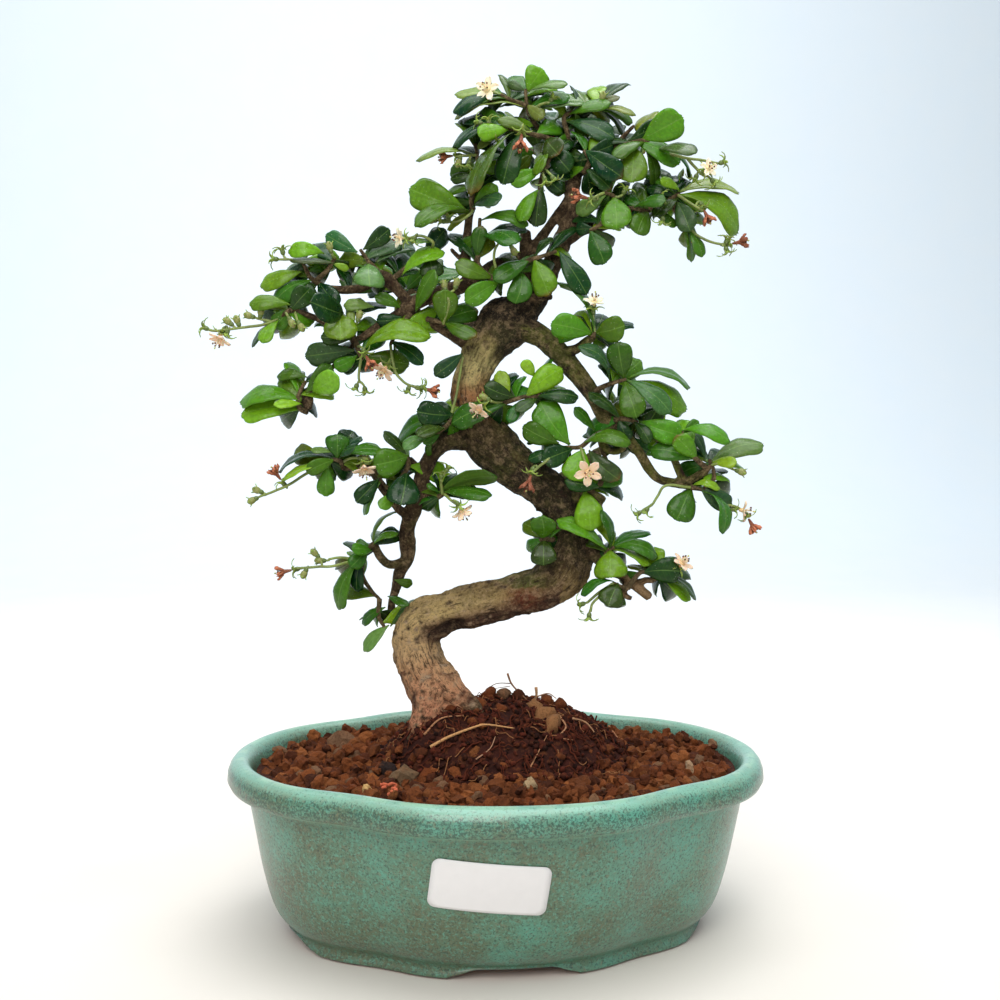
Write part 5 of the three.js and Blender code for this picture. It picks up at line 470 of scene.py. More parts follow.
        blooms=((6.4, 281.6, 9, 3.6, -0.1, -1, 0.3, "wilted"),),
    ),
    Spray(
        "spray_crown_right_top", 3, 3,
        twigs=(((24, 278.5, 0), (23, 285, 2), (22, 291, 2), (28, 293.5, 3), (34, 294, 3)),),
        leaves=((22.5, 290, 18, 296, 3, "fresh"), (23, 292, 34.5, 299, 3, "pale"),
                (23, 291.5, 38.5, 296.5, 4, "mid", 0.1, 4), (34, 294.3, 41.5, 298.5, 2.4, "grey"),
                (34, 294, 47.5, 291.5, 2, "pale", 0.1, 4), (33, 293.5, 46.5, 289, 3, "mid", 0.1, 7),
                (34, 293.8, 45, 283.5, 2, "dark", 0.1, -3), (23, 289, 40, 284.5, 6, "grey", 0.1, 7),
                (23, 286, 31, 290, 4, "dark", 0.1, -5)),
        buds=((35.4, 297.4, 4, 0.2, 1),),
    ),
    Spray(
        "spray_crown_right", -4, 3,
        twigs=(((39.5, 280, -1), (45, 281.5, 2), (51, 282.5, 3), (55, 279, 2)),
               ((29, 271, 1), (31, 275.5, 4), (29, 279, 5))),
        leaves=((50, 283, 64.5, 291, 10.5, "bright"), (45, 282.5, 57.5, 288, 6.5, "dark", 0.1, -4),
                (47, 282, 64, 275.5, 6, "bright", 0.1, 4), (51, 282, 39.5, 277.5, 3.5, "mid", 0.1, 7),
                (47, 281, 46, 267.5, 10, "mid", 0.1, 6), (29.5, 279, 43, 269.5, 8, "dark", 0.1, 4),
                (29.5, 272.5, 39, 265.5, 5, "dark", 0.1, 4), (50.5, 281.5, 55, 266.5, 4, "mid", 0.1, 3),
                (55, 279, 68.5, 270, 2, "mid", 0.2), (55, 279.5, 69, 279.5, 3, "grey")),
        stalks=((5, (56, 279), (64, 277), (73, 275.5), (77, 274.8)),
                (5, (66, 276.5), (71, 271.2), (73.2, 270))),
        cups=((79, 275.2, 5, 1, 0.3), (75.8, 268, 5, 0.7, -0.8), (69.2, 269.4, 5, -0.4, -1)),
        blooms=((74, 273.2, 8, 3.6, 0.5, 0.4, 0.8, "white"),),
    ),
    Spray(
        "spray_crown_right_end", -6, 2,
        twigs=(((57.5, 259.5), (60, 261.5), (63.5, 264)), ((60, 261.5), (63.5, 256), (66.5, 251.5))),
        leaves=((61, 263, 51.5, 266, 4, "dark"), (62, 264, 62, 270.5, 7, "dark", 0.1, -8),
                (63.5, 265, 57, 269, 3, "bright", 0.1, 5), (63.5, 264.5, 85, 265.5, 4, "pale", 0.1, 2),
                (63.5, 263.5, 85.5, 250.5, 7, "bright", 0.18),
                (62.5, 261, 67.5, 250.5, 7, "grey", 0.1, 6), (61, 260, 69.5, 240, 4, "mid", 0.1, 4),
                (66.5, 251.5, 72.5, 242, 3, "mid"), (63, 263, 74.5, 260.5, 7, "bright", 0.1, -5),
                (63, 262, 54.5, 256.5, 4, "dark", 0.1, 6)),
        stalks=((4, (66.5, 251.3), (71, 248.5), (75, 246.8), (79, 245.9)),
                (4, (63.5, 262.5), (69, 259.5), (72, 258))),
        cups=((80.8, 247.4, 4, 0.4, 1), (80.8, 243.6, 4, 0.4, -1), (57.4, 254, 6, -0.2, -1),
              (57.2, 262.6, 6, -0.6, 1)),
        blooms=((85.8, 246.8, 4, 3.3, 1, 0.2, 0.2, "wilted"),
                (73.6, 255.6, 4, 3.2, 0.5, -1, 0.2, "wilted")),
    ),
    Spray(
        "spray_crown_right_low", -6, 2,
        twigs=(((37, 254.5, -1), (40, 257, 1), (40, 262.5, 2), (36.5, 264, 3)),
               ((40, 257, 1), (46, 258.5, 2), (53, 257.5, 2)),
               ((40, 257, 1), (35, 252.5, 3), (31.5, 250.5, 3))),
        leaves=((31.5, 250.5, 37, 238.5, 8, "mid"), (52.5, 257.3, 48.5, 249.5, 7.5, "mid", 0.1, 5),
                (53, 257.5, 63, 252.5, 3, "mid"), (40, 262.5, 41, 251, 10, "bright", 0.1, 5),
                (37, 263, 26.5, 256.5, 5.5, "pale"), (51, 258, 43.5, 263, 4, "mid", 0.1, -4),
                (47, 258.5, 58.5, 261.5, 3, "mid", 0.1, 5)),
        stalks=((5, (36, 263.6), (33.5, 262.5), (32, 261.6)),),
        cups=((44, 265, 3, 0.5, 1),),
        blooms=((27.6, 262.6, 6, 3.6, -1, 0.2, 0.3, "wilted"),),
    ),
    Spray(
        "spray_back_left", 38, 10,
        twigs=(((-30, 227), (-37, 229, -3), (-45, 229, -4)),
               ((-32, 227.6), (-33, 233, -8), (-30, 240, -9))),
    ),
    Spray(
        "spray_back_crown", 36, 12,
        twigs=(((14, 277), (9, 279, -3), (2, 281, -4)),
               ((15, 276.5, 2), (21, 280, -4), (30, 281.5, -3), (38, 280, 2))),
    ),
    Spray(
        "spray_back_right", 37, 10,
        twigs=(((43, 175), (50, 177, -2), (58, 176, -3)), ((42, 174.6), (41, 181, -5), (43, 188, -6))),
    ),
)


# Display colours of the tones: bright and dark are partly the leaf's own green, partly painted light and
# shade; grey and pale stand for a painted sheen.
TONE_COLOURS: dict[Tone, Colour] = {
    Tone.BRIGHT: (0.37, 0.54, 0.09),
    Tone.MID: (0.21, 0.37, 0.07),
    Tone.DARK: (0.085, 0.20, 0.075),
    Tone.GREY_SHEEN: (0.18, 0.28, 0.16),
    Tone.PALE_SHEEN: (0.37, 0.48, 0.22),
    Tone.FRESH: (0.48, 0.62, 0.14),
    Tone.OLIVE: (0.29, 0.37, 0.08),
    Tone.UNDER: (0.37, 0.46, 0.16),
}


def linear(colour: Sequence[float]) -> Array:
    """Turn display colours into the linear ones that a shader takes.

    Args:
        colour: one colour, or an array of them in its last axis.

    Returns:
        The same colours as linear light.
    """
    values = np.asarray(colour, float)
    return np.where(values <= 0.04045, values / 12.92, ((values + 0.055) / 1.055) ** 2.4)


def lattice_noise(points: Array, size: float, seed: int) -> Array:
    """Smooth random values in space, from -1 to 1.

    Args:
        points: places, one in each row.
        size: the width of one lump, in the units of the places.
        seed: which noise it is.

    Returns:
        One value for each place.
    """
    scaled = points / size + seed * 11.37
    cell = np.floor(scaled).astype(np.int64)
    inside = scaled - cell
    ease = inside * inside * (3 - 2 * inside)
    total = np.zeros(len(points))
    for corner in range(8):
        step = np.array([corner & 1, corner >> 1 & 1, corner >> 2 & 1])
        place = cell + step
        mixed = place[:, 0] * 73856093 ^ place[:, 1] * 19349663 ^ place[:, 2] * 83492791 ^ seed * 2654435
        mixed = (mixed ^ mixed >> 13) * 1274126177 & 0xFFFFFFFF
        mixed = mixed ^ mixed >> 16
        share = np.prod(np.where(step == 1, ease, 1 - ease), axis=1)
        total += share * ((mixed & 0xFFFF) / 32767.5 - 1)
    return total


def layered_noise(points: Array, size: float, seed: int, layers: int = 3) -> Array:
    """Sum noise of several sizes, each half as wide and half as strong as the last.

    Args:
        points: places, one in each row.
        size: the width of the widest lump.
        seed: which noise it is.
        layers: how many sizes.

    Returns:
        One value for each place, roughly from -1 to 1.
    """
    total = np.zeros(len(points))
    for layer in range(layers):
        total += lattice_noise(points, size / 2**layer, seed + 31 * layer) / 2**layer
    return total / (2 - 0.5 ** (layers - 1))


class Draws:
    """Repeatable random numbers from 0 to 1, the same as the part's own source draws."""

    def __init__(self, seed: int) -> None:
        """Start from a seed."""
        self.state = seed & 0xFFFFFFFF

    def __call__(self) -> float:
        """Draw the next number.

        Returns:
            The number, from 0 to 1.
        """
        whole = 0xFFFFFFFF
        self.state = (self.state + 0x6D2B79F5) & whole
        mixed = self.state
        mixed = (mixed ^ mixed >> 15) * (mixed | 1) & whole
        mixed ^= (mixed + ((mixed ^ mixed >> 7) * (mixed | 61) & whole)) & whole
        return ((mixed ^ mixed >> 14) & whole) / 4294967296


@dataclass(frozen=True)
class Sight:
    """Where the plant is seen from, and how a place in that view becomes a place in the frame."""

    distance: float = 434.2
    height: float = 167.2
    turn: float = 0.117
    shift: float = 0.0

    def turned(self, points: Array) -> Array:
        """Turn places from the view's axes to the frame's.

        Args:
            points: places or directions as x, y, z rows.

        Returns:
            The same, turned about the upright and shifted along x.
        """
        cos, sin = math.cos(self.turn), math.sin(self.turn)
        x, y, z = points[..., 0], points[..., 1], points[..., 2]
        return np.stack([x * cos + y * sin + self.shift, -x * sin + y * cos, z], -1)

    def seen(self, x: float, z: float, y: float) -> Array:
        """Find the place that is seen at a point of the view.

        Args:
            x, z: the point, in the trunk's plane.
            y: how far the place lies behind that plane along the sight line.

        Returns:
            The place in the frame.
        """
        spread = 1 + y / self.distance
        return self.turned(
            np.array([x * spread, y, self.height + (z - self.height) * spread], float)
        )

    @property
    def eye(self) -> Array:
        """Return the place of the eye."""
        return self.turned(np.array([0.0, -self.distance, self.height]))


def unit(vector: Array) -> Array:
    """Return the vector, or each row of an array, with a length of one."""
    return vector / np.maximum(np.linalg.norm(vector, axis=-1, keepdims=True), 1e-12)


def add_object(name: str, data: bpy.types.ID) -> Object:
    """Show some data in the scene.

    Args:
        name: the new object's name.
        data: its mesh, light or camera.

    Returns:
        The object.
    """
    made = bpy.data.objects.new(name, data)
    bpy.context.scene.collection.objects.link(made)
    return made


def lay_on(mesh: bpy.types.Mesh, paint: Array, place: Array) -> None:
    """Store a colour and a place at each corner of a mesh for its finish to read.

    Args:
        mesh: the mesh.
        paint: linear colour and alpha of each corner.
        place: three numbers of each corner.
    """
    for name, kind, key, values in (
        ("paint", "FLOAT_COLOR", "color", paint), ("place", "FLOAT_VECTOR", "vector", place),
    ):
        mesh.attributes.new(name, kind, "POINT").data.foreach_set(key, values.ravel())


@dataclass
class Form:
    """Points, faces and paint gathered for one piece, in millimetres."""

    points: list[Array] = field(default_factory=list)
    faces: list[Array] = field(default_factory=list)
    finishes: list[Array] = field(default_factory=list)
    paint: list[Array] = field(default_factory=list)
    place: list[Array] = field(default_factory=list)
    count: int = 0

    def add(
        self,
        points: Array,
        faces: Sequence[Array],
        colour: Array | Colour = (1.0, 1.0, 1.0),
        place: Optional[Array] = None,
        finish: int = 0,
    ) -> None:
        """Add a closed body.

        Args:
            points: its corners.
            faces: arrays of corner numbers, each array with one number of corners to a face.
            colour: display colour of all its corners or of each.
            place: three numbers at each corner for the finish to read.
            finish: which of the piece's finishes it takes.
        """
        points = np.asarray(points, float)
        tint = np.zeros((len(points), 4))
        tint[:, :3] = linear(np.clip(colour, 0, 1))
        self.points.append(points)
        self.paint.append(tint)
        self.place.append(np.zeros((len(points), 3)) if place is None else place)
        for group in faces:
            group = np.asarray(group, int)
            if len(group):
                self.faces.append(group + self.count)
                self.finishes.append(np.full(len(group), finish))
        self.count += len(points)

    def piece(
        self, name: str, finishes: Sequence[Material], smooth: bool = True
    ) -> Object:
        """Make the piece in the scene.

        Args:
            name: the piece's name.
            finishes: its materials, in the order of their numbers.
            smooth: whether its faces are shaded smoothly.

        Returns:
            The new object, riding on the part's one body.
        """
        mesh = bpy.data.meshes.new(name)
        rows = [row for group in self.faces for row in group.tolist()]
        mesh.from_pydata((np.concatenate(self.points) * MM).tolist(), [], rows)
        for finish in finishes:
            mesh.materials.append(finish)
        mesh.polygons.foreach_set("material_index", np.concatenate(self.finishes).astype(np.int32))
        mesh.polygons.foreach_set("use_smooth", np.full(len(rows), smooth))
        lay_on(mesh, np.concatenate(self.paint), np.concatenate(self.place))
        mesh.update()
        made = add_object(name, mesh)
        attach(made, "root")
        LOG.info("%s: %d corners, %d faces", name, self.count, len(rows))
        return made


def smooth_path(rows: Array, step: float) -> Array:
    """Draw an even curve through given rows.

    Args:
        rows: places first, then anything that follows them, such as a radius.
        step: the distance between points of the curve.

    Returns:
        The rows of the curve.
    """
    padded = np.vstack([2 * rows[0] - rows[1], rows, 2 * rows[-1] - rows[-2]])
    made = []
    for i in range(len(rows) - 1):
        before, start, end, after = padded[i : i + 4]
        count = max(1, int(round(np.linalg.norm((end - start)[:3]) / step)))
        for t in np.arange(count) / count:
            made.append(
                0.5
                * (
                    2 * start
                    + (end - before) * t
                    + (2 * before - 5 * start + 4 * end - after) * t**2
                    + (3 * start - before - 3 * end + after) * t**3
                )
            )
    made.append(rows[-1])
    return np.array(made)


def frames_along(points: Array) -> tuple[Array, Array, Array]:
    """Carry a square frame along a curve without twisting it.

    Args:
        points: the curve's points.

    Returns:
        The run of the curve and two directions square to it, at each point.
    """
    ahead = np.vstack([points[1:], points[-1:]])
    back = np.vstack([points[:1], points[:-1]])
    runs = unit(ahead - back)
    side = np.array([0.31, -0.9, 0.3])
    sides = []
    for run in runs:
        side = unit(side - run * (side @ run))
        sides.append(side)
    sides = np.array(sides)
    return runs, sides, np.cross(runs, sides)


def ring_faces(rings: int, sides: int) -> list[Array]:
    """List the faces of a stack of rings, closed by fans to two last points.

    Args:
        rings: how many rings.
        sides: how many points in a ring.

    Returns:
        The quads, and the triangles of the two ends.
    """
    level = np.arange(rings - 1)[:, None] * sides
    around = np.arange(sides)
    after = (around + 1) % sides
    quads = np.stack(
        [level + around, level + after, level + sides + after, level + sides + around], -1
    ).reshape(-1, 4)
    first, last = rings * sides, (rings - 1) * sides
    low = np.stack([after, around, np.full(sides, first)], -1)
    high = np.stack([last + around, last + after, np.full(sides, first + 1)], -1)
    return [quads, low, high]


def tube(points: Array, radii: Array, sides: int) -> Body:
    """Make a closed round tube.

    Args:
        points: its centre line.
        radii: its radius at each point.
        sides: how many sides it has.

    Returns:
        The tube's points and faces.
    """
    runs, first, second = frames_along(points)
    angle = np.arange(sides) / sides * math.tau
    rings = (
        points[:, None]
        + radii[:, None, None] * first[:, None] * np.cos(angle)[None, :, None]
        + radii[:, None, None] * second[:, None] * np.sin(angle)[None, :, None]
    )
    ends = np.array([points[0] - runs[0] * radii[0] * 0.4, points[-1] + runs[-1] * radii[-1] * 0.4])
    return np.vstack([rings.reshape(-1, 3), ends]), ring_faces(len(points), sides)


def stack_faces_outward(points: Array, faces: list[Array]) -> list[Array]:
    """Turn every face of a closed body over where the body is inside out.

    Args:
        points: the body's points.
        faces: its faces.

    Returns:
        The faces, looking outward.
    """
    total = 0.0
    for group in faces:
        corners = points[group]
        for k in range(1, group.shape[1] - 1):
            total += np.einsum(
                "ij,ij->", corners[:, 0], np.cross(corners[:, k], corners[:, k + 1])
            )
    return faces if total >= 0 else [group[:, ::-1] for group in faces]


def closed_stack(rings: Sequence[Array], ends: Array) -> Body:
    """Join rings of points into one closed body.

    Args:
        rings: the rings in order, all with the same number of points.
        ends: the two points that close the first ring and the last.

    Returns:
        The body's points and its faces, looking outward.
    """
    points = np.vstack([*rings, ends])
    return points, stack_faces_outward(points, ring_faces(len(rings), len(rings[0])))


class Nodes:
    """A short hand for building one material out of shader nodes."""

    def __init__(self, name: str) -> None:
        """Start a material with a plain surface shader.

        Args:
            name: the material's name.
        """
        self.material = bpy.data.materials.new(name)
        self.material.use_nodes = True
        self.tree = self.material.node_tree
        self.surface = self.tree.nodes["Principled BSDF"]

    def node(self, kind: str, **values: object) -> bpy.types.Node:
        """Add a node and set its own properties.

        Args:
            kind: the node's type.
            values: its properties by name.

        Returns:
            The node.
        """
        made = self.tree.nodes.new(kind)
        for key, value in values.items():
            setattr(made, key, value)
        return made

    def link(self, source: Socket, target: Socket) -> None:
        """Join two sockets."""
        self.tree.links.new(source, target)

    def feed(self, socket: Socket, value: object) -> None:
        """Set what a socket takes.

        Args:
            socket: the socket.
            value: a link's source, a number or a display colour.
        """
        if isinstance(value, Socket):
            self.link(value, socket)
        else:
            socket.default_value = (*linear(value), 1.0) if isinstance(value, tuple) else value

    def position(self) -> Socket:
        """Read the place on the object.

        Returns:
            The place in millimetres.
        """
        where = self.node("ShaderNodeTexCoord").outputs["Object"]
        scaled = self.node("ShaderNodeVectorMath", operation="MULTIPLY")
        self.link(where, scaled.inputs[0])
        scaled.inputs[1].default_value = (1 / MM,) * 3
        return scaled.outputs[0]

    def parts(self, vector: Socket) -> Sequence[Socket]:
        """Take a vector apart.

        Args:
            vector: the vector.

        Returns:
            Its three numbers.
        """
        made = self.node("ShaderNodeSeparateXYZ")
        self.link(vector, made.inputs[0])
        return made.outputs

    def attribute(self, name: str) -> bpy.types.Node:
        """Return a node that reads what a mesh holds at its corners."""
        return self.node("ShaderNodeAttribute", attribute_name=name)

    def math(self, operation: str, first: object, second: object = 0.0) -> Socket:
        """Work out one sum.

        Args:
            operation: the kind of sum.
            first, second: its numbers or sockets.

        Returns:
            The result.
        """
        made = self.node("ShaderNodeMath", operation=operation)
        self.feed(made.inputs[0], first)
        self.feed(made.inputs[1], second)
        return made.outputs[0]

    def noise(
        self, where: Socket, size: float, detail: float = 2.0, rough: float = 0.5
    ) -> Socket:
        """Make noise.

        Args:
            where: the place it is read at.
            size: the width of a lump in millimetres.
            detail: how many finer layers it has.
            rough: how strong they are.

        Returns:
            The noise, from 0 to 1.
        """
        made = self.node("ShaderNodeTexNoise")
        self.link(where, made.inputs["Vector"])
        made.inputs["Scale"].default_value = 1 / size
        made.inputs["Detail"].default_value = detail
        made.inputs["Roughness"].default_value = rough
        return made.outputs["Fac"]

    def cells(self, where: Socket, size: float) -> Socket:
        """Scatter points.

        Args:
            where: the place they are read at.
            size: how far apart they are, in millimetres.

        Returns:
            The distance to the nearest one, in parts of the size.
        """
        made = self.node("ShaderNodeTexVoronoi")
        self.link(where, made.inputs["Vector"])
        made.inputs["Scale"].default_value = 1 / size
        return made.outputs["Distance"]

    def ramp(
        self, value: Socket, stops: Sequence[tuple[float, Colour]]
    ) -> Socket:
        """Lay display colours along a value.

        Args:
            value: the value.
            stops: where each colour stands, and the colour.

        Returns:
            The colour.
        """
        made = self.node("ShaderNodeValToRGB")
        self.link(value, made.inputs["Fac"])
        elements = made.color_ramp.elements
        while len(elements) < len(stops):
            elements.new(0.5)
        for element, (at, colour) in zip(elements, stops):
            element.position = at
            element.color = (*linear(colour), 1.0)
        return made.outputs["Color"]

    def span(
        self, value: object, low: float, high: float, start: float = 0.0, end: float = 1.0
    ) -> Socket:
        """Move a value from one span to another and keep it inside.

        Args:
            value: the value.
            low, high: the span it comes from.
            start, end: the span it goes to.

        Returns:
            The moved value.
        """
        made = self.node("ShaderNodeMapRange")
        self.feed(made.inputs["Value"], value)
        for name, number in (("From Min", low), ("From Max", high), ("To Min", start), ("To Max", end)):
            made.inputs[name].default_value = number
        return made.outputs["Result"]

    def mix(self, share: object, first: object, second: object) -> Socket:
        """Mix two colours.

        Args:
            share: how much of the second.
            first, second: display colours or sockets.

        Returns:
            The mixed colour.
        """
        made = self.node("ShaderNodeMix", data_type="RGBA")
        for number, value in ((0, share), (6, first), (7, second)):
            self.feed(made.inputs[number], value)
        return made.outputs[2]

    def bump(self, height: Socket, depth: float) -> None:
        """Raise the surface.

        Args:
            height: the height as a share.
            depth: how high a share of one is, in millimetres.
        """
        made = self.node("ShaderNodeBump")
        made.inputs["Strength"].default_value = 1.0
        made.inputs["Distance"].default_value = depth * MM
        self.link(height, made.inputs["Height"])
        self.link(made.outputs["Normal"], self.surface.inputs["Normal"])

    def finish(self, colour: object, rough: object, **sockets: object) -> Material:
        """Set the surface's colour, its roughness and other sockets of its own.

        Args:
            colour: a display colour or a socket.
            rough: the roughness or a socket.
            sockets: other inputs, with spaces written as underscores.

        Returns:
            The finished material.
        """
        self.feed(self.surface.inputs["Base Color"], colour)
        self.feed(self.surface.inputs["Roughness"], rough)
        for name, value in sockets.items():
            self.surface.inputs[name.replace("_", " ")].default_value = value
        return self.material


@dataclass(frozen=True)
class Glaze:
    """Mottled turquoise glaze with dark specks, thin and pale where an edge is sharp, with painted shade
    towards the left and the foot and a painted highlight on the rim's top.
    """

    name: str = "teal_glaze"
    olive: Colour = (0.32, 0.365, 0.26)
    sea_green: Colour = (0.31, 0.45, 0.355)
    turquoise: Colour = (0.30, 0.54, 0.455)
    pale_mottle: Colour = (0.36, 0.63, 0.55)
    rusty_mottle: Colour = (0.42, 0.40, 0.30)
    # painted highlight on the rim's top
    rim_highlight: Colour = (0.62, 0.78, 0.70)
    speck: Colour = (0.12, 0.23, 0.19)

    def make(self) -> Material:
        """Build the material.

        Returns:
            The material.
        """
        n = Nodes(self.name)
        where = n.position()
        left_right, _, height = n.parts(where)
        paint = n.attribute("paint")
        # the cloud leans to olive towards the left and the foot: partly the glaze's own olive, partly
        # painted shade on the left side and the lower wall
        cloud = n.math("ADD", n.noise(where, 17, 4, 0.6), n.span(left_right, -90, 60, -0.10, 0.04))
        cloud = n.math("ADD", cloud, n.span(height, 4, 50, -0.06, 0.05))
        base = n.ramp(cloud, [(0.34, self.olive), (0.5, self.sea_green), (0.68, self.turquoise)])
        mottle = n.noise(where, 1.3, 4, 0.8)
        base = n.mix(n.span(mottle, 0.49, 0.64, 0, 0.6), base, self.pale_mottle)
        rusty = n.span(n.noise(where, 1.7, 3, 0.75), 0.53, 0.66, 0, 0.6)
        base = n.mix(rusty, base, self.rusty_mottle)
        # painted highlight: the rim's top is painted paler
        base = n.mix(n.span(height, 59, 61.8, 0.0, 0.4), base, self.rim_highlight)
        # more specks gather under the rolled rim and fewer on its top
        under_rim, on_rim = n.span(height, 52.5, 55, 0.0, 0.07), n.span(height, 58, 61.5, 0.0, 0.10)
        specks = n.math("ADD", n.noise(where, 0.75, 3, 0.7), n.math("SUBTRACT", under_rim, on_rim))
        base = n.mix(n.span(specks, 0.53, 0.62, 0, 0.75), base, self.speck)
        base = n.mix(paint.outputs["Alpha"], base, paint.outputs["Color"])
        n.bump(n.noise(where, 0.8, 3, 0.6), 0.14)
        rough = n.span(mottle, 0.3, 0.7, 0.34, 0.5)
        return n.finish(base, rough, Coat_Weight=0.4, Coat_Roughness=0.12)


@dataclass(frozen=True)
class EvenSkin:
    """A smooth made thing, such as paper or moulded netting, faintly clouded, with fine pores."""

    name: str
    dark: Colour
    light: Colour
    cloud: float
    pore: float
    depth: float
    rough: float

    def make(self) -> Material:
        """Build the material.

        Returns:
            The material.
        """
        n = Nodes(self.name)
        shade = n.ramp(n.noise(n.position(), self.cloud), [(0.3, self.dark), (0.7, self.light)])
        n.bump(n.noise(n.position(), self.pore), self.depth)
        return n.finish(shade, self.rough)


@dataclass(frozen=True)
class PaintedEarth:
    """Dull baked clay, soil or stone: the colour of each lump with dust and pores on it."""

    name: str
    grain: float
    depth: float
    dark: float = 0.45
    rough: float = 0.95
    pore: Colour = (0.09, 0.045, 0.03)
    dust: Colour = (0.62, 0.36, 0.20)

    def make(self) -> Material:
        """Build the material.

        Returns:
            The material.
        """
        n = Nodes(self.name)
        paint = n.attribute("paint").outputs["Color"]
        where = n.position()
        pores = n.noise(where, self.grain, 6, 0.75)
        shade = n.mix(n.span(pores, 0.36, 0.52, self.dark, 0.0), paint, self.pore)
        dust = n.noise(where, self.grain * 2.6, 3)
        shade = n.mix(n.span(dust, 0.52, 0.72, 0, 0.2), shade, self.dust)
        n.bump(n.math("ADD", pores, dust), self.depth)
        return n.finish(shade, self.rough, Specular_IOR_Level=0.15)


@dataclass(frozen=True)
class Bark:
    """Furrowed bark, painted by the form and broken up by fine cracks and flakes."""

    name: str = "bark"
    flake: Colour = (0.95, 0.80, 0.62)
    flake_edge: Colour = (0.26, 0.14, 0.09)
    crack: Colour = (0.17, 0.11, 0.065)
    dark_grit: Colour = (0.20, 0.13, 0.09)
    light_grit: Colour = (0.90, 0.78, 0.58)

    def make(self) -> Material:
        """Build the material.

        Returns:
            The material.
        """
        n = Nodes(self.name)
        paint = n.attribute("paint").outputs["Color"]
        grain = n.attribute("place").outputs["Vector"]
        where = n.position()
        cracks = n.noise(grain, 1.0, 5, 0.7)
        flakes = n.noise(where, 3.4, 8, 0.8)
        grit = n.noise(where, 0.9, 4, 0.7)
        shade = n.mix(n.span(flakes, 0.49, 0.58, 0.0, 0.7), paint, n.mix(0.35, paint, self.flake))
        shade = n.mix(n.span(flakes, 0.38, 0.44, 0.6, 0.0), shade, self.flake_edge)
        patchy = n.span(n.noise(where, 9, 3), 0.42, 0.6, 0.2, 1.0)
        split = n.math("MULTIPLY", n.span(cracks, 0.41, 0.49, 0.85, 0.0), patchy)
        shade = n.mix(split, shade, self.crack)
        shade = n.mix(n.span(grit, 0.36, 0.46, 0.55, 0.0), shade, self.dark_grit)
        shade = n.mix(n.span(grit, 0.55, 0.68, 0, 0.3), shade, n.mix(0.5, shade, self.light_grit))
        relief = n.math("ADD", cracks, n.math("MULTIPLY", flakes, 1.4))
        n.bump(n.math("ADD", relief, n.math("MULTIPLY", grit, 0.4)), 2.2)
        return n.finish(shade, 0.88, Specular_IOR_Level=0.25)


@dataclass(frozen=True)
class Foliage:
    """A leathery leaf: glossy, with a pale midrib, faint side veins and tiny white specks."""

    name: str = "leaf"
    warm_cloud: Colour = (0.28, 0.44, 0.06)
    dark_cloud: Colour = (0.06, 0.13, 0.05)
    vein: Colour = (0.45, 0.60, 0.24)
    midrib: Colour = (0.50, 0.64, 0.30)
    speck: Colour = (0.80, 0.86, 0.74)
    underside: Colour = (0.38, 0.50, 0.15)

    def make(self) -> Material:
        """Build the material.

        Returns:
            The material.
        """
        n = Nodes(self.name)
        paint = n.attribute("paint").outputs["Color"]
        along, across, upper = n.parts(n.attribute("place").outputs["Vector"])
        where = n.position()
        side = n.math("ABSOLUTE", across)
        rib = n.span(side, 0.006, 0.032, 0.26, 0.0)
        slant = n.math("SUBTRACT", n.math("MULTIPLY", along, 6.5), n.math("MULTIPLY", side, 1.9))
        saw = n.math("ABSOLUTE", n.math("SUBTRACT", n.math("FRACT", slant), 0.5))
        vein = n.span(saw, 0.0, 0.07, 0.08, 0.0)
        cloud = n.noise(where, 4.5, 3, 0.6)
        warm = n.mix(0.5, paint, self.warm_cloud)
        shade = n.mix(n.span(cloud, 0.35, 0.70, 0.0, 0.3), paint, warm)
        shade = n.mix(n.span(n.noise(where, 1.2, 2), 0.40, 0.6, 0.22, 0.0), shade, self.dark_cloud)
        shade = n.mix(vein, shade, self.vein)
        shade = n.mix(rib, shade, self.midrib)
        shade = n.mix(n.span(n.cells(where, 1.15), 0.10, 0.045, 0.0, 0.75), shade, self.speck)
        low = n.math("SUBTRACT", 1.0, upper)
        shade = n.mix(n.math("MULTIPLY", low, 0.4), shade, self.underside)
        grooves = n.math("MULTIPLY", n.math("ADD", rib, vein), 0.9)
        n.bump(n.math("SUBTRACT", n.noise(where, 1.6, 2), grooves), 0.10)
        rough = n.math("ADD", n.span(cloud, 0.3, 0.7, 0.16, 0.30), n.math("MULTIPLY", low, 0.25))
        return n.finish(
            shade, rough, Specular_IOR_Level=0.2, Subsurface_Weight=0.06, Subsurface_Scale=0.001
        )


@dataclass(frozen=True)
class SoftSkin:
    """Petals, calyxes, buds, stalks and young twigs: painted, with fine streaks."""

    name: str
    rough: float = 0.6
    streak: float = 0.25
    glow: float = 0.0
    dark_streak: Colour = (0.24, 0.16, 0.08)
    pale_fleck: Colour = (0.93, 0.90, 0.78)

    def make(self) -> Material:
        """Build the material.

        Returns:
            The material.
        """
        n = Nodes(self.name)
        paint = n.attribute("paint").outputs["Color"]
        where = n.position()
        streaks = n.noise(where, 0.7, 3, 0.65)
        shade = n.mix(n.span(streaks, 0.35, 0.6, self.streak, 0.0), paint, self.dark_streak)
        shade = n.mix(n.span(n.noise(where, 0.4, 2), 0.55, 0.75, 0, 0.25), shade, self.pale_fleck)
        n.bump(streaks, 0.12)
        return n.finish(shade, self.rough, Subsurface_Weight=self.glow, Subsurface_Scale=0.001)


@dataclass(frozen=True)
class StudioFloor:
    """Pale matt floor."""

    name: str = "studio_floor"
    near: Colour = (0.84, 0.81, 0.775)
    far: Colour = (0.87, 0.90, 0.92)
    cloud: Colour = (0.93, 0.91, 0.88)

    def make(self) -> Material:
        """Build the material.

        Returns:
            The material.
        """
        n = Nodes(self.name)
        shade = n.mix(n.span(n.parts(n.position())[1], 100, 1500), self.near, self.far)
        shade = n.mix(n.span(n.noise(n.position(), 60), 0.3, 0.7, 0, 0.1), shade, self.cloud)
        return n.finish(shade, 0.8)


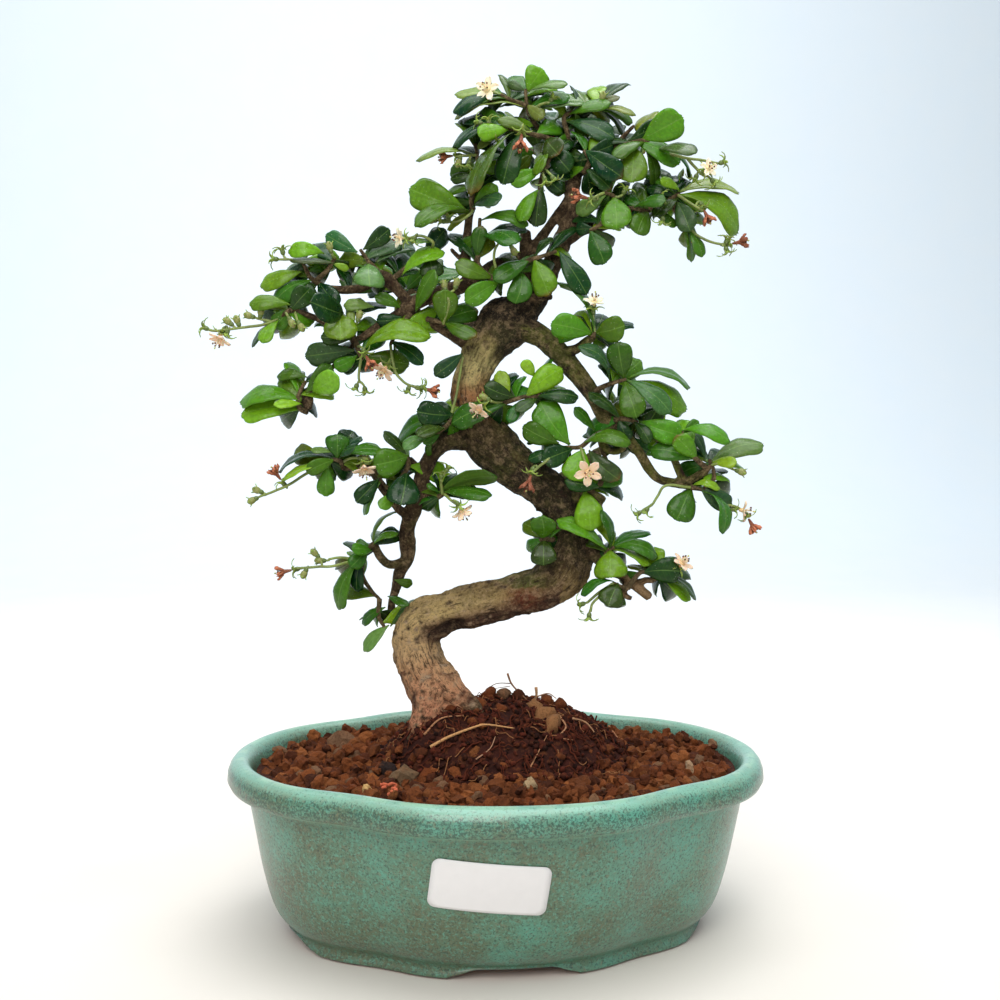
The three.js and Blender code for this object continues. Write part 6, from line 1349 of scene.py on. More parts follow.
def thin_sheet(
    grid: Array, thickness: Array | float, upper: Optional[Array] = None
) -> Body:
    """Give a sheet of points a thickness and close it all round.

    Args:
        grid: the sheet's middle, as rows of points.
        thickness: how thick it is, all over or at each point.
        upper: the way its first face looks, or nothing where that doesn't matter.

    Returns:
        The points, first face and then the other, and faces that look outward.
    """
    normals = unit(np.cross(np.gradient(grid, axis=0), np.gradient(grid, axis=1)))
    if upper is not None and np.einsum("ijk,k->", normals, upper) < 0:
        normals = -normals
    rows, columns = grid.shape[:2]
    lift = normals * (np.broadcast_to(thickness, (rows, columns)) / 2)[..., None]
    points = np.concatenate([(grid + lift).reshape(-1, 3), (grid - lift).reshape(-1, 3)])
    number = np.arange(rows * columns).reshape(rows, columns)
    face = np.stack(
        [number[:-1, :-1], number[1:, :-1], number[1:, 1:], number[:-1, 1:]], -1
    ).reshape(-1, 4)
    loop = np.concatenate([number[:, 0], number[-1, 1:], number[::-1, -1][1:], number[0, ::-1][1:]])
    start, end = loop[:-1], loop[1:]
    whole = rows * columns
    rim = np.stack([start + whole, end + whole, end, start], -1)
    return points, stack_faces_outward(points, [face, face[:, ::-1] + whole, rim])


def rough_ball() -> tuple[Array, Array]:
    """Build a ball of 80 faces with a radius of one.

    Returns:
        Its points and triangles.
    """
    ring = np.arange(5) * math.tau / 5
    flat, tall = 2 / math.sqrt(5), 1 / math.sqrt(5)
    high = np.stack([flat * np.cos(ring), flat * np.sin(ring), np.full(5, tall)], -1)
    turned = ring + math.pi / 5
    low = np.stack([flat * np.cos(turned), flat * np.sin(turned), np.full(5, -tall)], -1)
    points = [tuple(p) for p in np.vstack([[0, 0, 1], high, low, [0, 0, -1]])]
    faces = []
    for k in range(5):
        after = (k + 1) % 5
        faces += [(0, 1 + k, 1 + after), (1 + k, 6 + k, 1 + after)]
        faces += [(1 + after, 6 + k, 6 + after), (11, 6 + after, 6 + k)]
    halves: dict[tuple[int, int], int] = {}

    def halfway(a: int, b: int) -> int:
        """Find the point between two others, or make it.

        Args:
            a, b: their numbers.

        Returns:
            Its number.
        """
        key = (min(a, b), max(a, b))
        if key not in halves:
            halves[key] = len(points)
            points.append(tuple(unit(np.array(points[a]) + np.array(points[b]))))
        return halves[key]

    finer = []
    for a, b, c in faces:
        ab, bc, ca = halfway(a, b), halfway(b, c), halfway(c, a)
        finer += [(a, ab, ca), (ab, b, bc), (ca, bc, c), (ab, bc, ca)]
    return np.array(points), np.array(finer)


@dataclass
class Pot:
    """The quatrefoil pot: a ring stack from its underside, over the rim and down to its floor."""

    corner_dip: float = 0.05
    corner_angle: float = 0.93
    corner_spread: float = 0.22
    floor_underside: float = 3.6
    floor_top: float = 13.0
    foot_wall: float = 9.0
    long_side_gap: float = 21.5
    short_side_gap: float = 27.0
    hole_radius: float = 7.0
    hole_offset: float = 38.0
    longest_foot_ring: float = 83.0
    lip_height: float = 62.5
    rim_underside: float = 52.7
    bare_foot_rows: int = 6
    thin_glaze: Colour = (0.56, 0.72, 0.60)
    # painted highlight on the rim's top face
    rim_top_highlight: Colour = (0.42, 0.63, 0.55)
    bare_clay: Colour = (0.60, 0.42, 0.29)
    steps: int = 360
    shift: float = 0.0
    wall: tuple = (
        (0, 75.6, 52.3), (3.4, 74.6, 51.4), (7.5, 78.4, 55.2), (13, 81.2, 58.8), (24, 84.2, 63.2),
        (38, 86.9, 67.9), (52.6, 89.7, 71.2),
    )
    rim: tuple = (
        (52.5, 91.4, 72.9), (52.8, 93.9, 75.3), (53.6, 95.5, 77.0), (55.4, 96.4, 77.9),
        (58.0, 96.2, 77.7), (60.2, 95.4, 76.9), (61.7, 94.2, 75.7), (62.5, 92.7, 74.2),
        (62.6, 91.2, 72.7), (62.1, 89.9, 71.4), (61.0, 88.9, 70.3), (59.2, 88.0, 69.4),
    )
    inside: tuple = (
        (57.0, 87.0, 68.4), (52.5, 85.4, 66.8), (48, 83.9, 65.2), (36, 81.4, 62.2), (24, 79.2, 58.2),
        (16, 72.0, 50.0),
        (13.0, 67.6, 44.8),
    )

    def spread(self, angle: Array) -> Array:
        """Draw the outline in at four places.

        Args:
            angle: the way out from the middle.

        Returns:
            How far out the outline lies there, as a share.
        """
        pull = np.zeros_like(angle)
        for centre in (1, -1, math.pi / self.corner_angle - 1, 1 - math.pi / self.corner_angle):
            off = angle - centre * self.corner_angle
            off = np.arctan2(np.sin(off), np.cos(off))
            pull += np.exp(-((off / self.corner_spread) ** 2))
        return 1 - self.corner_dip * pull

    def ring(self, half_length: float, half_depth: float, height: float, steps: int) -> Array:
        """Lay the outline out at one size and height.

        Args:
            half_length, half_depth: its size.
            height: its height.
            steps: how many points it has.

        Returns:
            Its points.
        """
        angle = np.arange(steps) / steps * math.tau
        share = self.spread(angle)
        return np.stack(
            [
                half_length * np.cos(angle) * share + self.shift,
                half_depth * np.sin(angle) * share,
                np.full(steps, float(height)),
            ],
            -1,
        )

    def size_at(self, height: float) -> tuple[float, float]:
        """Return the outer wall's half length and half depth at a height."""
        z, length, depth = np.array(self.outer_rows()).T
        return float(np.interp(height, z, length)), float(np.interp(height, z, depth))

    def outer_rows(self) -> list[tuple[float, float, float]]:
        """Return the wall's rows drawn as an even curve from the foot to the rim."""
        return [tuple(row) for row in smooth_path(np.array(self.wall, float), 2.2)]

    def arch(self, ring: Array) -> Array:
        """Raise the pot's lower edge between its feet.

        Args:
            ring: points of that edge.

        Returns:
            How high each is lifted.
        """
        inside = np.array([-0.5, 1.0, 3.0, 5.0, 7.5, 9.5])
        rise = np.array([0.0, 0.7, 1.3, 2.0, 3.1, 3.5])
        x, y = np.abs(ring[:, 0] - self.shift), np.abs(ring[:, 1])
        along = np.interp(self.long_side_gap - x, inside, rise, left=0)
        aside = np.interp(self.short_side_gap - y, inside, rise, left=0)
        return np.maximum(np.where(y > x * 0.4, along, 0), np.where(x > y, aside, 0))

    def form(self) -> Form:
        """Build the whole pot as one closed body, its edges painted.

        Returns:
            The pot without its drain holes.
        """
        foot_length, foot_depth = self.wall[0][1:]
        recess = (foot_length - self.foot_wall, foot_depth - self.foot_wall)
        rows = [
            (self.floor_underside, recess[0] * 0.5, recess[1] * 0.5),
            (self.floor_underside, recess[0] - 1, recess[1] - 1),
            (self.floor_underside - 0.6, *recess), (1.8, *recess), (0.6, *recess),
            (0.0, recess[0] + 0.6, recess[1] + 0.6), (0.0, foot_length - 0.9, foot_depth - 0.9),
            (0.25, foot_length - 0.25, foot_depth - 0.25),
        ]
        rows += [(z + 0.7 if i == 0 else z, a, b) for i, (z, a, b) in enumerate(self.outer_rows())]
        rows += list(self.rim) + list(self.inside)
        rows += [(self.floor_top, self.inside[-1][1] * s, self.inside[-1][2] * s) for s in (0.8, 0.5)]
        rings = []
        top = self.floor_underside + 0.2
        for height, length, depth in rows:
            ring = self.ring(length, depth, height, self.steps)
            if height < top and length < self.longest_foot_ring:
                lift = self.arch(ring)
                ring[:, 2] = lift + height * (top - lift) / top
            rings.append(ring)
        ends = np.array([[self.shift, 0, top], [self.shift, 0, self.floor_top]])
        form = Form()
        form.add(*closed_stack(rings, ends))
        form.paint[0] = self.edges(form.points[0], len(rings))
        return form

    def edges(self, points: Array, rings: int) -> Array:
        """Paint thin glaze on the edges, a painted highlight on the rim's top, and leave the feet's lower
        edge bare.

        Args:
            points: the pot's points.
            rings: how many rings they make.

        Returns:
            Linear colours, with how strong they are as alpha.
        """
        z = points[:, 2]
        spots = layered_noise(points * np.array([1, 1, 2.0]), 5, 3)
        paint = np.zeros((len(points), 4))
        paint[:, :3] = linear(self.thin_glaze)
        lip = np.exp(-(((z - self.lip_height) / 0.5) ** 2)) * (0.45 + 0.5 * spots)
        rolled = np.exp(-(((z - self.rim_underside) / 0.5) ** 2)) * (0.55 + 0.3 * spots)
        paint[:, 3] = np.clip(np.maximum(lip, rolled), 0, 0.85)
        # painted highlight: the rim's top face is painted paler where the thin glaze is faint
        rim_top_highlight = (z > 61.2) & (paint[:, 3] < 0.4)
        paint[rim_top_highlight, :3] = linear(self.rim_top_highlight)
        paint[rim_top_highlight, 3] = 0.4
        foot = np.zeros(len(points), bool)
        foot[: rings * self.steps] = np.arange(rings).repeat(self.steps) <= self.bare_foot_rows
        foot[-2] = True
        paint[foot, :3] = linear(self.bare_clay)
        paint[foot, 3] = 1
        return paint

    def build(self, glaze: Material) -> Object:
        """Make the pot and cut its two drain holes.

        Args:
            glaze: its finish.

        Returns:
            The pot.
        """
        pot = self.form().piece("glazed_pot", [glaze])
        drills = Form()
        for side in (-1, 1):
            line = np.array([[side * self.hole_offset + self.shift, 0, z] for z in (-1.0, 8.0, 18.0)])
            drills.add(*tube(line, np.full(3, self.hole_radius), 48))
        cutter = drills.piece("hole_cutter", [])
        cut = pot.modifiers.new("holes", "BOOLEAN")
        cut.operation, cut.object, cut.solver = "DIFFERENCE", cutter, "EXACT"
        settle(pot)
        bpy.data.objects.remove(cutter)
        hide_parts("pot")
        return pot


def settle(made: Object) -> None:
    """Apply an object's modifiers to its mesh for good.

    Args:
        made: the object.
    """
    bpy.context.view_layer.update()
    graph = bpy.context.evaluated_depsgraph_get()
    mesh = bpy.data.meshes.new_from_object(made.evaluated_get(graph))
    mesh.name = made.name
    made.modifiers.clear()
    made.data = mesh


@dataclass
class Label:
    """The bare paper label that follows the curve of the pot's front wall."""

    width: float = 37.0
    height: float = 17.0
    centre: tuple[float, float] = (-10.0, 35.3)
    tilt: float = -0.09
    corner: float = 2.6
    stand_off: float = 0.35
    thickness: float = 0.35
    wall_steps: int = 721

    def outline(self) -> Array:
        """Draw the label's edge, with four round corners.

        Returns:
            Its points across and up in the label's own plane.
        """
        reach = np.array([self.width, self.height]) / 2 - self.corner
        arc = np.linspace(0, math.pi / 2, 9)
        steps = np.arange(1, 16)[:, None] / 16
        parts = []
        for turn, (side, top) in enumerate(((1, 1), (-1, 1), (-1, -1), (1, -1))):
            angle = (arc + turn * math.pi / 2)[:, None]
            bend = reach * (side, top) + self.corner * np.hstack([np.cos(angle), np.sin(angle)])
            run = reach * ((0, -2 * top) if turn % 2 else (-2 * side, 0))
            parts += [bend, bend[-1] + run * steps]
        return np.vstack(parts)

    def on_wall(self, pot: Pot, across: Array, up: Array) -> Array:
        """Press points of the label's own plane on the pot's front wall.

        Args:
            pot: the pot.
            across, up: the points.

        Returns:
            Their places.
        """
        x = self.centre[0] + across * math.cos(self.tilt) - up * math.sin(self.tilt)
        z = self.centre[1] + across * math.sin(self.tilt) + up * math.cos(self.tilt)
        angle = -np.linspace(math.pi, 0, self.wall_steps)
        share = pot.spread(angle)
        y = np.empty_like(x)
        for i, (one_x, one_z) in enumerate(zip(x.ravel(), z.ravel())):
            length, depth = pot.size_at(float(one_z))
            y.flat[i] = np.interp(one_x, length * np.cos(angle) * share, depth * np.sin(angle) * share)
        return np.stack([x + pot.shift, y, z], -1)

    def build(self, pot: Pot, paper: Material) -> Object:
        """Make the label.

        Args:
            pot: the pot it is stuck to.
            paper: its finish.

        Returns:
            The label.
        """
        edge = self.outline()
        sizes = np.linspace(0.08, 1, 9)[:, None]
        wall = self.on_wall(pot, sizes * edge[:, 0], sizes * edge[:, 1])
        middle = self.on_wall(pot, np.zeros(1), np.zeros(1))[0]
        outward = unit((wall - (pot.shift, 0, 0)) * (1, 1.5, 0) - (0, 0, 12))
        front = wall + outward * (self.stand_off + self.thickness / 2)
        back = wall + outward * (self.stand_off - self.thickness / 2)
        lifts = np.array([[self.stand_off + 0.17], [self.stand_off - 0.17]])
        ends = middle + unit(np.array([-0.1, -1.0, -0.2])) * lifts
        form = Form()
        form.add(*closed_stack([*front, *back[::-1]], ends))
        label = form.piece("bare_label", [paper])
        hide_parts("label")
        return label


# A stone is x, z and radius, some with a colour of their own; a root is its points, each with its
# height over the soil, then its radius and colour; a standing twig is the same without the heights
PEBBLES = (
    (-34.2, 51.0, 3.7, (0.42, 0.33, 0.24)), (-39.8, 53.6, 3.0, (0.16, 0.12, 0.11)),
    (-56.4, 63.8, 4.4, (0.45, 0.33, 0.24)), (-47.8, 45.8, 2.0, (0.78, 0.62, 0.40)),
    (12.0, 48.4, 2.6, (0.66, 0.56, 0.42)), (70.0, 55.0, 2.2, (0.62, 0.50, 0.38)),
)
CREST_GRAINS = (
    (-3.6, 82.2, 2.5), (1.9, 82.8, 2.6), (7.2, 82.6, 2.5), (22.6, 83.0, 2.6), (17.4, 80.0, 2.0),
)
ROOT_KNOBS = ((16.4, 74.5, 5.0), (19.5, 70.8, 3.8), (13.6, 77.6, 3.2))
ROOTS = (
    (
        ((-24.6, 61.8, 0.5), (-18.2, 64.7, 1.2), (-8.6, 67.9, 1.8), (-4.0, 69.0, 1.6), (5.8, 69.0, 0.4)),
        0.62, (0.80, 0.60, 0.40),
    ),
    (((-27.0, 66.5, 0.3), (-21.0, 71.9, 0.8), (-12.6, 73.4, 0.6)), 0.42, (0.70, 0.50, 0.36)),
    (
        ((22.2, 73.7, 0.6), (24.6, 69.0, 1.0), (22.2, 65.8, 0.6), (27.6, 64.7, 0.5)),
        0.4, (0.72, 0.52, 0.38),
    ),
    (((40.2, 70.1, 0.6), (47.6, 60.3, 0.6)), 0.4, (0.66, 0.44, 0.30)),
    (((11.4, 53.8, 0.5), (17.8, 66.5, 0.5)), 0.3, (0.70, 0.50, 0.36)),
    (((-8, 57.5, 0.4), (-3, 61.0, 0.8), (-1, 66, 0.4)), 0.28, (0.74, 0.56, 0.44)),
    (((27, 72.5, 0.8), (32, 70.5, 1.2), (36, 66.5, 0.4)), 0.45, (0.72, 0.54, 0.40)),
)
STANDING_TWIGS = (
    (((3.2, 90.2), (4.6, 86.6), (7.4, 83.4), (10.4, 80.6)), 0.42, (0.62, 0.46, 0.34)),
    (((4.8, 86.6), (-1.0, 86.4), (-5.6, 83.2), (-9.4, 80.8)), 0.2, (0.45, 0.34, 0.28)),
    (((4.2, 85.6), (-0.6, 84.8), (-4.8, 84.0)), 0.16, (0.45, 0.34, 0.28)),
    (((13.6, 85.2), (13.8, 82.6), (13.2, 79.4)), 0.6, (0.76, 0.58, 0.42)),
    (((13.4, 81.6), (18.0, 83.0), (21.0, 81.2)), 0.34, (0.62, 0.46, 0.34)),
    (((-16.0, 84.4), (-11.0, 83.2), (-8.2, 80.4)), 0.2, (0.42, 0.32, 0.26)),
)


@dataclass
class Soil:
    """Baked clay grains round a dark fibrous mound, with roots, pebbles and a fallen flower."""

    pot: Pot
    sight: Sight
    level: float = 59.3
    mound_centre: tuple[float, float] = (4.0, 8.0)
    mound_half_length: float = 46.0
    mound_half_depth: float = 40.0
    mound_rise: float = 20.5
    grain_pitch: float = 4.1
    row_pitch: float = 0.87
    heaped_grains: int = 420
    crumbs: int = 1500
    fibres: int = 420
    foot_roots: int = 9
    base: float = 14.4
    clay_kinds: tuple = (
        (0.36, (0.43, 0.235, 0.12)), (0.30, (0.38, 0.195, 0.095)), (0.18, (0.28, 0.14, 0.075)),
        (0.12, (0.49, 0.285, 0.15)), (0.04, (0.44, 0.32, 0.23)),
    )
    # painted shade: colour of the bed that shows in the gaps between grains
    gap_shade: Colour = (0.24, 0.12, 0.08)
    fallen_lobe: Colour = (0.82, 0.42, 0.30)
    dark_soil: Colour = (0.13, 0.06, 0.045)
    warm_soil: Colour = (0.30, 0.13, 0.09)
    crumb: Colour = (0.27, 0.115, 0.075)
    dark_fibre: Colour = (0.34, 0.15, 0.09)
    pale_fibre: Colour = (0.62, 0.42, 0.27)
    knob: Colour = (0.55, 0.38, 0.24)
    foot_root: Colour = (0.42, 0.26, 0.16)
    ball: tuple = field(default_factory=rough_ball)

    @property
    def middle(self) -> Array:
        """Return the middle of the mound as x and y of the frame."""
        return np.array([self.pot.shift + self.mound_centre[0], self.mound_centre[1]])

    def heights(self, x: Array, y: Array) -> Array:
        """Find how high the soil is.

        Args:
            x, y: places of the frame.

        Returns:
            The soil's height at each.
        """
        own = x - self.pot.shift
        bed = self.level + 0.6 * np.sin(own * 0.11 + 1) + 0.5 * np.sin(y * 0.13)
        across = (own - self.mound_centre[0]) / self.mound_half_length
        deep = (y - self.mound_centre[1]) / self.mound_half_depth
        share = np.maximum(0, 1 - across**2 - deep**2)
        dome = self.level - 1.2 + self.mound_rise * share**0.8
        hump = 5.5 * np.exp(-(((own + 25) / 17) ** 2) - ((y + 6) / 15) ** 2)
        return np.where(share > 0, np.maximum(bed, dome), bed) + hump

    def height_at(self, x: float, y: float) -> float:
        """Return the height of the soil at one place."""
        return float(self.heights(np.array([x]), np.array([y]))[0])

    def share(self, x: Array, y: Array) -> Array:
        """Find how far inside the mound places are.

        Args:
            x, y: places of the frame.

        Returns:
            One in the mound's middle, none at its edge and less outside.
        """
        across = (x - self.pot.shift - self.mound_centre[0]) / self.mound_half_length
        deep = (y - self.mound_centre[1]) / self.mound_half_depth
        return 1 - np.sqrt(across**2 + deep**2)

    def on_soil(self, x: float, z: float) -> Array:
        """Find the place on the soil that is seen at a point of the view.

        Args:
            x, z: the point, in the trunk's plane.

        Returns:
            The place in the frame.
        """
        for y in np.arange(-85.0, 85.0, 0.5):
            where = self.sight.seen(x, z, y)
            if where[2] <= self.height_at(where[0], where[1]):
                return where
        return self.sight.seen(x, z, 0.0)

    def lump(self, draw: Generator, centre: Array, radius: float) -> Array:
        """Shape one grain, uneven and turned at random.

        Args:
            draw: where random numbers come from.
            centre: its middle.
            radius: its radius.

        Returns:
            Its points.
        """
        ball = self.ball[0]
        turn = np.linalg.qr(draw.normal(size=(3, 3)))[0]
        bulge = 1 + 0.20 * np.sin(ball @ draw.normal(0, 3.2, 3) + draw.uniform(0, 6))
        bulge *= 1 + draw.uniform(-0.21, 0.21, len(ball))
        stretch = draw.uniform(0.62, 1.2, 3)
        return centre + (ball * bulge[:, None] * stretch * radius) @ turn

    def scatter(self, draw: Generator) -> list[tuple[float, float, float, float]]:
        """Scatter an even bed of grains, then some heaped on it.

        Args:
            draw: where random numbers come from.

        Returns:
            Each grain's x and y, its height over the bed and its radius.
        """
        placed = []
        length, depth = self.pot.inside[0][1:]
        rows = int(2 * depth / (self.grain_pitch * self.row_pitch)) + 1
        columns = int(2 * length / self.grain_pitch) + 1
        for row in range(rows):
            for column in range(columns):
                x = -length + (column + 0.5 * (row % 2)) * self.grain_pitch + draw.normal(0, 0.6)
                y = -depth + row * self.grain_pitch * self.row_pitch + draw.normal(0, 0.6)
                placed.append((x, y, draw.uniform(-2.0, 0.9), draw.uniform(1.8, 3.1)))
        for _ in range(self.heaped_grains):
            x, y = draw.uniform(-length, length), draw.uniform(-depth, depth)
            placed.append((x, y, draw.uniform(1.2, 3.2), draw.uniform(1.0, 2.6)))
        kept = []
        for x, y, lift, radius in placed:
            angle = np.array([math.atan2(y / depth, x / length)])
            edge = float(self.pot.spread(angle)[0])
            if math.hypot(x / length, y / depth) > edge - (radius + 0.4) / depth:
                continue
            kept.append((x + self.pot.shift, y, lift, radius))
        return kept

    def grain_colour(self, draw: Generator) -> Array:
        """Pick the colour of one grain of baked clay.

        Args:
            draw: where random numbers come from.

        Returns:
            The display colour.
        """
        shares, colours = zip(*self.clay_kinds)
        pick = draw.choice(len(colours), p=shares)
        return np.array(colours[pick]) * draw.uniform(0.86, 1.12)

    def bed(self) -> Body:
        """Build the closed mass of soil under the grains.

        Returns:
            Its points and faces.
        """
        steps, top = 144, self.level - 1.6
        _, length, depth = self.pot.inside[0]
        rows = [
            (self.base, 66.5, 43.5), (24, 77.2, 56.5), (48, length - 0.9, depth - 0.9),
            (self.level - 2.2, length - 0.6, depth - 0.6),
        ]
        rings = [self.pot.ring(half_length, half_depth, z, steps) for z, half_length, half_depth in rows]
        for share in (0.97, 0.9, 0.8, 0.7, 0.6, 0.5, 0.3):
            ring = self.pot.ring(length * share, depth * share, 0, steps)
            ring[:, 2] = top + 0.9 * lattice_noise(ring, 3.5, 5)
            rings.append(ring)
        return closed_stack(rings, np.array([[self.pot.shift, 0, self.base], [self.pot.shift, 0, top]]))

    def build_grains(self, clay: Material) -> Object:
        """Make the bed of grains round the mound, with its pebbles and fallen flower.

        Args:
            clay: their finish.

        Returns:
            The bed.
        """
        draw = np.random.default_rng(GRAIN_SEED)
        form = Form()
        # painted shade: the bed that shows in the gaps between the grains is painted dark
        form.add(*self.bed(), self.gap_shade)
        triangles = self.ball[1]
        for x, y, lift, radius in self.scatter(draw):
            inside = float(self.share(np.array([x]), np.array([y]))[0])
            if inside > 0.05 and not (inside < 0.22 and draw.uniform() < 0.15):
                continue
            place = np.array([x, y, self.height_at(x, y) - 1.4 + lift])
            form.add(self.lump(draw, place, radius), [triangles], self.grain_colour(draw))
        for x, z, radius, colour in PEBBLES:
            place = self.on_soil(x, z) + np.array([0, 0, 0.9])
            form.add(self.lump(draw, place, radius), [triangles], colour)
        for turn in range(4):  # the lobes of the fallen flower
            place = self.on_soil(-41.5 + turn * 0.9, 45.6 - turn * 0.5) + np.array([0, 0, 2.2])
            bent = place + np.cumsum(draw.normal(0, 0.8, (6, 3)), axis=0)
            bent[:, 2] = np.maximum(bent[:, 2], place[2] - 0.4)
            line = smooth_path(bent, 0.6)
            form.add(*tube(line, np.full(len(line), 0.5), 6), self.fallen_lobe)
        bed = form.piece("clay_grains", [clay], smooth=False)
        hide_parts("gravel")
        return bed

    def dome(self) -> Body:
        """Build the closed mass of the mound, its top crumbly.

        Returns:
            Its points and faces.
        """
        steps, levels = 200, 54
        angle = np.arange(steps) / steps * math.tau
        wave = 1 + 0.04 * np.sin(3 * angle + 1) + 0.03 * np.sin(5 * angle)
        centre = self.middle

        def ring(share: float, height: Optional[float]) -> Array:
            """Lay out one ring.

            Args:
                share: its size as a share of the mound's.
                height: its height, or nothing on the mound's top.

            Returns:
                Its points.
            """
            x = centre[0] + self.mound_half_length * wave * share * np.cos(angle)
            y = centre[1] + self.mound_half_depth * wave * share * np.sin(angle)
            flat = np.stack([x, y, np.zeros(steps)], -1)
            if height is not None:
                flat[:, 2] = height
                return flat
            crumbs = 1.1 * lattice_noise(flat, 4.6, 7) + 0.9 * layered_noise(flat, 2.2, 8)
            flat[:, 2] = self.heights(x, y) - 0.4 + crumbs
            return flat

        rings = [ring(0.86, self.base + 3), ring(0.99, 40.0), ring(1.0, self.level - 3.5)]
        rings += [ring(s, None) for s in np.linspace(1, 0.03, levels) ** 0.8]
        ends = np.array([[*centre, self.base + 3], [*centre, self.height_at(*centre)]])
        return closed_stack(rings, ends)

    def spot(self, draw: Generator, spread: float) -> Array:
        """Pick a random place on the mound.

        Args:
            draw: where random numbers come from.
            spread: how far out it may lie, squared, with one at the mound's edge.

        Returns:
            Its x and y.
        """
        angle, share = draw.uniform(0, math.tau), math.sqrt(draw.uniform(0, spread))
        half = np.array([self.mound_half_length, self.mound_half_depth])
        return self.middle + half * share * (math.cos(angle), math.sin(angle))

    def strand(self, draw: Generator, start: Array, steps: int) -> Array:
        """Lay a curly fibre on the soil.

        Args:
            draw: where random numbers come from.
            start: its first x and y.
            steps: how many points it has.

        Returns:
            Its points.
        """
        heading = draw.uniform(0, math.tau)
        x, y = start
        line = []
        for _ in range(steps):
            heading += draw.normal(0, 0.55)
            x, y = x + 1.3 * math.cos(heading), y + 1.3 * math.sin(heading)
            line.append((x, y, self.height_at(x, y) + 0.2 + abs(draw.normal(0, 0.9))))
        return np.array(line)

    def build_mound(self, soil: Material, trunk_foot: Array) -> Object:
        """Make the mound of dark soil, its crumbs, fibres and roots.

        Args:
            soil: its finish.
            trunk_foot: where the trunk enters it.

        Returns:
            The mound.
        """
        draw = np.random.default_rng(MOUND_SEED)
        form = Form()
        points, faces = self.dome()
        shade = 0.5 + 0.5 * layered_noise(points, 5, 12)
        dark, warm = np.array(self.dark_soil), np.array(self.warm_soil)
        form.add(points, faces, dark + (warm - dark) * shade[:, None])
        triangles = self.ball[1]
        for _ in range(self.crumbs):
            x, y = self.spot(draw, 1.12)
            radius = draw.uniform(0.5, 1.35)
            colour = np.array(self.crumb) * draw.uniform(0.45, 1.3)
            if draw.uniform() < 0.025:
                radius, colour = draw.uniform(1.3, 2.2), self.grain_colour(draw)
            place = np.array([x, y, self.height_at(x, y) + radius * 0.25])
            form.add(self.lump(draw, place, radius), [triangles], colour)
        for _ in range(self.fibres):
            start = self.spot(draw, 1.1)
            line = smooth_path(self.strand(draw, start, int(draw.integers(4, 10))), 1.0)
            thick = draw.choice([0.16, 0.22, 0.32])
            colour = self.dark_fibre
            if draw.uniform() >= 0.8:
                thick, colour = 0.16, self.pale_fibre
            form.add(*tube(line, np.full(len(line), thick), 4), colour)
        for row, thick, colour in ROOTS:
            line = np.array([self.on_soil(x, z) + np.array([0, 0, 0.7 + lift]) for x, z, lift in row])
            line = smooth_path(line, 0.8)
            radii = thick * (1 - 0.6 * np.linspace(0, 1, len(line)))
            form.add(*tube(line, radii, 7), colour)
        crest = self.mound_centre[1] + 2
        for row, thick, colour in STANDING_TWIGS:
            line = smooth_path(np.array([self.sight.seen(x, z, crest) for x, z in row]), 0.8)
            form.add(*tube(line, np.linspace(thick, thick * 0.5, len(line)), 6), colour)
        for x, z, radius in CREST_GRAINS:
            place = self.sight.seen(x, z, crest)
            place[2] = self.height_at(place[0], place[1]) + radius * 0.75
            form.add(self.lump(draw, place, radius), [triangles], self.grain_colour(draw))
        for x, z, radius in ROOT_KNOBS:
            form.add(self.lump(draw, self.on_soil(x, z), radius), [triangles], self.knob)
        for turn in range(self.foot_roots):
            angle = turn * 0.7 + 0.2
            out = np.array([math.cos(angle), math.sin(angle), 0])
            slope = ((6.5, 7), (9.5, 2.5), (12.5, -1.0))
            foot = [trunk_foot + out * away + np.array([0, 0, lift]) for away, lift in slope]
            line = smooth_path(np.array(foot), 1.0)
            line[:, 2] += 0.4 * lattice_noise(line, 2.0, 3)
            form.add(*tube(line, np.linspace(2.2, 0.7, len(line)), 8), self.foot_root)
        mound = form.piece("root_mound", [soil])
        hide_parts("root_ball")
        return mound


ROOT_FLARES: tuple[tuple[LimbPoint, ...], ...] = (
    ((-23, 90, 6.5, 0), (-19, 85, 6, -2), (-14.5, 81, 4.8, -3), (-10, 78, 3.6, -4), (-6, 73, 2.6, -4)),
    ((-24, 84, 7.0, -2), (-25.5, 76, 5.6, -4), (-28, 70, 4.4, -6), (-31, 63, 3.2, -8)),
)


# The bark's colour at each height in the front view
BARK_BY_HEIGHT = (
    (55, (0.70, 0.42, 0.30)), (70, (0.86, 0.56, 0.42)), (86, (0.88, 0.64, 0.47)),
    (98, (0.86, 0.70, 0.50)), (112, (0.84, 0.72, 0.48)), (121, (0.58, 0.48, 0.30)),
    (130, (0.27, 0.22, 0.11)), (152, (0.20, 0.175, 0.085)), (166, (0.20, 0.175, 0.085)),
    (182, (0.36, 0.30, 0.16)), (189, (0.72, 0.48, 0.30)), (200, (0.90, 0.83, 0.56)),
    (211, (0.62, 0.56, 0.34)), (219, (0.15, 0.125, 0.07)), (320, (0.28, 0.20, 0.12)),
)


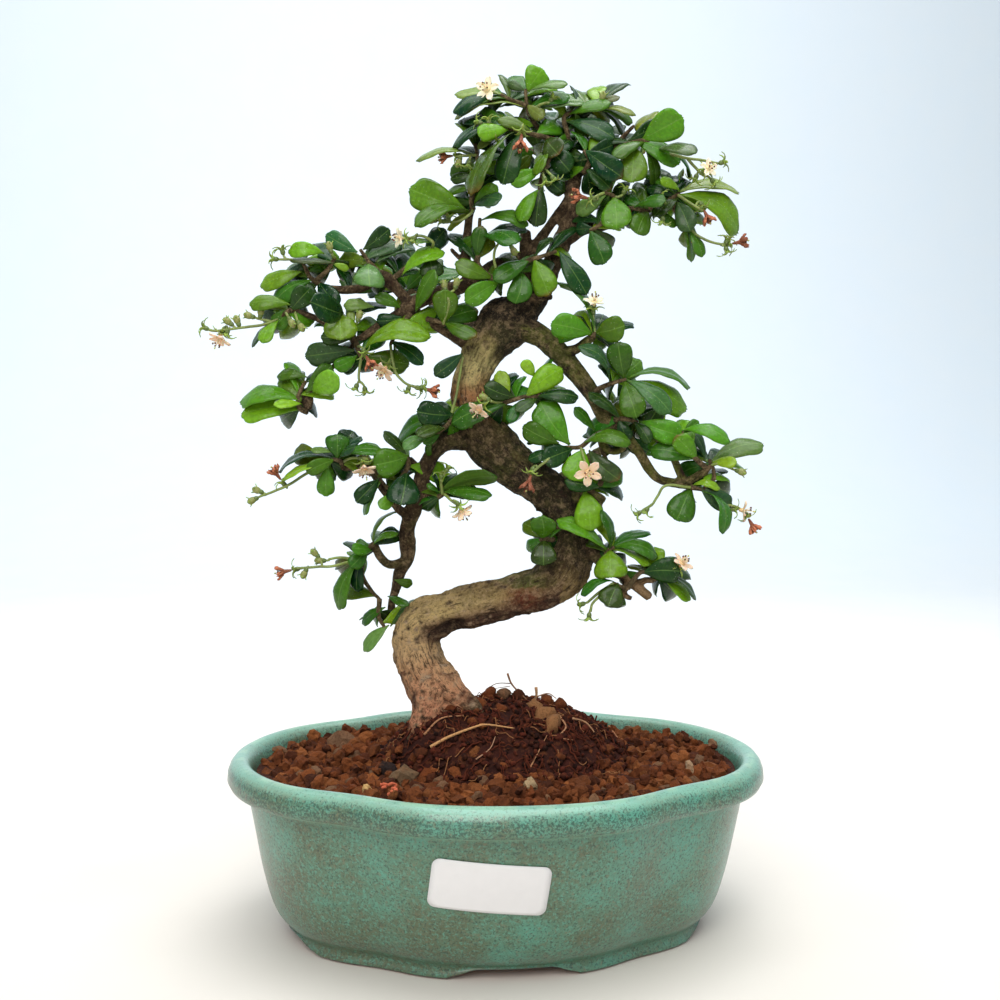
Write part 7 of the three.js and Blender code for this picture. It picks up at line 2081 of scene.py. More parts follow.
@dataclass
class Wood:
    """Trunk and branches: limbs joined into one skin, then furrowed, flaked and painted, with painted
    shade in the furrows, under the level stretch of trunk and on the right of the neck.
    """

    sight: Sight
    trunk: Sequence[LimbPoint] = TRUNK
    branches: Sequence[Sequence[LimbPoint]] = BRANCHES
    root_flares: Sequence[Sequence[LimbPoint]] = ROOT_FLARES
    skin_size: float = 0.62
    step: float = 1.6
    thick_limb: float = 5.0
    search_block: int = 4000

    def line(self, rows: Sequence[LimbPoint]) -> Array:
        """Return the even centre line of one limb, with its radius last."""
        placed = [[*self.sight.seen(x, z, y), radius] for x, z, radius, y in rows]
        return smooth_path(np.array(placed), self.step)

    def seen_back(self, points: Array) -> tuple[Array, Array]:
        """Find where places of the frame are seen.

        Args:
            points: the places.

        Returns:
            Their x and z in the trunk's plane.
        """
        cos, sin = math.cos(self.sight.turn), math.sin(self.sight.turn)
        x, y = points[:, 0] - self.sight.shift, points[:, 1]
        spread = 1 + (x * sin + y * cos) / self.sight.distance
        level = self.sight.height
        return (x * cos - y * sin) / spread, level + (points[:, 2] - level) / spread

    def skin(self, lines: Sequence[Array]) -> Object:
        """Join the limbs into one closed skin.

        Args:
            lines: their centre lines.

        Returns:
            The skin, without its furrows.
        """
        form = Form()
        for line in lines:
            sides = 40 if line[:, 3].max() > self.thick_limb else 18
            form.add(*tube(line[:, :3], line[:, 3], sides))
        made = form.piece("trunk_and_branches", [])
        remesh = made.modifiers.new("skin", "REMESH")
        remesh.mode, remesh.voxel_size = "VOXEL", self.skin_size * MM
        settle(made)
        smooth = made.modifiers.new("even", "SMOOTH")
        smooth.factor, smooth.iterations = 0.5, 3
        settle(made)
        return made

    def limb_places(self, points: Array, lines: Sequence[Array]) -> tuple[Array, Array]:
        """Return the bark's own coordinates at each point and the radius of its limb.

        Args:
            points: the skin's points.
            lines: the limbs' centre lines.

        Returns:
            Coordinates drawn out along the limb, and radii.
        """
        rows = []
        for number, line in enumerate(lines):
            _, first, second = frames_along(line[:, :3])
            length = np.r_[0, np.cumsum(np.linalg.norm(np.diff(line[:, :3], axis=0), axis=1))]
            rows.append(np.column_stack([line, first, second, length + 97 * number]))
        table = np.vstack(rows)
        near = np.zeros(len(points), int)
        for start in range(0, len(points), self.search_block):
            block = slice(start, start + self.search_block)
            gap = np.linalg.norm(points[block, None] - table[None, :, :3], axis=2) - table[None, :, 3]
            near[block] = gap.argmin(axis=1)
        row = table[near]
        off, side, other = points - row[:, :3], row[:, 4:7], row[:, 7:10]
        first, second, ahead = (
            np.einsum("ij,ij->i", off, way) for way in (side, other, np.cross(side, other))
        )
        return np.column_stack([(row[:, 10] + ahead) * 0.24, first, second]), row[:, 3]

    def zones(self, points: Array, normals: Array, radius: Array) -> Array:
        """Colour the bark by where it is on the tree, with painted shade under the level stretch of trunk
        and on the right of the neck.

        Args:
            points: its points.
            normals: the way it looks there.
            radius: the limb's radius there.

        Returns:
            A display colour for each point.
        """
        x, z = self.seen_back(points)
        wander = layered_noise(points, 16, 3)
        patch = layered_noise(points, 6, 9)
        fine = layered_noise(points, 2.4, 15)
        x, z = x + 4 * wander, z + 4 * patch
        heights, colours = zip(*BARK_BY_HEIGHT)
        shade = np.stack([np.interp(z, heights, channel) for channel in zip(*colours)], -1)
        branch = np.clip((4.6 - radius) / 1.2, 0, 1)[:, None]
        twig = np.array((0.32, 0.25, 0.16)) + 0.10 * fine[:, None]
        shade = shade * (1 - branch) + twig * branch

        def lay(share: Array, colour: Colour) -> None:
            """Lay one colour over the bark.

            Args:
                share: how thickly, at each point.
                colour: the display colour.
            """
            nonlocal shade
            share = np.clip(share, 0, 1)[:, None]
            shade = shade * (1 - share) + np.array(colour) * share

        level = (z > 98) & (z < 126) & (x > -30) & (x < 22)
        # painted shade: the underside of the level stretch of trunk is darkened where it faces down
        lay(level * (0.1 - normals[:, 2]) * 1.6, (0.36, 0.25, 0.19))
        lay((patch - 0.16) * 3.0 * (z < 92), (0.36, 0.21, 0.15))
        lay((fine - 0.25) * 3 * (z < 112), (0.76, 0.64, 0.52))
        red = np.exp(-(((x - 10) / 6) ** 2) - ((z - 118) / 4.5) ** 2)
        lay(red * (0.9 + fine), (0.47, 0.24, 0.15))
        moss = np.clip(wander * 1.4 + 0.15 + 0.5 * fine, 0, 1)
        lay(moss * ((z > 122) & (z < 186)) * 0.85, (0.31, 0.34, 0.12))
        # painted shade: the right side of the neck, below the fork, is darkened
        lay((x + 4.5 + 3 * fine) * 0.3 * ((z > 190) & (z < 216)), (0.23, 0.22, 0.11))
        limb = (x > 6) & (z > 150) & (z < 216) & (radius < 4.6)
        lay(limb * (0.6 + moss), (0.42, 0.44, 0.17))
        lay(((x > 43) & (x < 60) & (z > 110) & (z < 128)) * 0.75, (0.66, 0.52, 0.36))
        lay(np.clip(normals[:, 2], 0, 1) * moss * 0.6 * level, (0.52, 0.54, 0.32))
        lay((fine - 0.25) * 1.6 * (z > 112) * (radius > 3), (0.56, 0.48, 0.32))
        lay((-0.28 - fine) * 3, (0.17, 0.12, 0.08))
        return np.clip(shade, 0, 1)

    def build(self, bark: Material) -> Object:
        """Make the wood.

        Args:
            bark: its finish.

        Returns:
            The trunk and branches as one piece.
        """
        lines = [self.line(rows) for rows in (self.trunk, *self.branches, *self.root_flares)]
        made = self.skin(lines)
        mesh = made.data
        points = np.empty(len(mesh.vertices) * 3)
        mesh.vertices.foreach_get("co", points)
        points = points.reshape(-1, 3) / MM
        normals = np.empty(len(points) * 3)
        mesh.vertex_normals.foreach_get("vector", normals)
        normals = normals.reshape(-1, 3)
        place, radius = self.limb_places(points, lines)
        furrow = layered_noise(place, 1.5, 21)
        coarse = layered_noise(place * np.array([0.8, 1, 1]), 4.2, 27)
        lumps = layered_noise(points, 7.5, 33, 2)
        flakes = np.abs(layered_noise(points * np.array([1, 1, 1.2]), 3.2, 39, 2))
        depth = np.clip(radius * 0.15, 0.12, 1.15)
        rise = 0.85 * furrow + 0.75 * coarse + 0.55 * lumps + 0.6 * flakes - 0.15
        x, z = self.seen_back(points)
        hollow = np.exp(-(((x + 17) / 4.2) ** 2) - ((z - 107) / 3.0) ** 2)
        rise = rise * (1 + 0.35 * ((x > 12) & (z > 120) & (z < 160))) - 3.2 * hollow
        moved = points + normals * (rise * depth)[:, None]
        mesh.vertices.foreach_set("co", (moved * MM).ravel())
        shade = self.zones(points, normals, radius)
        # painted shade: the bark is darkened where the furrows sink in
        shade *= (1 - 0.3 * np.clip(-rise - 0.15, 0, 1))[:, None]
        lay_on(mesh, np.column_stack([linear(shade), np.ones(len(points))]), place)
        mesh.polygons.foreach_set("use_smooth", np.ones(len(mesh.polygons), bool))
        mesh.materials.clear()
        mesh.materials.append(bark)
        mesh.update()
        LOG.info("%s: %d corners, %d faces", made.name, len(points), len(mesh.polygons))
        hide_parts("wood")
        return made


@dataclass
class Leaf:
    """One leathery, spoon-shaped leaf with a few shallow teeth at its round end."""

    root: Array
    tip: Array
    width: float
    bow: float
    tone: Tone
    eye: Array
    stations: tuple = (0, 0.04, 0.12, 0.25, 0.4, 0.55, 0.68, 0.78, 0.86, 0.92, 0.97, 1.0)
    shares: tuple = (0.09, 0.11, 0.26, 0.56, 0.83, 1.0, 1.07, 1.06, 0.97, 0.82, 0.60, 0.34)
    rows: tuple = (0, 0.05, 0.12, 0.21, 0.32, 0.43, 0.54, 0.64, 0.73, 0.81, 0.87, 0.92, 0.965, 1.0)
    columns: tuple = (-1, -0.78, -0.5, -0.24, 0, 0.24, 0.5, 0.78, 1.0)
    least_width: float = 0.43
    young_base: Colour = (0.45, 0.50, 0.22)
    dry_tip: Colour = (0.42, 0.27, 0.12)
    packed_half_thickness: float = 0.35

    def axes(self) -> tuple[Array, Array, Array, float, float]:
        """Work out how the leaf lies.

        Returns:
            Its run, its width direction, its upper side, its length and its full width.
        """
        run = self.tip - self.root
        length = float(np.linalg.norm(run))
        run = run / length
        full = max(self.width, self.least_width * length)
        facing = self.eye - self.root
        facing = unit(facing - run * (facing @ run))
        across = np.cross(facing, run)
        if across[2] < 0:
            across = -across
        turn = math.acos(min(1.0, self.width / full))
        look = -math.cos(turn) if self.tone is Tone.UNDER else math.cos(turn)
        upper = unit(facing * look + across * math.sin(turn))
        return run, unit(np.cross(upper, run)), upper, length, full

    def corners(self) -> Array:
        """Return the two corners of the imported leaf's tip."""
        lift = self.axes()[2] * self.packed_half_thickness
        return np.array([self.tip + lift, self.tip - lift])

    def grow(self, form: Form, draw: Generator) -> None:
        """Add the leaf to a spray's form.

        Args:
            form: the form.
            draw: where random numbers come from.
        """
        run, wide, upper, length, full = self.axes()
        half = full / 2 * np.interp(self.rows, self.stations, self.shares)
        grid_u, grid_v = np.meshgrid(self.rows, self.columns, indexing="ij")
        width = half[:, None] * grid_v
        along = grid_u - 0.05 * grid_u**6 * grid_v**2
        along = along + 0.010 * np.cos(4 * math.pi * grid_v) * grid_u**8 - 0.01 * grid_u**8
        bend, twist, roll = draw.normal(0, 0.03), draw.normal(0, 0.18), draw.uniform(0.0, 0.09)
        trough = draw.uniform(-0.08, 0.24)
        lift = 4 * grid_u * (1 - grid_u) * self.bow * length
        lift += half[:, None] * (trough * np.abs(grid_v) - (roll + 0.05) * 2.0 * grid_v**4)
        lift -= draw.uniform(0.0, 0.10) * length * grid_u**3
        lift += width * twist * (grid_u - 0.3)
        lift += 0.10 * np.sin(grid_u * 17 + draw.uniform(0, 6)) * np.abs(grid_v) * half[:, None] * 0.5
        side = width + bend * length * np.sin(math.pi * grid_u)
        grid = (
            self.root
            + run * (along * length)[..., None]
            + wide * side[..., None]
            + upper * lift[..., None]
        )
        points, faces = thin_sheet(grid, 0.36 - 0.2 * grid_v**2, upper)
        colour = np.array(TONE_COLOURS[self.tone]) * draw.uniform(0.86, 1.14)
        colour = colour + np.array([0.05, 0.02, 0]) * draw.normal()
        run_share = grid_u.ravel()
        base = np.clip(1 - run_share / 0.15, 0, 1)[:, None]
        shade = colour * (1 - 0.4 * base) + np.array(self.young_base) * 0.4 * base
        if draw.uniform() < 0.10:
            dry = np.clip((run_share - 0.88) * 7, 0, 1)[:, None]
            shade = shade * (1 - dry) + np.array(self.dry_tip) * dry
        place = np.stack([run_share, grid_v.ravel() * 0.5, np.ones(len(run_share))], -1)
        form.add(points, faces, np.tile(shade, (2, 1)), np.vstack([place, place * (1, 1, 0)]))


@dataclass
class SprayMaker:
    """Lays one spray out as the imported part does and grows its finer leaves, twigs and buds."""

    spray: Spray
    number: int
    sight: Sight
    usual_arch: float = 0.09
    usual_reach: float = 1.75
    longest_reach: float = 12.0
    same_place: float = 0.08
    bends: tuple = (0, 2.5, -2.5, 5, -5, 7.5, -7.5, 10, -10, 13, -13, 16)
    twig_colour: Colour = (0.40, 0.34, 0.22)
    stalk_colour: Colour = (0.46, 0.52, 0.24)
    cup_colour: Colour = (0.34, 0.42, 0.16)
    sepal_colour: Colour = (0.50, 0.60, 0.22)
    bud_colour: Colour = (0.50, 0.52, 0.26)

    def twig_lines(self) -> list[Array]:
        """Read the twigs.

        Returns:
            A row of x, z and y for each point of each twig.
        """
        lines = []
        for twig in self.spray.twigs:
            rows = [(p[0], p[1], self.spray.depth - (p[2] if len(p) > 2 else 0)) for p in twig]
            lines.append(np.array(rows, float))
        return lines

    @staticmethod
    def nearest(lines: Sequence[Array], x: float, z: float) -> tuple[float, Array]:
        """Find the nearest point of some lines in the view.

        Args:
            lines: rows of x, z and y.
            x, z: where the point should be near.

        Returns:
            The gap to it, and the point.
        """
        best, found = math.inf, np.zeros(3)
        for line in lines:
            for start, end in zip(line[:-1], line[1:]):
                run = end - start
                size = run[0] ** 2 + run[1] ** 2
                share = ((x - start[0]) * run[0] + (z - start[1]) * run[1]) / size if size else 0
                point = start + run * min(1.0, max(0.0, share))
                gap = math.hypot(point[0] - x, point[1] - z)
                if gap < best:
                    best, found = gap, point
        return best, found

    def own_leaves(self, twigs: Sequence[Array]) -> list[tuple]:
        """Read the drawn leaves.

        Args:
            twigs: the spray's twigs.

        Returns:
            Root, tip, width, tone and arch of each, in the view's numbers.
        """
        rows = []
        for index, leaf in enumerate(self.spray.leaves):
            x, z, tip_x, tip_z, width, tone = leaf[:6]
            bow = leaf[6] if len(leaf) > 6 else self.usual_arch
            reach = leaf[7] if len(leaf) > 7 else None
            root = self.nearest(twigs, x, z)[1]
            flat = math.hypot(tip_x - x, tip_z - z)
            usual = min(self.longest_reach, math.sqrt(max(0, (self.usual_reach * width) ** 2 - flat**2)))
            toward = usual + (index * 37 % 7 - 3) * 0.6 if reach is None else reach
            rows.append(((x, z, root[2]), (tip_x, tip_z, root[2] - toward), width, Tone(tone), bow))
        return rows

    def far_leaves(
        self, twigs: Sequence[Array], count: int, seed: int, tones: Sequence[Tone]
    ) -> list[tuple]:
        """Return leaves that fill the spray's far side, in the same form as its own.

        Args:
            twigs: the spray's twigs.
            count: how many.
            seed: which random numbers they are drawn with.
            tones: the tones to take in turn.

        Returns:
            One row for each leaf.
        """
        draw = Draws(seed)
        rows = []
        for i in range(count):
            line = twigs[int(draw() * len(twigs))]
            step = min(len(line) - 2, int(draw() * (len(line) - 1)))
            part = draw()
            root = line[step] + (line[step + 1] - line[step]) * part
            angle = (i / count + 0.15 * draw()) * math.tau
            away = 0.45 + 0.5 * draw() if self.spray.leaves else (draw() - 0.35) * 1.2
            length = 12 + 7 * draw()
            flat = length * math.sqrt(max(0.1, 1 - min(0.9, away * away)))
            tip = (
                root[0] + flat * math.cos(angle),
                root[1] + flat * math.sin(angle) * 0.75 + 1.5,
                root[2] + length * away,
            )
            width = length * (0.2 + 0.3 * draw())
            rows.append((tuple(root), tip, width, tones[i % len(tones)], self.usual_arch))
        return rows

    def placed(self, row: tuple, packed: Optional[KDTree]) -> Leaf:
        """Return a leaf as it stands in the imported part, bent clear of its neighbours as there.

        Args:
            row: the leaf in the view's numbers.
            packed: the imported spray's corners, or nothing for a leaf that is only in the scene.

        Returns:
            The leaf.
        """
        root, tip, width, tone, bow = row
        start = self.sight.seen(*root)
        plain = None
        for bend in self.bends:
            end = self.sight.seen(tip[0], tip[1], tip[2] + bend)
            leaf = Leaf(start, end, width, bow, tone, self.sight.eye)
            plain = plain or leaf
            if packed is None:
                break
            gaps = [packed.find(Vector(corner * MM))[2] for corner in leaf.corners()]
            if max(gaps) < self.same_place * MM:
                return leaf
        return plain

    def twig(
        self, form: Form, line: Array, start: float, end: float, finish: int, colour: Colour
    ) -> None:
        """Add a twig or stalk.

        Args:
            form: the form that it joins.
            line: its points in the frame.
            start, end: its first and last radius.
            finish: which of the spray's finishes it takes.
            colour: its display colour.
        """
        path = smooth_path(line, 0.9)
        count = len(path)
        path[1:-1] += 0.14 * np.stack([lattice_noise(path[1:-1], 3.0, k) for k in (3, 4, 5)], -1)
        points, faces = tube(path, np.linspace(start, end, count), 8)
        shade = np.array(colour) * (1 + 0.25 * layered_noise(points, 2.2, 6)[:, None])
        form.add(points, faces, np.clip(shade, 0, 1), points, finish)

    def star(
        self, form: Form, base: Array, axis: Array, shut: bool, draw: Generator
    ) -> None:
        """Add a calyx of five narrow green sepals on a small cup.

        Args:
            form: the form that it joins.
            base: the cup's mouth.
            axis: the way it opens.
            shut: whether a bud still holds it shut.
            draw: where random numbers come from.
        """
        side = unit(np.cross(axis, [0.3, 0.2, 0.9]))
        other = np.cross(axis, side)
        cup = np.array([base - axis * 1.6, base - axis * 0.9, base - axis * 0.1])
        form.add(*tube(cup, np.array([0.55, 0.9, 0.85]), 10), self.cup_colour, finish=2)
        spin = draw.uniform(0, 6.3)
        for k in range(5):
            angle = spin + k * math.tau / 5
            out = side * math.cos(angle) + other * math.sin(angle)
            tangent = np.cross(axis, out)
            t = np.linspace(0, 1, 6)
            spread, reach = (0.5, 3.0) if shut else (1.35, 3.6)
            lean = spread * t * draw.uniform(0.85, 1.15)
            centre = (
                base
                + out * (0.5 + reach * np.sin(lean) * t)[:, None]
                + axis * (-0.4 + reach * np.cos(lean) * t)[:, None]
            )
            half = 0.62 * np.array([0.8, 1.0, 0.9, 0.65, 0.4, 0.08])
            v = np.array([-1, 0, 1])
            grid = centre[:, None] + tangent * (half[:, None] * v)[..., None]
            grid = grid - (out * 0.18)[None, None] * (1 - v**2)[None, :, None]
            tint = np.array(self.sepal_colour) * draw.uniform(0.85, 1.15)
            form.add(*thin_sheet(grid, 0.24), tint, finish=2)

    def bud(self, form: Form, base: Array, axis: Array) -> None:
        """Add a shut round bud.

        Args:
            form: the form that it joins.
            base: its middle.
            axis: the way it points.
        """
        t = np.linspace(-1.3, 2.0, 9)
        radii = 1.25 * np.sqrt(np.clip(1 - ((t - 0.35) / 1.75) ** 2, 0.02, 1))
        form.add(*tube(base + axis * t[:, None], radii, 12), self.bud_colour, finish=2)

    def build(self, packed: KDTree, finishes: Sequence[Material]) -> Object:
        """Make the spray.

        Args:
            packed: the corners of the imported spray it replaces.
            finishes: leaf, twig bark and green skin.

        Returns:
            The spray as one piece.
        """
        draw = np.random.default_rng(SPRAY_SEED + self.number)
        spray, sight = self.spray, self.sight
        form = Form()
        twigs = self.twig_lines()
        for line in twigs:
            path = np.array([sight.seen(x, z, y) for x, z, y in line])
            self.twig(form, path, 1.05, 0.6, 1, self.twig_colour)
        leaves = self.own_leaves(twigs)
        # the hidden leaves on the spray's far side all take the dark tone, partly painted shade inside the
        # crown
        leaves += self.far_leaves(twigs, spray.extra, PACKED_LEAF_SEED + self.number, [Tone.DARK])
        for row in leaves:
            self.placed(row, packed).grow(form, draw)
        tones = [Tone.MID, Tone.DARK, Tone.BRIGHT, Tone.DARK, Tone.OLIVE, Tone.MID, Tone.DARK]
        seed = SCENE_LEAF_SEED + self.number
        for row in self.far_leaves(twigs, spray.scene_leaves, seed, tones):
            self.placed(row, None).grow(form, draw)
        lines = list(twigs)
        for forward, *run in spray.stalks:
            depth = spray.depth - forward
            gap, start = self.nearest(lines, *run[0])
            line = [tuple(start)] + [(x, z, depth) for x, z in run]
            if gap < 1.5:
                line.pop(1)
            if len(line) < 2:
                continue
            lines.append(np.array(line, float))
            path = np.array([sight.seen(x, z, y) for x, z, y in line])
            self.twig(form, path, 0.55, 0.45, 2, self.stalk_colour)
        cups = [(x, z, f, a, u, False, 0.0) for x, z, f, a, u in spray.cups]
        cups += [(x, z, f, a, u, True, 0.0) for x, z, f, a, u in spray.buds]
        for x, z, f, radius, a, u, toward, kind in spray.blooms:
            reach = radius * (0.9 if BloomKind(kind) is BloomKind.WILTED else 0.5) + 0.35 + 1.3
            part = reach / math.hypot(a, u, toward)
            cups.append((x - a * part, z - u * part, f - toward * part, a, u, False, toward))
        for x, z, f, a, u, shut, toward in cups:
            depth = spray.depth - f
            size = math.hypot(a, u)
            start = self.nearest(lines, x - a / size * 2.5, z - u / size * 2.5)[1]
            base = sight.seen(x, z, depth)
            axis = unit(sight.seen(x + a, z + u, depth - toward) - base)
            path = np.array([sight.seen(*start), base - axis * 1.8])
            if np.linalg.norm(path[1] - path[0]) > 0.3:
                path = np.insert(path, 1, path.mean(axis=0) - axis * 0.5, axis=0)
                self.twig(form, path, 0.5, 0.42, 2, self.stalk_colour)
            self.star(form, base, axis, shut, draw)
            if shut:
                self.bud(form, base + axis * 0.6, axis)
        made = form.piece("leafy_" + spray.name.removeprefix("spray_"), finishes)
        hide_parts(spray.name)
        return made


@dataclass
class Flower:
    """One flower: a short tube, five lobes and five stamens, fresh or shrivelled."""

    sight: Sight
    depth: float
    row: tuple
    crown_height: float = 212.0
    white: Colour = (0.95, 0.92, 0.84)
    peach: Colour = (0.93, 0.82, 0.73)
    wilted: Colour = (0.78, 0.45, 0.30)
    withered: Colour = (0.56, 0.30, 0.19)
    wilted_centre: Colour = (0.50, 0.25, 0.14)

    def petal(
        self, out: Array, axis: Array, centre: Array, radius: float, fresh: bool,
        draw: Generator,
    ) -> Body:
        """Return one lobe.

        Args:
            out: the way it points.
            axis: the flower's axis.
            centre: the flower's centre.
            radius: how far it reaches.
            fresh: whether the flower is fresh.
            draw: where random numbers come from.

        Returns:
            Its points and faces.
        """
        u, v = np.linspace(0, 1, 8), np.linspace(-1, 1, 7)
        half = np.interp(u, [0, 0.25, 0.55, 0.85, 1], [0.14, 0.22, 0.30, 0.24, 0.07]) * radius
        grid_u, grid_v = np.meshgrid(u, v, indexing="ij")
        tangent = np.cross(axis, out)
        along = radius * (0.10 + 0.92 * grid_u - 0.10 * grid_u * grid_v**2)
        rise = radius * (-0.16 + 0.30 * grid_u - 0.14 * grid_u**2 + 0.10 * grid_v**2 * grid_u)
        if not fresh:
            half, along = half * 0.75, along * 0.8
            rise += radius * 0.55 * grid_u
            rise += 0.18 * radius * np.sin(5 * grid_v + 6 * grid_u + draw.uniform(0, 6))
        rise += 0.06 * radius * np.sin(grid_v * 5 + draw.uniform(0, 6)) * grid_u
        grid = (
            centre
            + out * along[..., None]
            + tangent * (half[:, None] * grid_v)[..., None]
            + axis * rise[..., None]
        )
        return thin_sheet(grid, 0.22)

    def build(self, name: str, node: str, finish: Material) -> Object:
        """Make the flower.

        Args:
            name: the piece's name.
            node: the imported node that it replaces.
            finish: its skin.

        Returns:
            The flower.
        """
        x, z, forward, radius, across, up, toward, kind = self.row
        draw = np.random.default_rng(int(abs(x) * 10 + z))
        y = self.depth - forward
        centre = self.sight.seen(x, z, y)
        axis = unit(self.sight.seen(x + across * 4, z + up * 4, y - toward * 4) - centre)
        fresh = BloomKind(kind) is BloomKind.WHITE
        side = unit(np.cross(axis, [0.2, 0.3, 0.93]))
        other = np.cross(axis, side)
        form = Form()
        petal = np.array(self.white if z > self.crown_height else self.peach)
        centre_tint = petal * np.array([0.95, 0.88, 0.72])
        if not fresh:
            petal = np.array(self.withered if draw.uniform() < 0.35 else self.wilted)
            centre_tint = np.array(self.wilted_centre)
        spin = draw.uniform(0, 6.3)
        for k in range(5):
            angle = spin + k * math.tau / 5 + draw.normal(0, 0.05)
            out = side * math.cos(angle) + other * math.sin(angle)
            points, faces = self.petal(out, axis, centre, radius, fresh, draw)
            share = np.clip(np.linalg.norm(points - centre, axis=1) / radius, 0, 1)[:, None]
            form.add(points, faces, centre_tint * (1 - share**0.7) + petal * share**0.7)
        back = (0.5 if fresh else 0.9) * radius
        t = np.linspace(0, 1, 6)
        line = centre + axis * (-back + t * (back - 0.06 * radius))[:, None]
        radii = np.interp(t, [0, 0.3, 0.8, 1], [0.10, 0.16, 0.22, 0.27]) * radius
        form.add(*tube(line, radii, 14), centre_tint)
        for k in range(6):
            angle = spin + 0.6 + k * math.tau / 5
            out = side * math.cos(angle) + other * math.sin(angle)
            lean, tall = (0.0, 0.8) if k == 5 else (0.3, 0.5)
            top = centre + axis * (radius * tall) + out * (radius * lean)
            root = centre + out * (radius * 0.06) * (k < 5)
            stem = np.array([root, (root + top) / 2 + axis * 0.2, top])
            tint = (0.90, 0.84, 0.70) if fresh else (0.45, 0.26, 0.14)
            form.add(*tube(stem, np.full(3, 0.13), 5), tint)
            knob = top + axis * np.linspace(-0.35, 0.35, 4)[:, None]
            tint = (0.36, 0.22, 0.14) if k < 5 else (0.72, 0.72, 0.42)
            form.add(*tube(knob, np.array([0.18, 0.34, 0.34, 0.18]), 6), tint)
        made = form.piece(name, [finish])
        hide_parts(node)
        return made


@dataclass(frozen=True)
class Studio:
    """Plain floor, soft light and the camera at the photograph's place."""

    sight: Sight
    eye: tuple[float, float, float] = (-0.0458, -0.4312, 0.1672)
    heading: tuple[float, float] = (0.1167, 0.9932)
    pitch: float = 0.032
    roll: float = 0.008
    lens: float = 43.2

    def floor(self, finish: Material) -> Object:
        """Lay the floor, flat and wide, and bend it up behind.

        Args:
            finish: its finish.

        Returns:
            The floor.
        """
        front, bend, top, half_width, below = -2.0, 1.1, 3.6, 4.0, -0.0005
        arc = np.linspace(0.1, math.pi / 2, 16)
        rows = [(front, below), (bend, below)]
        rows += [(bend + math.sin(angle), 1.0 - math.cos(angle)) for angle in arc]
        rows += [(bend + 1.0, top)]
        points = [(x, y, z) for y, z in rows for x in (-half_width, half_width)]
        faces = [(2 * i, 2 * i + 1, 2 * i + 3, 2 * i + 2) for i in range(len(rows) - 1)]
        mesh = bpy.data.meshes.new("floor")
        mesh.from_pydata(points, [], faces)
        mesh.polygons.foreach_set("use_smooth", np.ones(len(faces), bool))
        mesh.materials.append(finish)
        made = add_object("floor", mesh)
        return made

    def light(
        self, name: str, place: Point, aim: Point, size: float, power: float, colour: Colour
    ) -> None:
        """Hang one soft square light.

        Args:
            name: its name.
            place: where it hangs.
            aim: the place that it points at.
            size: its width.
            power: how strong it is.
            colour: its colour.
        """
        lamp = bpy.data.lights.new(name, "AREA")
        lamp.shape, lamp.size, lamp.energy, lamp.color = "SQUARE", size, power, colour
        made = add_object(name, lamp)
        made.location = place
        made.rotation_euler = (Vector(aim) - Vector(place)).to_track_quat("-Z", "Y").to_euler()

    def camera(self) -> None:
        """Set the camera up where the photograph was taken."""
        ahead = Vector((*[h * math.cos(self.pitch) for h in self.heading], -math.sin(self.pitch)))
        ahead.normalize()
        right = ahead.cross(Vector((0, 0, 1))).normalized()
        top = right.cross(ahead)
        leaning = (top - right * self.roll).normalized()
        right = ahead.cross(leaning)
        data = bpy.data.cameras.new("front_camera")
        data.lens, data.sensor_width = self.lens, 36.0
        data.clip_start, data.clip_end = 0.01, 20.0
        made = add_object("front_camera", data)
        turn = [[right[i], leaning[i], -ahead[i]] for i in range(3)]
        made.rotation_euler = Matrix(turn).to_euler()
        made.location = self.eye
        bpy.context.scene.camera = made

    def build(self, finish: Material) -> None:
        """Set the whole studio up.

        Args:
            finish: the floor's finish.
        """
        self.floor(finish)
        world = bpy.data.worlds.new("soft_white")
        world.use_nodes = True
        sky = world.node_tree.nodes["Background"]
        sky.inputs["Color"].default_value = (*linear((0.91, 0.955, 0.99)), 1.0)
        sky.inputs["Strength"].default_value = 0.62
        bpy.context.scene.world = world
        bpy.context.scene.view_settings.view_transform = "Standard"
        self.light("front_left", (-0.3, -0.95, 0.85), (0, 0, 0.15), 0.7, 9.0, (1.0, 0.97, 0.93))
        self.light("overhead", (0.1, -0.15, 1.1), (0, 0, 0.1), 0.9, 10.0, (0.97, 0.99, 1.0))
        self.light("backdrop", (0.0, 0.5, 1.5), (0, 2.2, 0.5), 1.5, 24.0, (0.97, 0.98, 1.0))
        self.camera()


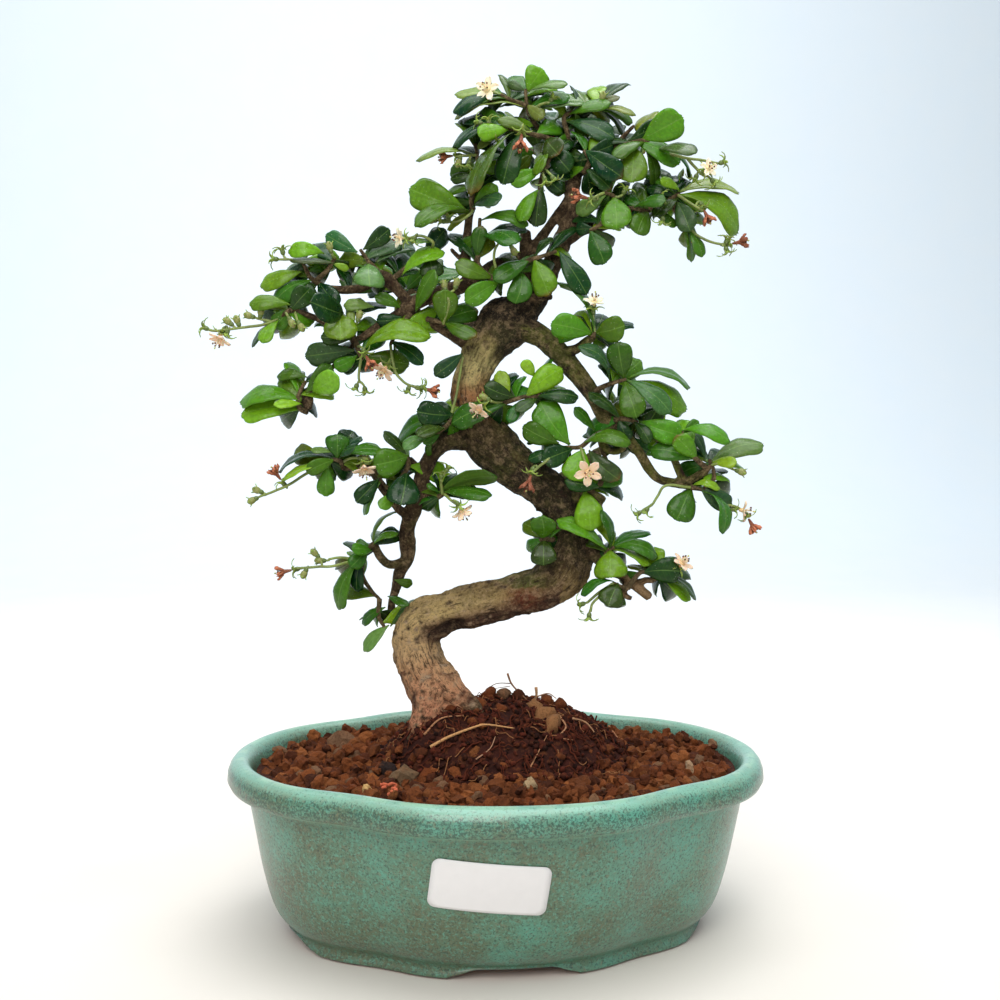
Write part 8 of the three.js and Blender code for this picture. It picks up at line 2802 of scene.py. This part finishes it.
def packed_corners(node: Object) -> KDTree:
    """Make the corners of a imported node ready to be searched.

    Args:
        node: the node.

    Returns:
        The search tree.
    """
    tree = KDTree(len(node.data.vertices))
    for number, vertex in enumerate(node.data.vertices):
        tree.insert(node.matrix_world @ vertex.co, number)
    tree.balance()
    return tree


def main() -> None:
    """Build every sub-assembly in order."""
    logging.basicConfig(level=logging.INFO, format="%(message)s")
    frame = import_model()
    shift = float(np.mean([corner[0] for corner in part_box("pot")])) / MM
    sight = Sight(shift=shift)
    pot = Pot(shift=shift)
    pot.build(Glaze().make())
    paper = EvenSkin("bare_label", (0.865, 0.855, 0.855), (0.875, 0.865, 0.865), 4, 0.25, 0.01, 0.42)
    Label().build(pot, paper.make())
    dark, light = (0.10, 0.10, 0.10), (0.16, 0.16, 0.15)
    netting = EvenSkin("drain_plastic", dark, light, 1.4, 0.3, 0.04, 0.55).make()
    for name in ("drain_mesh_left", "drain_mesh_right"):
        node = frame["nodes"][name]
        node.data.materials.clear()
        node.data.materials.append(netting)
    soil = Soil(pot, sight)
    soil.build_grains(PaintedEarth("clay_grain", 0.8, 0.7, 0.4).make())
    soil.build_mound(PaintedEarth("dark_soil", 0.7, 0.6, 0.5).make(), sight.seen(-21.8, 66, 0))
    Wood(sight).build(Bark().make())
    green = SoftSkin("green_skin", 0.55, 0.15, 0.1)
    finishes = [Foliage().make(), Bark("twig_bark").make(), green.make()]
    petal = SoftSkin("petal", 0.6, 0.0, 0.25).make()
    dried = SoftSkin("dried_petal", 0.75, 0.35, 0.05).make()
    fresh_count = dried_count = 0
    for number, spray in enumerate(SPRAYS):
        packed = packed_corners(frame["nodes"][spray.name])
        SprayMaker(spray, number, sight).build(packed, finishes)
        for row in spray.blooms:
            if BloomKind(row[7]) is BloomKind.WHITE:
                fresh_count += 1
                node, finish = f"bloom_{fresh_count:02d}", petal
            else:
                dried_count += 1
                node, finish = f"wilted_{dried_count:02d}", dried
            Flower(sight, spray.depth, row).build("flower_" + node, node, finish)
    Studio(sight).build(StudioFloor().make())


if __name__ == "__main__":
    main()
